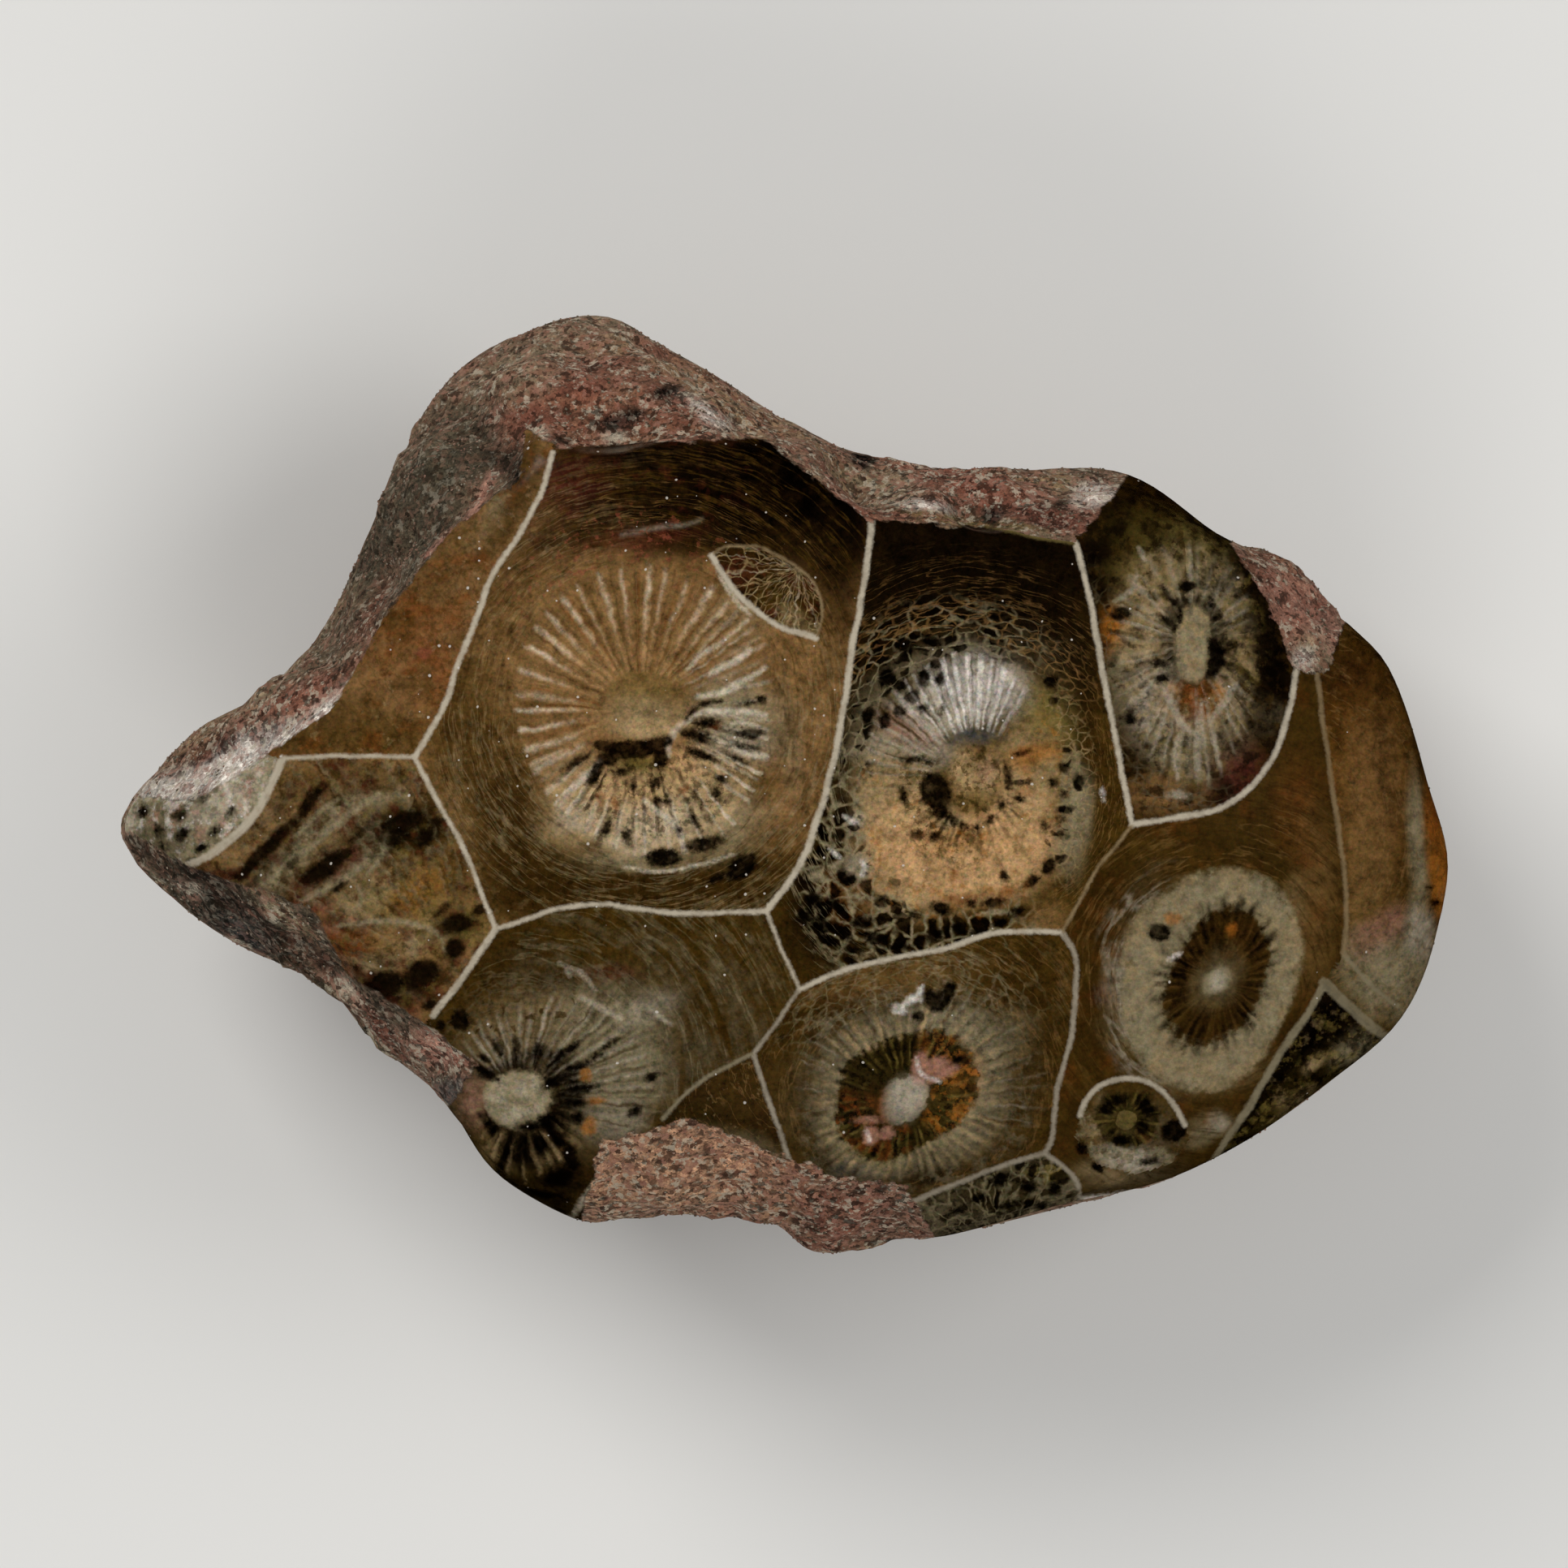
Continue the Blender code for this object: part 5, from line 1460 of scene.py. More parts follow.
CRYSTAL_CUP = Coral(
    "crystal_cup",
    ("cream_foot", "crystal_side", "sliver_top", (1050, 1600), (990, 1600), "-wedge_side", "-low_post"),
    (1115, 1352), BROWN,
    rings=(
        (28, 34, 32, 26, 26, 30, 32, 38, 38, 30, 26, 26), (88, 100, 98, 80, 78, 84, 84, 92, 88, 72, 62, 72),
        (132, 138, 128, 112, 114, 118, 112, 120, 108, 96, 98, 118),
        (172, 178, 165, 140, 140, 140, 132, 145, 130, 118, 125, 150)),
    stains=(
        (UMBER, 1260, 1260, 50, 70, 20, 0.5, 0.8), (UMBER, 1010, 1240, 50, 30, 20, 0.6, 0.8),
        (TAN, 1100, 1205, 90, 20, 8, 0.4, 0.8), (DOVE, 1170, 1262, 52, 20, -10, 0.7, 0.6),
        (GREY, 1120, 1352, 138, 112, 20, 0.5, 0.4), (DOVE, 1225, 1290, 44, 30, 40, 0.4, 0.7),
        (BROWN, 1250, 1350, 40, 60, 0, 0.35, 0.8), (MOSS, 1118, 1350, 96, 74, 30, 0.97, 0.18),
        (AMBER, 1178, 1340, 30, 40, -10, 0.85, 0.6), (OLIVE, 1168, 1368, 30, 24, 0, 0.8, 0.6),
        (RUST, 1066, 1372, 26, 30, 0, 0.75, 0.6), (OLIVE, 1050, 1402, 30, 18, -30, 0.8, 0.6),
        (OLIVE, 1090, 1420, 24, 14, 10, 0.7, 0.6), (SOOT, 1172, 1300, 24, 14, -20, 0.9, 0.5),
        (RUST, 1140, 1285, 18, 12, 0, 0.8, 0.6), (RUST, 1206, 1320, 10, 22, 0, 0.7, 0.6),
        (SOOT, 1060, 1325, 22, 26, 0, 0.7, 0.6), (SOOT, 1142, 1390, 26, 12, 20, 0.8, 0.6),
        (LILAC, 1116, 1354, 26, 31, -45, 0.95), (SOOT, 1140, 1447, 40, 12, 6, 0.8, 0.6),
        (MOSS, 1020, 1432, 34, 18, -20, 0.7, 0.7), (SLATE, 1050, 1440, 30, 9, -8, 0.5, 0.7)),
    dark=(
        (((1143, 1222), (1152, 1234), (1164, 1226), (1172, 1214)), 11), (1155, 1235, 13, 10),
        (1132, 1251, 8, 7), (1186, 1304, 12, 6)),
    pale=(
        (1108, 1242, 10, 6, -20), (((1112, 1238), (1122, 1230), (1134, 1228)), 4.5),
        (((1136, 1214), (1132, 1226)), 3), (((1130, 1300), (1136, 1322), (1158, 1330)), 2),
        (((1066, 1390), (1072, 1404)), 2)),
    warm=(
        (1147, 1318, 25, 14, 30), (1133, 1308, 9, 16, -20), (1168, 1318, 14, 6, 30), (1073, 1397, 11, 12),
        (1092, 1395, 11, 8, 20), (1070, 1378, 14, 4)),
    layers=(
        Cloud(UMBER, 0.55, (2.9, 3.4, 30, 31), 1, 0.8, 0.44, 0.6),
        Lines(TAN, 0.3, (3, 3.4, 12, 13), 2, 0.5, 2, 0.16),
        Lines(DOVE, 0.35, (3, 3.3, 5, 7, 95, 60, 20), 7, 0.6, 2, 0.16),
        Net(DOVE, 0.3, (2.8, 3.1, 4.6, 5.6, 95, 60, 16), 3, 0.4, 8, 0, 0.12),
        Band(DOVE, 0.6, (1.8, 2, 2.2, 3.3)), Cloud(GREY, 0.8, (2, 2.3, 3.4, 4.2), 9, 0.4, 0.44, 0.6),
        Band(MOSS, 0.96, (0.9, 1.05, 1.88, 2.05)),
        Septa(CREAM, 0.75, (1.8, 2, 2.4, 3.3), 1, 44, 0.02, 0.22, 0.2, 0.6, 0.7, 0.09),
        Septa(LILAC, 0.6, (2.3, 2.6, 3.2, 4.4, 80, 100, 20), 12, 52, 0.01, 0.1, 0.3, 0.8, 0.9, 0.07),
        Septa(UMBER, 0.75, (2.1, 2.4, 3, 3.5), 2, 48, 0.02, 0.14, 0.2, 0.6, 0.8, 0.07),
        Cloud(RUST, 0.7, (1, 1.15, 1.9, 2, 225, 50, 10), 5, 0.4, 0.46, 0.56),
        Cloud(AMBER, 0.75, (1, 1.15, 1.9, 2, 10, 60, 14), 8, 0.4, 0.47, 0.58),
        Septa(OLIVE, 0.7, (1.2, 1.4, 1.9, 2.05), 4, 36, 0.02, 0.2, 0.14, 0.5, 0.6),
        Septa(BLACK, 0.9, (1.25, 1.45, 1.95, 2.4, 165, 120, 16), 3, 38, 0.02, 0.3, 0.16, 0.5, 0.5, 0.07),
        Cloud(BLACK, 0.6, (1, 1.2, 1.9, 2.1), 6, 0.28, 0.52, 0.61)),
    dust=0.06, warm_tone=ROSE)

SLIVER = Coral(
    "sliver", ("sliver_side", (1340, 1640), (1050, 1640), (1050, 1600), "-sliver_top"), (1230, 1560), GREY,
    stains=(
        (MOSS, 1230, 1470, 100, 24, 14, 0.75, 0.6), (OLIVE, 1290, 1442, 24, 12, 0, 0.7, 0.6),
        (GREY, 1160, 1500, 50, 22, 6, 0.7, 0.7)),
    dark=(
        (1234, 1452, 14, 8, 20), (1268, 1460, 12, 8, -20), (1205, 1474, 12, 6, 20), (1300, 1462, 8, 10),
        (1180, 1490, 12, 5, 20), (1242, 1484, 16, 5, 10), (1285, 1484, 10, 5)),
    layers=(
        Cloud(SOOT, 0.8, (), 2, 0.45, 0.46, 0.55), Pores(BLACK, 0.85, (), 1, 0.62, 7, 0.16, 0.5),
        Net(DOVE, 0.55, (), 1, 0.62, 7, 0, 0.13)),
    dust=0.05)

SMALL_BUD = Coral(
    "small_bud", ("small_arc", (1466, 1402), (1444, 1432), (1400, 1446), (1350, 1432), (1324, 1400)),
    (1388, 1377), BROWN,
    rings=((14, 14, 13, 13, 14, 14, 14, 14, 14, 14, 14, 14), (38, 38, 36, 34, 36, 40, 40, 38, 34, 34, 36, 38)),
    stains=(
        (GREY, 1395, 1400, 62, 46, 0, 0.6, 0.5), (SAND, 1350, 1390, 16, 36, 0, 0.6, 0.6),
        (OLIVE, 1388, 1378, 13, 15, 0, 0.7, 0.8), (OLIVE, 1366, 1385, 12, 16, 0, 0.6, 0.6),
        (RUST, 1410, 1398, 12, 9, 0, 0.6, 0.6), (BONE, 1400, 1430, 40, 14, 0, 0.6, 0.7)),
    dark=(
        (1446, 1392, 16, 14, 30), (1412, 1362, 9, 12, 30), (1378, 1352, 12, 6, 10), (1362, 1364, 8, 8),
        (1382, 1402, 14, 6), (1407, 1388, 8, 9), (1333, 1415, 8, 8), (1414, 1430, 14, 5)),
    layers=(
        Cloud(BROWN, 0.7, (1.9, 2.1, 9, 10), 2, 0.4, 0.46, 0.58),
        Cloud(DOVE, 0.6, (1.9, 2.05, 3.2, 3.6, 230, 100, 20), 5, 0.5, 0.46, 0.6),
        Band(MOSS, 0.9, (0.9, 1, 1.9, 2.1)),
        Septa(BLACK, 0.85, (1, 1.2, 1.9, 2.2), 3, 14, 0.03, 0.35, 0.2, 0.6),
        Septa(OLIVE, 0.7, (1, 1.2, 1.9, 2.2), 1, 18, 0.03, 0.1, 0.16)),
    dust=0.04)

RING_CUP = Coral(
    "ring_cup",
    ("-cream_side", "corner_foot", "strip_side", "olive_side", (1450, 1640), (1340, 1640), "-sliver_side",
     "-crystal_side"),
    (1500, 1207), BROWN,
    rings=(
        (18, 24, 22, 18, 16, 18, 22, 24, 20, 16, 15, 16), (60, 78, 98, 94, 70, 61, 66, 82, 90, 78, 66, 57),
        (98, 118, 138, 138, 128, 128, 118, 128, 140, 136, 108, 94),
        (122, 140, 160, 162, 158, 156, 146, 154, 165, 158, 130, 112)),
    stains=(
        (BROWN, 1560, 1000, 90, 50, 0, 0.5, 0.8), (RUST, 1600, 1000, 30, 60, 0, 0.25, 0.8),
        (UMBER, 1360, 1120, 40, 60, -30, 0.7, 0.7), (MOSS, 1560, 1065, 60, 22, -30, 0.4, 0.8),
        (UMBER, 1350, 1260, 24, 50, 0, 0.55, 0.7), (MAROON, 1358, 1232, 16, 12, 0, 0.5, 0.7),
        (TAN, 1620, 1120, 30, 100, 0, 0.4, 0.8), (LILAC, 1380, 1215, 20, 46, 0, 0.45, 0.7),
        (GREY, 1400, 1160, 30, 70, -14, 0.5, 0.7), (DOVE, 1400, 1270, 34, 30, 0, 0.5, 0.7),
        (SAND, 1500, 1315, 54, 26, 10, 0.7, 0.6), (SAND, 1585, 1160, 16, 60, -4, 0.6, 0.7),
        (BROWN, 1420, 1000, 60, 30, 0, 0.5, 0.8), (SOOT, 1490, 1150, 26, 34, 30, 0.85, 0.6),
        (SOOT, 1520, 1238, 34, 20, 20, 0.7, 0.7), (RUST, 1530, 1170, 22, 26, 0, 0.35, 0.8),
        (OLIVE, 1553, 1185, 12, 40, -10, 0.5, 0.7), (OLIVE, 1455, 1240, 24, 34, -20, 0.35, 0.7),
        (DOVE, 1500, 1206, 24, 15, 46, 0.85, 0.5), (CALCITE, 1502, 1205, 10, 9, 0, 0.6, 0.7),
        (GREY, 1390, 1445, 60, 20, 6, 0.7, 0.7), (DOVE, 1480, 1390, 34, 20, 20, 0.5, 0.7),
        (BROWN, 1480, 1352, 44, 14, 6, 0.7, 0.7), (BONE, 1502, 1378, 14, 12, 0, 0.35, 0.7),
        (SAND, 1365, 1450, 40, 12, 0, 0.45, 0.7), (UMBER, 1595, 1265, 10, 60, -34, 0.5, 0.7),
        (DOVE, 1420, 1330, 30, 10, 0, 0.4, 0.7)),
    dark=((1428, 1148, 14, 12), (1354, 1435, 9, 8), (1333, 1412, 8, 9)),
    pale=((((1440, 1180), (1455, 1172)), 2.5), (((1331, 1477), (1370, 1473), (1413, 1467)), 3)),
    warm=((1516, 1144, 7, 8), (1444, 1130, 10, 8)),
    layers=(
        Cloud(UMBER, 0.4, (), 1, 1, 0.45, 0.62), Cloud(RUST, 0.25, (), 4, 1.4, 0.5, 0.66),
        Lines(TAN, 0.32, (3.05, 3.3, 4.5, 8, 125, 90, 30), 2, 0.5, 1.6, 0.16),
        Lines(UMBER, 0.6, (3.05, 3.3, 6, 9), 5, 0.46, 1.6, 0.25),
        Lines(LILAC, 0.45, (2.9, 3.1, 3.6, 4.4, 180, 60, 20), 8, 0.5, 1.8, 0.4),
        Band(DOVE, 0.95, (1.8, 1.98, 2.74, 3.24)), Cloud(BROWN, 0.6, (2.6, 2.9, 3.1, 3.5), 12, 0.4, 0.48, 0.6),
        Cloud(SAND, 0.6, (1.9, 2.1, 2.9, 3.1), 6, 1.1, 0.42, 0.6),
        Cloud(GREY, 0.25, (1.9, 2.1, 2.9, 3.1), 7, 0.5, 0.5, 0.66),
        Septa(TAN, 0.35, (1.95, 2.1, 2.8, 3), 3, 76, 0.03, 0, 0.3, 0.8, 1),
        Band(UMBER, 0.95, (0.7, 1.1, 1.75, 2.12)), Cloud(BROWN, 0.9, (0.9, 1.1, 1.8, 2), 10, 0.5, 0.46, 0.6),
        Septa(HONEY, 0.35, (1, 1.3, 1.9, 2), 4, 52, 0.01, 0.16, 0.2, 0.7, 0.9, 0.08),
        Septa(BLACK, 0.92, (1.15, 1.6, 2, 2.42), 1, 32, 0.02, 0.42, 0.16, 0.5, 0.4, 0.09),
        Cloud(BLACK, 0.6, (1.1, 1.4, 1.8, 2.1, 130, 90, 20), 9, 0.4, 0.46, 0.6),
        Band(DOVE, 0.75, (-1, -0.5, 0.3, 1.5))),
    dust=0.03, mottle=0.75)

RIGHT_STRIP = Coral(
    "right_strip",
    ("-strip_side", (1610, 824), (1640, 760), (1700, 690), (1900, 800), (1900, 1300), "-olive_top"),
    (1560, 1020), BROWN,
    stains=(
        (UMBER, 1665, 830, 46, 50, 0, 0.8, 0.7), (SOOT, 1660, 830, 30, 22, 0, 0.4, 0.8),
        (AMBER, 1680, 950, 60, 120, 0, 0.22, 0.8), (HONEY, 1690, 960, 40, 80, 0, 0.5, 0.8),
        (TAN, 1680, 1080, 26, 90, 0, 0.5, 0.8), (DOVE, 1742, 1045, 13, 90, 0, 0.75, 0.5),
        (AMBER, 1772, 1050, 20, 80, 2, 0.85, 0.5), (RUST, 1770, 1000, 14, 30, 0, 0.5, 0.7),
        (LILAC, 1750, 1155, 22, 30, 0, 0.8, 0.6), (DOVE, 1700, 1200, 46, 44, -40, 0.7, 0.6),
        (ROSE, 1700, 1150, 16, 34, -40, 0.5, 0.7), (DOVE, 1730, 1215, 30, 30, 0, 0.6, 0.7)),
    dark=((1770, 1112, 7, 5), (1762, 1092, 5, 4)),
    layers=(
        Cloud(UMBER, 0.5, (), 1, 1, 0.45, 0.62), Cloud(TAN, 0.3, (), 3, 0.4, 0.55, 0.68),
        Lines(TAN, 0.35, (), 2, 0.6, 1.5, 0.1)),
    dust=0.03)

OLIVE_CORNER = Coral(
    "olive_corner", ("olive_top", (1800, 1500), (1480, 1500), "-olive_side"), (1620, 1330), SOOT,
    stains=(
        (BLACK, 1610, 1290, 60, 12, 46, 0.9, 0.6), (MOSS, 1610, 1340, 80, 26, 36, 0.75, 0.6),
        (SAND, 1623, 1309, 15, 6, 24, 0.75, 0.7), (DOVE, 1672, 1290, 18, 26, -50, 0.6, 0.7),
        (SAND, 1600, 1345, 26, 6, 30, 0.35, 0.7), (OLIVE, 1580, 1372, 30, 8, 30, 0.4, 0.7)),
    layers=(
        Cloud(OLIVE, 0.55, (), 1, 0.5, 0.5, 0.6), Cloud(BLACK, 0.75, (), 2, 0.6, 0.46, 0.56),
        Cloud(SAND, 0.3, (), 3, 0.5, 0.55, 0.7)),
    dust=0.03)

CORALS: tuple[Coral, ...] = (
    GREAT_BUD, SMALL_BUD, GREAT_CUP, CREAM_CUP, CORNER_CUP, SPOKE_CUP, WEDGE, CRYSTAL_CUP, SLIVER,
    OLIVE_CORNER, RIGHT_STRIP, RING_CUP, AMBER_FIELD, STREAKED_FAN, SPUR_TIP)


@dataclass(frozen=True)
class RoughGround:
    """A part of the front that the grinding never reached: its loop in millimetres."""

    name: str
    loop: tuple[tuple[float, float], ...]


ROUGH_GROUNDS: tuple[RoughGround, ...] = (
    RoughGround("top_rim", (
        (-22.6, -0.4), (-20.3, -0.6), (-17.8, 1.0), (-15.8, 2.4), (-15.0, 3.4), (-13.6, 6.0),
        (-11.4, 8.8), (-9.1, 10.5), (-8.9, 12.2), (-7.7, 11.6), (-3.8, 11.8), (-0.7, 11.9),
        (2.9, 9.1), (7.7, 8.8), (10.2, 8.5), (12.0, 10.8), (10.0, 19.0), (-20.0, 19.0),
        (-25.0, 8.0), (-25.0, 0.4))),
    RoughGround("lower_left_flank", (
        (-22.6, -1.6), (-20.6, -2.8), (-16.2, -4.3), (-15.0, -6.6), (-12.2, -8.3),
        (-10.6, -9.7), (-11.6, -11.2), (-18.0, -14.0), (-26.0, -8.0), (-25.0, -2.4))),
    RoughGround("lower_crust", (
        (-7.0, -15.0), (-6.3, -12.4), (-3.2, -11.5), (-0.5, -12.6), (1.4, -13.4), (4.2, -13.9),
        (5.2, -15.6), (4.0, -19.0), (-7.0, -19.0))),
    RoughGround("upper_right_patch", (
        (15.4, 8.3), (16.4, 6.8), (17.5, 4.0), (18.7, 3.9), (19.3, 5.5), (22.0, 9.0),
        (16.0, 11.0))),
)

RIND_STAINS_AND_SHADE = stains((
    (BRICK, 750, 505, 135, 62, 8, 0.55, 0.7), (BRICK, 1150, 560, 140, 32, -18, 0.6, 0.7),
    (MAROON, 805, 522, 90, 22, 0, 0.45, 0.7), (MAROON, 1283, 633, 46, 14, -8, 0.75, 0.6),
    (MAROON, 674, 516, 34, 16, 0, 0.6, 0.7), (CALCITE, 1140, 616, 34, 8, -4, 0.75, 0.5),
    (DOVE, 1090, 598, 40, 16, -10, 0.6, 0.6), (OLIVE, 1190, 636, 90, 9, -9, 0.7, 0.5),
    (SAND, 1290, 598, 40, 10, -4, 0.5, 0.7), (BRICK, 1210, 600, 60, 16, -14, 0.6, 0.7),
    (CALCITE, 1345, 608, 26, 12, 10, 0.7, 0.6), (SAND, 1306, 598, 26, 10, 0, 0.7, 0.6),
    (ASH, 505, 640, 150, 62, 60, 0.85, 0.5), (ASH, 590, 560, 64, 50, 0, 0.75, 0.6),
    (SOOT, 636, 577, 32, 22, 0, 0.85, 0.6), (DOVE, 640, 460, 60, 26, 30, 0.55, 0.7),
    (DOVE, 770, 405, 60, 16, -10, 0.5, 0.7), (SAND, 880, 480, 60, 24, -30, 0.4, 0.7),
    (BRICK, 440, 770, 66, 14, 55, 0.55, 0.7), (GREY, 400, 800, 46, 34, 30, 0.7, 0.7),
    (GREY, 560, 520, 60, 20, 50, 0.5, 0.7), (ASH, 440, 720, 60, 20, 60, 0.5, 0.7),
    (DOVE, 330, 850, 40, 14, 20, 0.5, 0.7), (MAROON, 262, 930, 60, 20, 22, 0.85, 0.6),
    (BRICK, 372, 858, 54, 14, 30, 0.7, 0.6),
    (CALCITE, ((184, 980), (254, 959), (304, 933), (357, 914), (411, 883), (436, 866)), 21, 0.97, 10),
    (MAROON, 330, 905, 24, 6, 24, 0.5, 0.6), (ROSE, 395, 866, 30, 8, 30, 0.35, 0.6),
    (CALCITE, 318, 946, 52, 20, 24, 0.9, 0.5), (CALCITE, 400, 896, 40, 14, 32, 0.8, 0.6),
    (SAND, 150, 1012, 14, 20, 0, 0.7, 0.6), (ROSE, ((528, 682), (571, 646), (612, 594)), 4, 0.8, 3),
    (BRICK, 1580, 725, 76, 60, -30, 0.6, 0.6), (UMBER, 1560, 700, 40, 60, -30, 0.4, 0.7),
    (ROSE, 1600, 740, 44, 30, -35, 0.45, 0.7), (ASH, 340, 1160, 260, 80, -38, 0.8, 0.5),
    (DOVE, 1616, 800, 20, 26, 0, 0.7, 0.6), (MAROON, 1640, 735, 20, 44, -34, 0.5, 0.7),
    (CALCITE, 1606, 812, 11, 14, 0, 0.6, 0.6), (ROSE, 1640, 770, 24, 20, -40, 0.5, 0.7),
    (ROSE, 820, 1430, 150, 66, 0, 0.7, 0.6), (PEACH, 830, 1436, 170, 66, 0, 0.4, 0.6),
    (BRICK, 1040, 1485, 96, 34, -10, 0.5, 0.7), (SOOT, 300, 1130, 150, 30, -36, 0.7, 0.5),
    (SOOT, 430, 1250, 100, 26, -48, 0.6, 0.6), (SLATE, 280, 1130, 60, 12, -38, 0.6, 0.6),
    (SAND, 350, 1120, 60, 8, -36, 0.6, 0.6), (DOVE, 340, 1126, 38, 12, -36, 0.85, 0.5),
    (BONE, 236, 1092, 18, 7, -30, 0.8, 0.5), (DOVE, 192, 1086, 20, 9, -40, 0.8, 0.5),
    (BONE, 428, 1222, 26, 8, -50, 0.8, 0.5), (MOSS, 250, 1110, 40, 14, -36, 0.7, 0.6),
    (MOSS, 390, 1210, 50, 12, -44, 0.7, 0.6), (DOVE, 462, 1288, 26, 10, -46, 0.8, 0.5),
    (BONE, 500, 1322, 16, 8, -40, 0.7, 0.6), (BONE, 294, 1162, 20, 7, -30, 0.8, 0.5),
    (DOVE, 420, 1225, 70, 8, -50, 0.6, 0.6), (BRICK, 470, 1270, 60, 14, -45, 0.6, 0.7),
    (ROSE, 541, 1290, 34, 16, -30, 0.8, 0.6), (SLATE, 560, 1345, 24, 14, -40, 0.7, 0.7),
    # The black spots over the pits of the top rim are painted shade
    (MAROON, 390, 1180, 40, 12, -40, 0.4, 0.7), (BLACK, 765, 518, 30, 12, 22, 0.98, 0.4),
    (BLACK, 820, 482, 22, 13, 10, 0.98, 0.4), (SOOT, 700, 545, 12, 8, 0, 0.8, 0.5),
    (BONE, 755, 540, 12, 8, 0, 0.7, 0.6), (BONE, 668, 535, 12, 10, 0, 0.7, 0.6),
    (CALCITE, 870, 512, 34, 10, -28, 0.7, 0.6), (BLACK, 1063, 566, 15, 14, 0, 0.98, 0.3),
    (BLACK, 1226, 628, 13, 13, 0, 0.97, 0.3), (SOOT, 1305, 618, 10, 5, 0, 0.8, 0.5)))

COARSE_GROUNDS = stains((
    (ROSE, 820, 1430, 230, 100, 0, 1, 0.4), (ROSE, 1050, 1480, 130, 60, 0, 1, 0.5),
    (ROSE, 800, 540, 210, 60, 8, 0.8, 0.5), (ROSE, 1160, 595, 180, 50, -12, 0.8, 0.5),
    (ROSE, 330, 900, 160, 60, 30, 0.7, 0.5), (ROSE, 541, 1290, 50, 30, -30, 0.9, 0.5),
    (ROSE, 300, 1140, 190, 70, -38, 0.8, 0.5), (ROSE, 450, 1270, 110, 50, -46, 0.8, 0.5)))


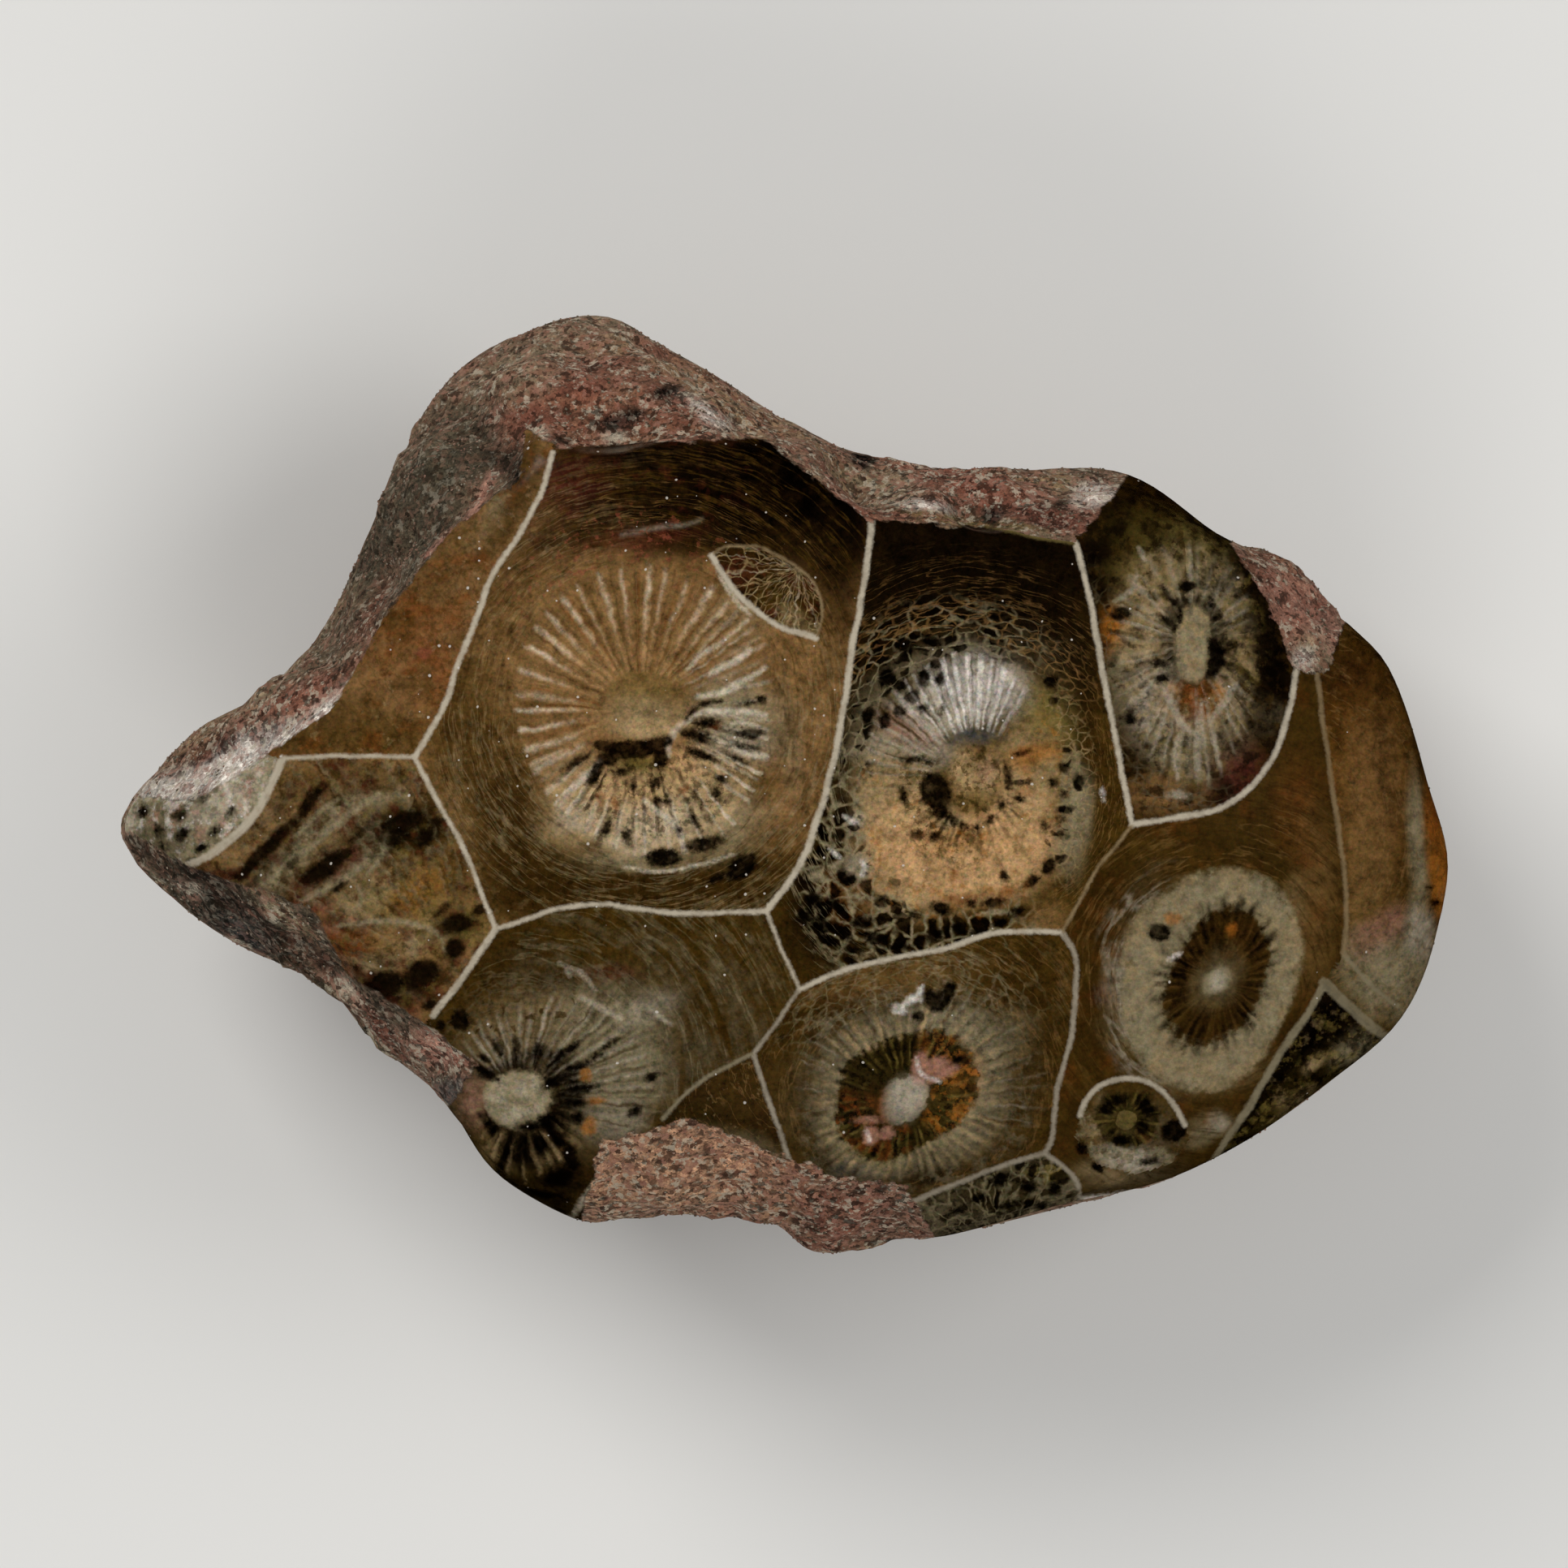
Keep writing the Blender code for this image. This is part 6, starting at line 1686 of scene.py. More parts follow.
@dataclass
class StoneMesh:
    """The stone as one closed mesh in millimetres, with the values that its materials read."""

    refine_reach: float = 0.20
    polish_floor: float = 8.6
    snap_reach: float = 0.16
    grain_height: float = 0.20
    seam_slope: float = 0.30
    worn_span: float = 9.0
    worn_rim: float = 0.16

    def build(self, node: bpy.types.Object) -> bpy.types.Object:
        """Makes the stone's mesh from the CAD node.

        Args:
            node: The CAD node, which stays as it is.

        Returns:
            The new object, at the origin.
        """
        coarse, target = self._smooth_copies(node)
        grid = bmesh.new()
        grid.from_mesh(coarse)
        self._refine(grid, 0.1, False)
        self._refine(grid, 0.42, True)
        bmesh.ops.triangulate(grid, faces=grid.faces[:], quad_method="SHORT_EDGE")
        for vertex in grid.verts:
            place, _normal, _index, _far = target.find_nearest(vertex.co)
            vertex.co = place
        grid.normal_update()
        mesh = bpy.data.meshes.new("petoskey_stone_dressed")
        grid.to_mesh(mesh)
        grid.free()
        places, normals = read(mesh.vertices, "co") / MM, read(mesh.vertices, "normal")
        places = self._snap(mesh, places, normals)
        places = self._roughen(places, normals)
        mesh.vertices.foreach_set("co", (places * MM).ravel())
        mesh.shade_smooth()
        mesh.update()
        stone = bpy.data.objects.new("polished_stone", mesh)
        bpy.context.scene.collection.objects.link(stone)
        return stone

    def _smooth_copies(self, node: bpy.types.Object) -> tuple[bpy.types.Mesh, BVHTree]:
        """A merged quad copy of the CAD mesh, subdivided once, and its smooth surface to lie on.

        Args:
            node: The CAD node.

        Returns:
            The subdivided mesh and the smooth surface's search tree.
        """
        grid = bmesh.new()
        grid.from_mesh(node.data)
        bmesh.ops.remove_doubles(grid, verts=grid.verts[:], dist=1e-6)
        bmesh.ops.join_triangles(grid, faces=grid.faces[:], angle_face_threshold=math.radians(80.0),
                                 angle_shape_threshold=math.radians(80.0))
        mesh = bpy.data.meshes.new("stone_copy")
        grid.to_mesh(mesh)
        grid.free()
        copy = bpy.data.objects.new("stone_copy", mesh)
        bpy.context.scene.collection.objects.link(copy)
        smooth = copy.modifiers.new("smooth", "SUBSURF")
        smooth.levels = smooth.render_levels = 1
        coarse = self._evaluated(copy)
        smooth.levels = smooth.render_levels = 3
        fine = self._evaluated(copy)
        target = bmesh.new()
        target.from_mesh(fine)
        tree = BVHTree.FromBMesh(target)
        target.free()
        bpy.data.objects.remove(copy)
        return coarse, tree

    def _evaluated(self, item: bpy.types.Object) -> bpy.types.Mesh:
        """The item's mesh with its modifiers applied.

        Args:
            item: An object of the scene.

        Returns:
            A mesh of its own.
        """
        graph = bpy.context.evaluated_depsgraph_get()
        graph.update()
        return bpy.data.meshes.new_from_object(item.evaluated_get(graph))

    def _refine(self, grid: bmesh.types.BMesh, least_slope: float, polish_only: bool) -> None:
        """Cuts faces in four.

        Args:
            grid: The mesh, in metres.
            least_slope: The smallest upward part of a chosen face's normal.
            polish_only: Whether only faces of the ground front are chosen.
        """
        grid.normal_update()
        faces = [face for face in grid.faces if face.normal.z > least_slope]
        if polish_only:
            places = np.array([face.calc_center_median() for face in faces]) / MM
            depth = self.ground_depth(places)
            faces = [face for face, deep in zip(faces, depth) if deep < self.refine_reach]
        edges = dict.fromkeys(edge for face in faces for edge in face.edges)
        bmesh.ops.subdivide_edges(grid, edges=list(edges), cuts=1, use_grid_fill=True)

    def _snap(self, mesh: bpy.types.Mesh, places: np.ndarray, normals: np.ndarray) -> np.ndarray:
        """Moves vertices onto the middle lines of walls, so that they are drawn sharply.

        Args:
            mesh: The mesh, for its edges.
            places: Vertex places in millimetres.
            normals: Vertex normals.

        Returns:
            The moved places.
        """
        ends = read(mesh.edges, "vertices", 2, int)
        places = places.copy()
        held = np.zeros(len(places), bool)
        for wall in WALLS.values():
            line = wall.line()
            low, high = line.min(0) - 0.6, line.max(0) + 0.6
            flat = places[:, :2]
            near = ((flat > low) & (flat < high)).all(1) & (normals[:, 2] > self.seam_slope)
            index = np.flatnonzero(near)
            if not len(index):
                continue
            signed = np.full(len(places), np.nan)
            feet = np.zeros((len(places), 2))
            side, foot, along = from_line(flat[index], line)
            side[(along <= 0.0) | (along >= 1.0) | (np.abs(side) > 0.5)] = np.nan
            signed[index], feet[index] = side, foot
            a, b = signed[ends[:, 0]], signed[ends[:, 1]]
            crossing = np.flatnonzero(a * b < 0.0)
            closest = np.minimum(np.abs(a[crossing]), np.abs(b[crossing]))
            for edge in crossing[np.argsort(closest)]:
                first, second = ends[edge]
                if held[first] or held[second]:
                    continue
                moved = first if abs(signed[first]) < abs(signed[second]) else second
                if abs(signed[moved]) > self.snap_reach:
                    continue
                step = feet[moved] - places[moved, :2]
                slope = normals[moved]
                places[moved, 2] -= (slope[0] * step[0] + slope[1] * step[1]) / slope[2]
                places[moved, :2] = feet[moved]
                held[moved] = True
        return places

    def ground_depth(self, places: np.ndarray) -> np.ndarray:
        """Signed distance into the broken ground in millimetres, above 0 in it.

        Args:
            places: Places in metres, a row each.

        Returns:
            A distance for each place.
        """
        flat = places[:, :2]
        depth = self.polish_floor - places[:, 2]
        for ground in ROUGH_GROUNDS:
            depth = np.maximum(depth, depth_in(flat, np.array(ground.loop)))
        return depth

    def _roughen(self, places: np.ndarray, normals: np.ndarray) -> np.ndarray:
        """Breaks up the ground that isn't polished with fine lumps.

        Args:
            places: Places in metres, a row each.
            normals: The surface's directions there.

        Returns:
            The moved places.
        """
        depth = self.ground_depth(places)
        share = smooth_step(0.0, 0.5, depth)
        relief = np.zeros(len(places))
        index = np.flatnonzero(share > 0.0)
        for span, height, seed in ((1.5, 1.0, 3.0), (0.8, 0.8, 8.0), (0.42, 0.55, 12.0)):
            relief[index] += height * wander(places[index], span, seed)[:, 0]
        flanks = self.polish_floor - places[:, 2] > -0.4
        relief = np.where(flanks, np.minimum(relief, 0.0), relief - 0.12)
        relief *= self.grain_height * share * smooth_step(0.15, 0.6, places[:, 2])
        return places + normals * relief[:, None]


class Colours:
    """Works out the values that the stone's materials read, and gives them to its mesh."""

    wall_share: float = 0.70
    rim_depth: float = -0.55
    open_depth: float = 0.6
    no_mark: float = -0.6
    half_length: float = 23.0
    half_breadth: float = 16.3
    front_slope: float = 0.28
    back_slope: float = -0.35

    def __init__(self, stone: bpy.types.Object, shape: StoneMesh) -> None:
        """Reads the stone's mesh.

        Args:
            stone: The stone's object.
            shape: How it was shaped.
        """
        self.mesh = stone.data
        self.shape = shape
        self.places = read(self.mesh.vertices, "co") / MM
        self.normals = read(self.mesh.vertices, "normal")
        self.plan = to_photo(self.places[:, :2])
        drift = wander(self.places, 1.1, 21.0)[:, :2] * 7.0 + wander(self.places, 3.2, 27.0)[:, :2] * 14.0
        self.drifted = self.plan + drift
        self.corners = read(self.mesh.loops, "vertex_index", 1, int)[:, 0]
        self.face_of = np.repeat(np.arange(len(self.mesh.polygons)), 3)

    def dress(self) -> None:
        """Gives every value to the mesh and every face to its coral."""
        self._walls()
        self._rind()
        owner = self._owners()
        self._corals(owner)
        self._map()

    def _add(self, name: str, kind: str, domain: str, field_name: str, values: np.ndarray) -> None:
        """Adds one attribute to the mesh."""
        layer = self.mesh.attributes.new(name, kind, domain)
        layer.data.foreach_set(field_name, values.astype(np.float32).ravel())

    def _walls(self) -> None:
        """Distance from the nearest wall's edge, and the wall's colour and strength."""
        gap = np.full(len(self.places), 2.0)
        ink = np.zeros((len(self.places), 4))
        flat = self.places[:, :2]
        for wall in WALLS.values():
            line = wall.line()
            near = np.flatnonzero(((flat > line.min(0) - 1.0) & (flat < line.max(0) + 1.0)).all(1))
            if not len(near):
                continue
            signed, _foot, along = from_line(flat[near], line)
            uneven = 1.0 + 0.22 * wander(self.places[near], 0.8, 41.0)[:, 0]
            edge = np.abs(signed) - 0.5 * self.wall_share * wall.width * PIXEL * uneven
            closer = edge < gap[near]
            gap[near[closer]] = edge[closer]
            ink[near[closer]] = (*wall.tone.linear(), wall.strength)
        self._add("wall_gap", "FLOAT", "POINT", "value", gap)
        self._add("wall_ink", "FLOAT_COLOR", "POINT", "color", ink)

    def _rind(self) -> None:
        """Colour of the broken limestone, and how deep in it a place lies."""
        depth = self.shape.ground_depth(self.places)
        self._add("ground", "FLOAT", "POINT", "value", depth)
        broad = wander(self.places, 5.0, 51.0)
        small = wander(self.places, 1.8, 55.0)
        colour = np.tile(np.array(linear((110, 88, 68))), (len(self.places), 1))
        for tone, field_value in ((GREY, broad[:, 0] + 0.4 * small[:, 0]),
                                  (BRICK, broad[:, 1] + 0.5 * small[:, 1]),
                                  (SAND, broad[:, 2] + 0.5 * small[:, 2])):
            colour = cover_with(colour, tone, 0.6 * smooth_step(0.05, 0.55, field_value)[:, None])
        worn = self._worn_walls()[:, None] * smooth_step(9.0, 6.5, self.places[:, 2:3])
        colour = cover_with(colour, BONE, 0.5 * worn)
        upward = smooth_step(-0.05, 0.25, self.normals[:, 2])[:, None]
        upward = upward * smooth_step(4.5, 7.5, self.places[:, 2:3])
        # Patches over the limestone: its own stained colours, and black spots over the top rim's pits as
        # painted shade
        for stain in RIND_STAINS_AND_SHADE:
            colour = cover_with(colour, stain.tone, stain.cover(self.drifted)[:, None] * upward)
        coarse = np.full(len(colour), 0.3)
        for ground in COARSE_GROUNDS:
            coarse = np.maximum(coarse, ground.cover(self.drifted) * upward[:, 0])
        self._add("rind", "FLOAT_COLOR", "POINT", "color", np.column_stack([colour, coarse]))

    def _worn_walls(self) -> np.ndarray:
        """How near a place of the back is to the worn walls between its corals.

        Returns:
            A share for each vertex, 1 on a wall.
        """
        span, rim = self.shape.worn_span, self.shape.worn_rim
        values = []
        for place in self.places:
            near, _cells = noise.voronoi(Vector(place) / span)
            values.append(math.exp(-(((near[1] - near[0]) / rim * 2.2) ** 2)))
        return np.array(values)

    def _owners(self) -> np.ndarray:
        """Gives each face the number of its coral, or that of the bare limestone.

        Returns:
            A number for each face.
        """
        middles = read(self.mesh.polygons, "center") / MM
        plan = to_photo(middles[:, :2])
        depth = self.shape.ground_depth(middles)
        owner = np.full(len(middles), len(CORALS))
        open_faces = depth < self.open_depth
        for number, coral in enumerate(CORALS):
            taken = open_faces & (owner == len(CORALS)) & inside(plan, coral.loop())
            owner[taken] = number
        left = open_faces & (owner == len(CORALS))
        LOG.info("%d polished faces lie in no coral", int(left.sum()))
        nearest = np.full(len(middles), -np.inf)
        np.maximum.at(nearest, self.face_of, self.shape.ground_depth(self.places)[self.corners])
        index = np.where(owner == len(CORALS), 2 * len(CORALS),
                         owner + len(CORALS) * (nearest > self.rim_depth))
        LOG.info("%d of %d polished faces are near limestone",
                 int(((index >= len(CORALS)) & (index < 2 * len(CORALS))).sum()),
                 int((owner < len(CORALS)).sum()))
        self.mesh.polygons.foreach_set("material_index", index.astype(np.int32))
        return owner

    def _corals(self, owner: np.ndarray) -> None:
        """Base colour, ring number and marks for each corner of each coral's faces.

        Args:
            owner: The coral's number for each face.
        """
        corner_owner = owner[self.face_of]
        tone = np.ones((len(self.corners), 4))
        zone = np.zeros(len(self.corners))
        marks = np.full((len(self.corners), 3), self.no_mark)
        ripple = wander(self.places, 0.9, 61.0)[:, :2] * 2.2
        for number, coral in enumerate(CORALS):
            chosen = np.flatnonzero(corner_owner == number)
            used, back = np.unique(self.corners[chosen], return_inverse=True)
            if not len(used):
                LOG.warning("%s has no faces", coral.name)
                continue
            tone[chosen, :3] = coral.paint(self.drifted[used])[back]
            zone[chosen] = coral.zone(self.plan[used] + ripple[used])[back]
            marks[chosen] = coral.marks(self.plan[used] + ripple[used])[back]
        self._add("tone", "FLOAT_COLOR", "CORNER", "color", tone)
        self._add("zone", "FLOAT", "CORNER", "value", zone)
        self._add("marks", "FLOAT_VECTOR", "CORNER", "vector", marks)

    def _map(self) -> None:
        """Lays the surface out flat: the front large, the back and the flanks beside it."""
        normals = read(self.mesh.polygons, "normal")[self.face_of]
        middles = read(self.mesh.polygons, "center")[self.face_of] / MM
        x, y, z = self.places[self.corners].T
        front = np.column_stack([0.5 + x / 46.6 * 0.99, 0.642 + y / 46.6 * 0.99])
        back = np.column_stack([0.20 + x / 47.0 * 0.38, 0.14 + y / 33.5 * 0.27])
        turn = np.arctan2(middles[:, 1] / self.half_breadth, middles[:, 0] / self.half_length)
        half = np.where(turn >= 0.0, 0.0, 1.0)
        own = np.arctan2(y / self.half_breadth, x / self.half_length)
        own = turn + np.arctan2(np.sin(own - turn), np.cos(own - turn))
        along = (own + half * math.pi) / math.pi
        flank = np.column_stack([0.435 + along * 0.54, 0.008 + half * 0.138 + z / 20.0 * 0.12])
        uv = np.where((normals[:, 2] > self.front_slope)[:, None], front,
                      np.where((normals[:, 2] < self.back_slope)[:, None], back, flank))
        layer = self.mesh.uv_layers.new(name="OFBake")
        layer.data.foreach_set("uv", uv.astype(np.float32).ravel())


@dataclass(frozen=True)
class PolishFinish:
    """Gloss of the ground front and dullness of the broken limestone beside it."""

    polish_roughness: float = 0.24
    rock_roughness: float = 0.85
    specular: float = 0.25
    bump: float = 0.7
    bump_distance: float = 0.00016
    jitter: float = 0.09
    depth: float = 0.016
    gain: float = 1.17

    def dress(self, coral: Coral, effects: Effects, rim: bool) -> bpy.types.Material:
        """Makes the material of one coral.

        Args:
            coral: The coral.
            effects: The shared effects.
            rim: Whether it is for the faces where the polish gives way to limestone.

        Returns:
            The material.
        """
        name = f"coral_{coral.name}{'_rim' if rim else ''}"
        material, graph, shader, place = new_material(name, self.specular)
        flat = place * (1.0, 1.0, 0.3)
        flat = flat + (graph.tints(flat, 3.4, 3.0, 0.62) - 0.5) * self.jitter
        middle = (*to_stone([coral.middle])[0].tolist(), 0.0)
        polar = graph.group(effects.polar, {"place": flat, "middle": middle, "twist": coral.twist,
                                            "wander": coral.wander})
        cup = Cup(
            graph, effects, place=flat, **vars(polar),
            zone=(graph.noise(flat, 3.4, 3.0, 0.6) - 0.5) * 0.45 + graph.attribute("zone"),
            bend=(graph.tints(flat, 1.6) - 0.5) * 0.8, ripple=graph.noise(flat, 2.6),
            breaks=tuple(graph.rise(blotch, 0.34, 0.60, 0.35, 1.0)
                         for blotch in graph.split(graph.tints(flat, 2.4, 3.0, 0.62))))
        colour = graph.attribute("tone", "Color")
        for layer in coral.layers:
            colour = layer.lay(cup, colour)
        colour = self._marks(cup, coral, colour)
        colour = self._deepen(self._grain(cup, coral, colour))
        colour = self._wall(cup, colour)
        # Sparse white flecks of calcite colour over the polish
        dust = cup.mask("flecks", {"size": 0.34, "share": coral.dust, "fill": 0.13})
        colour = graph.mix(dust * 0.75, colour, CALCITE)
        if rim:
            colour = self._rim(cup, shader, place, colour)
        else:
            shader.inputs["Roughness"].default_value = self.polish_roughness
        graph.wire(colour, shader.inputs["Base Color"])
        return material

    def bare(self, effects: Effects) -> bpy.types.Material:
        """Makes the material of the broken limestone alone.

        Args:
            effects: The shared effects.

        Returns:
            The material.
        """
        material, graph, shader, place = new_material("broken_limestone", self.specular)
        rock = self._rock(graph, effects, place)
        graph.wire(rock.color, shader.inputs["Base Color"])
        shader.inputs["Roughness"].default_value = self.rock_roughness
        self._bump(graph, shader, rock.height)
        return material

    def _rock(self, graph: Graph, effects: Effects, place: Value) -> SimpleNamespace:
        """The broken limestone's colour and height."""
        return graph.group(effects.rock, {"place": place, "base": graph.attribute("rind", "Color"),
                                          "coarse": graph.attribute("rind", "Alpha")})

    def _bump(self, graph: Graph, shader: bpy.types.Node, height: Value) -> None:
        """Feeds a height to the shader's normal.

        Args:
            graph: The material's graph.
            shader: The material's shader.
            height: The height in millimetres.
        """
        bump = graph.add("ShaderNodeBump", {"Strength": self.bump, "Distance": self.bump_distance,
                                            "Height": height})
        graph.wire(graph.out(bump), shader.inputs["Normal"])

    def _rim(self, cup: Cup, shader: bpy.types.Node, place: Value, colour: Value) -> Value:
        """Gives way to broken limestone past a ragged edge, in colour, gloss and height.

        Args:
            cup: The material's cup.
            shader: The material's shader.
            place: The shaded place in millimetres.
            colour: The polish's colour.

        Returns:
            The colour of both.
        """
        graph = cup.graph
        rock = self._rock(graph, cup.effects, place)
        facing = graph.split(graph.out(graph.add("ShaderNodeNewGeometry"), "Normal"))[2]
        rough = cup.mask("edge", {
            "place": place, "distance": graph.attribute("ground"), "size": 0.7, "soft": 0.05,
            "ragged": graph.rise(facing, 0.1, 0.8, 0.2, 1.0) * 0.9})
        graph.wire(rough * (self.rock_roughness - self.polish_roughness) + self.polish_roughness,
                   shader.inputs["Roughness"])
        self._bump(graph, shader, rock.height * rough)
        return graph.mix(rough, colour, rock.color)

    def _marks(self, cup: Cup, coral: Coral, colour: Value) -> Value:
        """Lays the warm, pale and dark marks over a colour, each with a ragged edge.

        Args:
            cup: Where the shaded point lies round the cup.
            coral: The coral.
            colour: What is already there.

        Returns:
            The colour with the marks on it.
        """
        dark, pale, warm = cup.graph.split(cup.graph.attribute("marks", "Vector"))
        rows = ((warm, coral.warm_tone, 0.65, 0.24, 0.5, coral.warm),
                (pale, coral.pale_tone, 0.85, 0.20, 0.6, coral.pale),
                (dark, coral.dark_tone, 0.97, 0.26, 0.25, coral.dark))
        for breaks, (distance, tone, strength, ragged, fades, marks) in zip(cup.breaks, rows):
            if marks:
                mask = cup.mask("edge", {"distance": distance, "size": 0.17, "ragged": ragged,
                                         "soft": 0.10})
                level = (breaks * fades + (1.0 - fades)) * strength
                colour = cup.graph.mix(mask * level, colour, tone)
        return colour

    def _grain(self, cup: Cup, coral: Coral, colour: Value) -> Value:
        """Breaks a colour up with fine mottling.

        Args:
            cup: The material's cup.
            coral: The coral.
            colour: What is already there.

        Returns:
            The mottled colour.
        """
        graph = cup.graph
        tints = graph.tints(cup.place, 7.5, 3.0, 0.7) - 0.5
        middling = graph.noise(cup.place, 2.6, 3.0, 0.6) - 0.5
        value = graph.split(tints)[0] * (1.1 * coral.mottle) + 1.0 + middling * (1.4 * coral.mottle)
        shade = graph.grey(value) + tints * (0.6 * coral.mottle)
        return graph.mix(1.0, colour, graph.vector("MAXIMUM", shade, (0.1, 0.1, 0.1)), "MULTIPLY")

    def _deepen(self, colour: Value) -> Value:
        """Darkens a colour's weak channels, as a wet polish does."""
        return colour * colour * self.gain / (colour + self.depth)

    def _wall(self, cup: Cup, colour: Value) -> Value:
        """Lays the calcite walls over a colour.

        Args:
            cup: The material's cup.
            colour: What is already there.

        Returns:
            The colour with the walls on it.
        """
        graph = cup.graph
        mask = cup.mask("edge", {"distance": graph.attribute("wall_gap") * -1.0, "ragged": 0.13,
                                 "size": 0.15, "soft": 0.065})
        level = graph.attribute("wall_ink", "Alpha") * (cup.breaks[1] * 0.4 + 0.6)
        return graph.mix(mask * level, colour, graph.attribute("wall_ink", "Color"))


@dataclass(frozen=True)
class QuartzGrains:
    """Fine crystals that stand proud of the broken limestone, scattered by geometry nodes."""

    per_area: float = 9.0e6
    lowest: float = 0.0005
    smallest: float = 0.00004
    largest: float = 0.00008
    clump_scale: float = 700.0
    seed: int = 11

    def grow(self, stone: bpy.types.Object) -> bpy.types.Object:
        """Scatters the grains over the stone.

        Args:
            stone: The dressed stone, whose mesh says where its ground is broken.

        Returns:
            The grains as one plain mesh at the origin.
        """
        bed = bpy.data.objects.new("grain_bed", stone.data)
        bpy.context.scene.collection.objects.link(bed)
        modifier = bed.modifiers.new("scatter", "NODES")
        given = {"Grains per area": self.per_area, "Lowest": self.lowest, "Smallest": self.smallest,
                 "Largest": self.largest, "Clump scale": self.clump_scale, "Seed": self.seed,
                 "Material": self._material()}
        modifier.node_group = self._tree(given)
        for item in modifier.node_group.interface.items_tree:
            if item.name in given:
                modifier[item.identifier] = given[item.name]
        graph = bpy.context.evaluated_depsgraph_get()
        graph.update()
        mesh = bpy.data.meshes.new_from_object(bed.evaluated_get(graph))
        bpy.data.objects.remove(bed)
        grains = bpy.data.objects.new("quartz_grains", mesh)
        bpy.context.scene.collection.objects.link(grains)
        return grains

    def _tree(self, values: dict) -> bpy.types.NodeTree:
        """Builds the scatter tree: random points on broken ground, a small crystal on each.

        Args:
            values: What its inputs besides the geometry will be given, by name.

        Returns:
            The geometry node group.
        """
        tree = bpy.data.node_groups.new("grain_scatter", "GeometryNodeTree")
        tree.interface.new_socket("Geometry", in_out="INPUT", socket_type="NodeSocketGeometry")
        kinds = {float: "Float", int: "Int", bpy.types.Material: "Material"}
        for name, value in values.items():
            tree.interface.new_socket(name, in_out="INPUT", socket_type=f"NodeSocket{kinds[type(value)]}")
        tree.interface.new_socket("Geometry", in_out="OUTPUT", socket_type="NodeSocketGeometry")
        graph = Graph(tree)
        entry = graph.add("NodeGroupInput")
        given = {socket.name: Value(graph, socket) for socket in entry.outputs if socket.name}
        ground = graph.add("GeometryNodeInputNamedAttribute", {"Name": "ground"}, data_type="FLOAT")
        place = graph.out(graph.add("GeometryNodeInputPosition"))
        lifted = graph.rise(graph.split(place)[2], given["Lowest"], given["Lowest"] * 2.0)
        clumps = graph.rise(graph.noise(place, given["Clump scale"]), 0.46, 0.60)
        density = graph.rise(graph.out(ground, "Attribute"), 0.05, 0.5) * lifted * clumps \
            * given["Grains per area"]
        points = graph.out(graph.add("GeometryNodeDistributePointsOnFaces", {
            "Mesh": given["Geometry"], "Density": density, "Seed": given["Seed"]}), "Points")
        crystal = graph.out(graph.add("GeometryNodeMeshIcoSphere", {"Radius": 1.0, "Subdivisions": 1}))
        width = graph.out(graph.add("FunctionNodeRandomValue", {
            2: given["Smallest"], 3: given["Largest"], "Seed": given["Seed"]}, data_type="FLOAT"), 1)
        turned = graph.out(graph.add("FunctionNodeRandomValue", {
            0: (0.0, 0.0, 0.0), 1: (math.tau, math.tau, math.tau), "Seed": given["Seed"]},
            data_type="FLOAT_VECTOR"))
        placed = graph.out(graph.add("GeometryNodeInstanceOnPoints", {
            "Points": points, "Instance": crystal, "Rotation": turned,
            "Scale": graph.combine(width, width * 0.7, width * 0.7)}))
        plain = graph.out(graph.add("GeometryNodeRealizeInstances", {"Geometry": placed}))
        done = graph.out(graph.add("GeometryNodeSetMaterial",
                                   {"Geometry": plain, "Material": given["Material"]}))
        graph.add("NodeGroupOutput", {"Geometry": done})
        return tree

    def _material(self) -> bpy.types.Material:
        """White, pink and brown crystals.

        Returns:
            The material.
        """
        material, graph, shader, place = new_material("quartz_grain")
        tint, warm, _blue = graph.split(graph.cells(place * 2.6)[1])
        colour = graph.mix(graph.rise(tint, 0.5, 0.8), GREY, LILAC)
        colour = graph.mix(graph.rise(warm, 0.4, 0.6) * 0.6, colour, ROSE)
        graph.wire(colour, shader.inputs["Base Color"])
        shader.inputs["Roughness"].default_value = 0.35
        return material


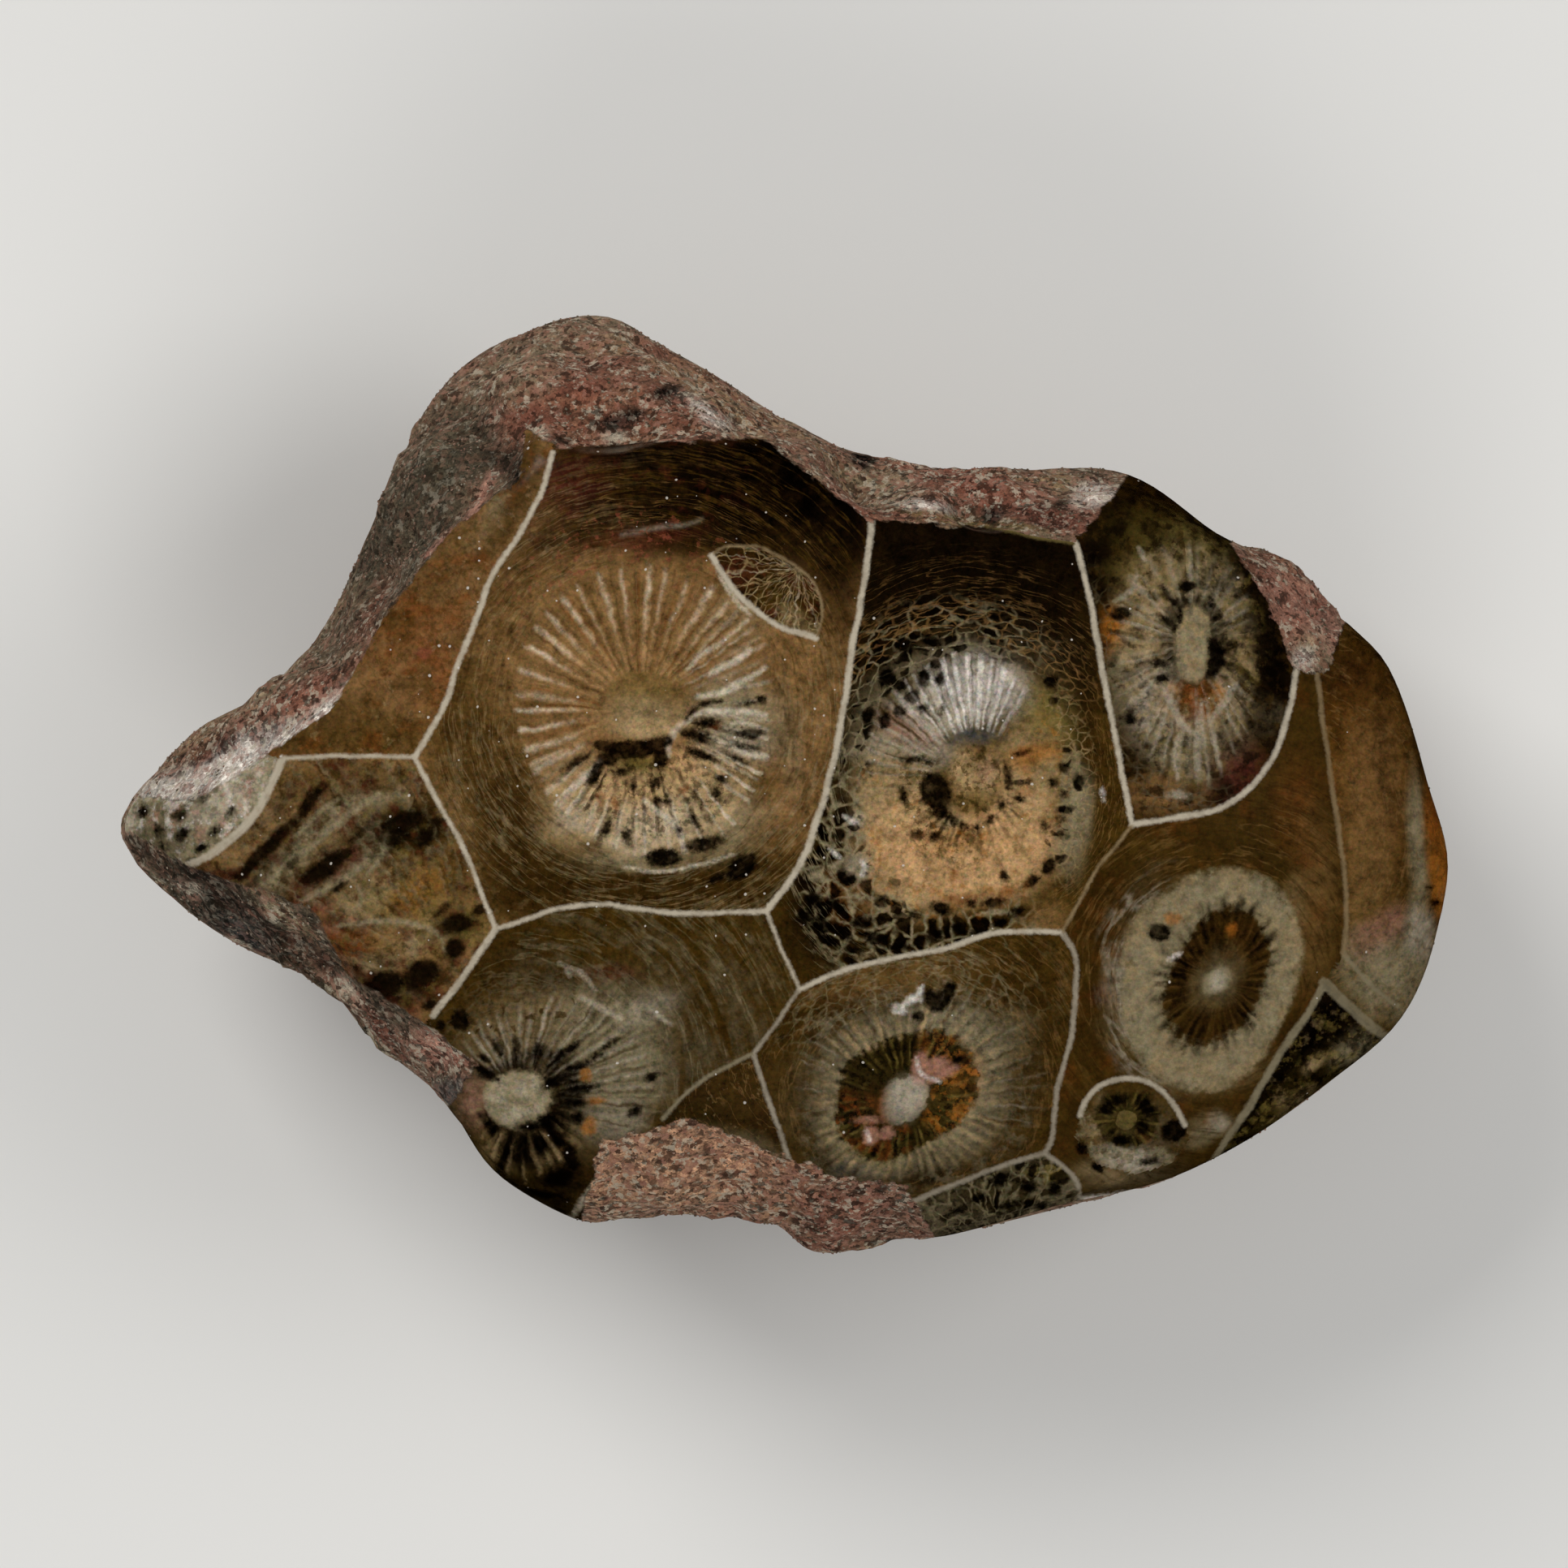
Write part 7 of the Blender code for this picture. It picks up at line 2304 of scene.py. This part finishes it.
@dataclass(frozen=True)
class StudioStage:
    """A pale floor, soft lights and the camera that looks straight down as the photograph does."""

    floor_half: float = 1.2
    floor_tone: tuple[int, int, int] = (228, 226, 221)
    frame_width: float = 0.0541
    frame_height: float = 0.0105
    lens: float = 1500.0
    sensor: float = 36.0
    world: float = 0.32
    # Each lamp's name, place, size, the light that it gives a level surface, and whether the
    # polish mirrors it
    lamps: tuple[tuple[str, tuple[float, float, float], float, float, bool], ...] = (
        ("key", (-1.30, 1.45, 1.70), 1.20, 0.34, False),
        ("fill", (1.90, 0.50, 1.50), 1.40, 0.19, False),
        ("low", (-0.10, -2.00, 1.35), 1.40, 0.19, False),
        ("sheen", (-1.20, 1.90, 0.40), 0.60, 0.012, True),
    )

    def build(self) -> None:
        """Makes the floor, the lights, the world and the camera."""
        self._floor()
        for name, place, size, share, mirrored in self.lamps:
            self._lamp(name, Vector(place), size, share, mirrored)
        world = bpy.data.worlds.new("studio")
        bpy.context.scene.world = world
        world.use_nodes = True
        backdrop = world.node_tree.nodes["Background"]
        backdrop.inputs[0].default_value = (0.92, 0.95, 1.0, 1.0)
        backdrop.inputs[1].default_value = self.world
        world.cycles_visibility.glossy = False
        self._camera()
        bpy.context.scene.view_settings.view_transform = "Standard"

    def _floor(self) -> None:
        """A wide pale sheet under the stone."""
        grid = bmesh.new()
        bmesh.ops.create_grid(grid, x_segments=8, y_segments=8, size=self.floor_half)
        mesh = bpy.data.meshes.new("floor")
        grid.to_mesh(mesh)
        grid.free()
        material = bpy.data.materials.new("pale_floor")
        material.use_nodes = True
        shader = material.node_tree.nodes["Principled BSDF"]
        shader.inputs["Base Color"].default_value = (*linear(self.floor_tone), 1.0)
        shader.inputs["Roughness"].default_value = 0.9
        shader.inputs["Specular IOR Level"].default_value = 0.1
        mesh.materials.append(material)
        floor = bpy.data.objects.new("floor", mesh)
        bpy.context.scene.collection.objects.link(floor)
        floor.visible_glossy = False

    def _lamp(self, name: str, place: Vector, size: float, share: float, mirrored: bool) -> None:
        """Adds a square soft lamp that faces the stone.

        Args:
            name: The lamp's name.
            place: Where it stands, in metres.
            size: Its side in metres.
            share: How brightly it alone would show a level white sheet, 1 for full white.
            mirrored: Whether it shows in the polish.
        """
        lamp = bpy.data.lights.new(name, "AREA")
        lamp.shape = "SQUARE"
        lamp.size = size
        lamp.energy = share * math.pi ** 2 * place.length ** 3 / place.z
        item = bpy.data.objects.new(name, lamp)
        item.location = place
        item.rotation_euler = (-place).to_track_quat("-Z", "Y").to_euler()
        item.visible_glossy = mirrored
        bpy.context.scene.collection.objects.link(item)

    def _camera(self) -> None:
        """A long lens straight above the stone's middle."""
        data = bpy.data.cameras.new("camera")
        data.lens = self.lens
        data.sensor_width = self.sensor
        data.clip_start, data.clip_end = 0.1, 20.0
        camera = bpy.data.objects.new("camera", data)
        distance = self.frame_width * self.lens / self.sensor
        camera.location = (0.0, 0.0, self.frame_height + distance)
        bpy.context.scene.collection.objects.link(camera)
        bpy.context.scene.camera = camera


def main() -> None:
    """Builds the stone, dresses it, sets the stage and reports each piece."""
    logging.basicConfig(level=logging.INFO, format="%(name)s: %(message)s")
    noise.seed_set(NOISE_SEED)
    shape = StoneMesh()
    stone = shape.build(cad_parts[NODE])
    LOG.info("stone mesh: %d vertices, %d triangles", len(stone.data.vertices), len(stone.data.polygons))
    effects = Effects()
    finish = PolishFinish()
    for rim in (False, True):
        for coral in CORALS:
            stone.data.materials.append(finish.dress(coral, effects, rim))
    stone.data.materials.append(finish.bare(effects))
    Colours(stone, shape).dress()
    LOG.info("stone dressed: %d materials", len(stone.data.materials))
    grains = QuartzGrains().grow(stone)
    LOG.info("quartz grains: %d triangles", len(grains.data.polygons))
    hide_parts(NODE)
    for piece in (stone, grains):
        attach(piece, BODY)
    StudioStage().build()


if __name__ == "__main__":
    main()
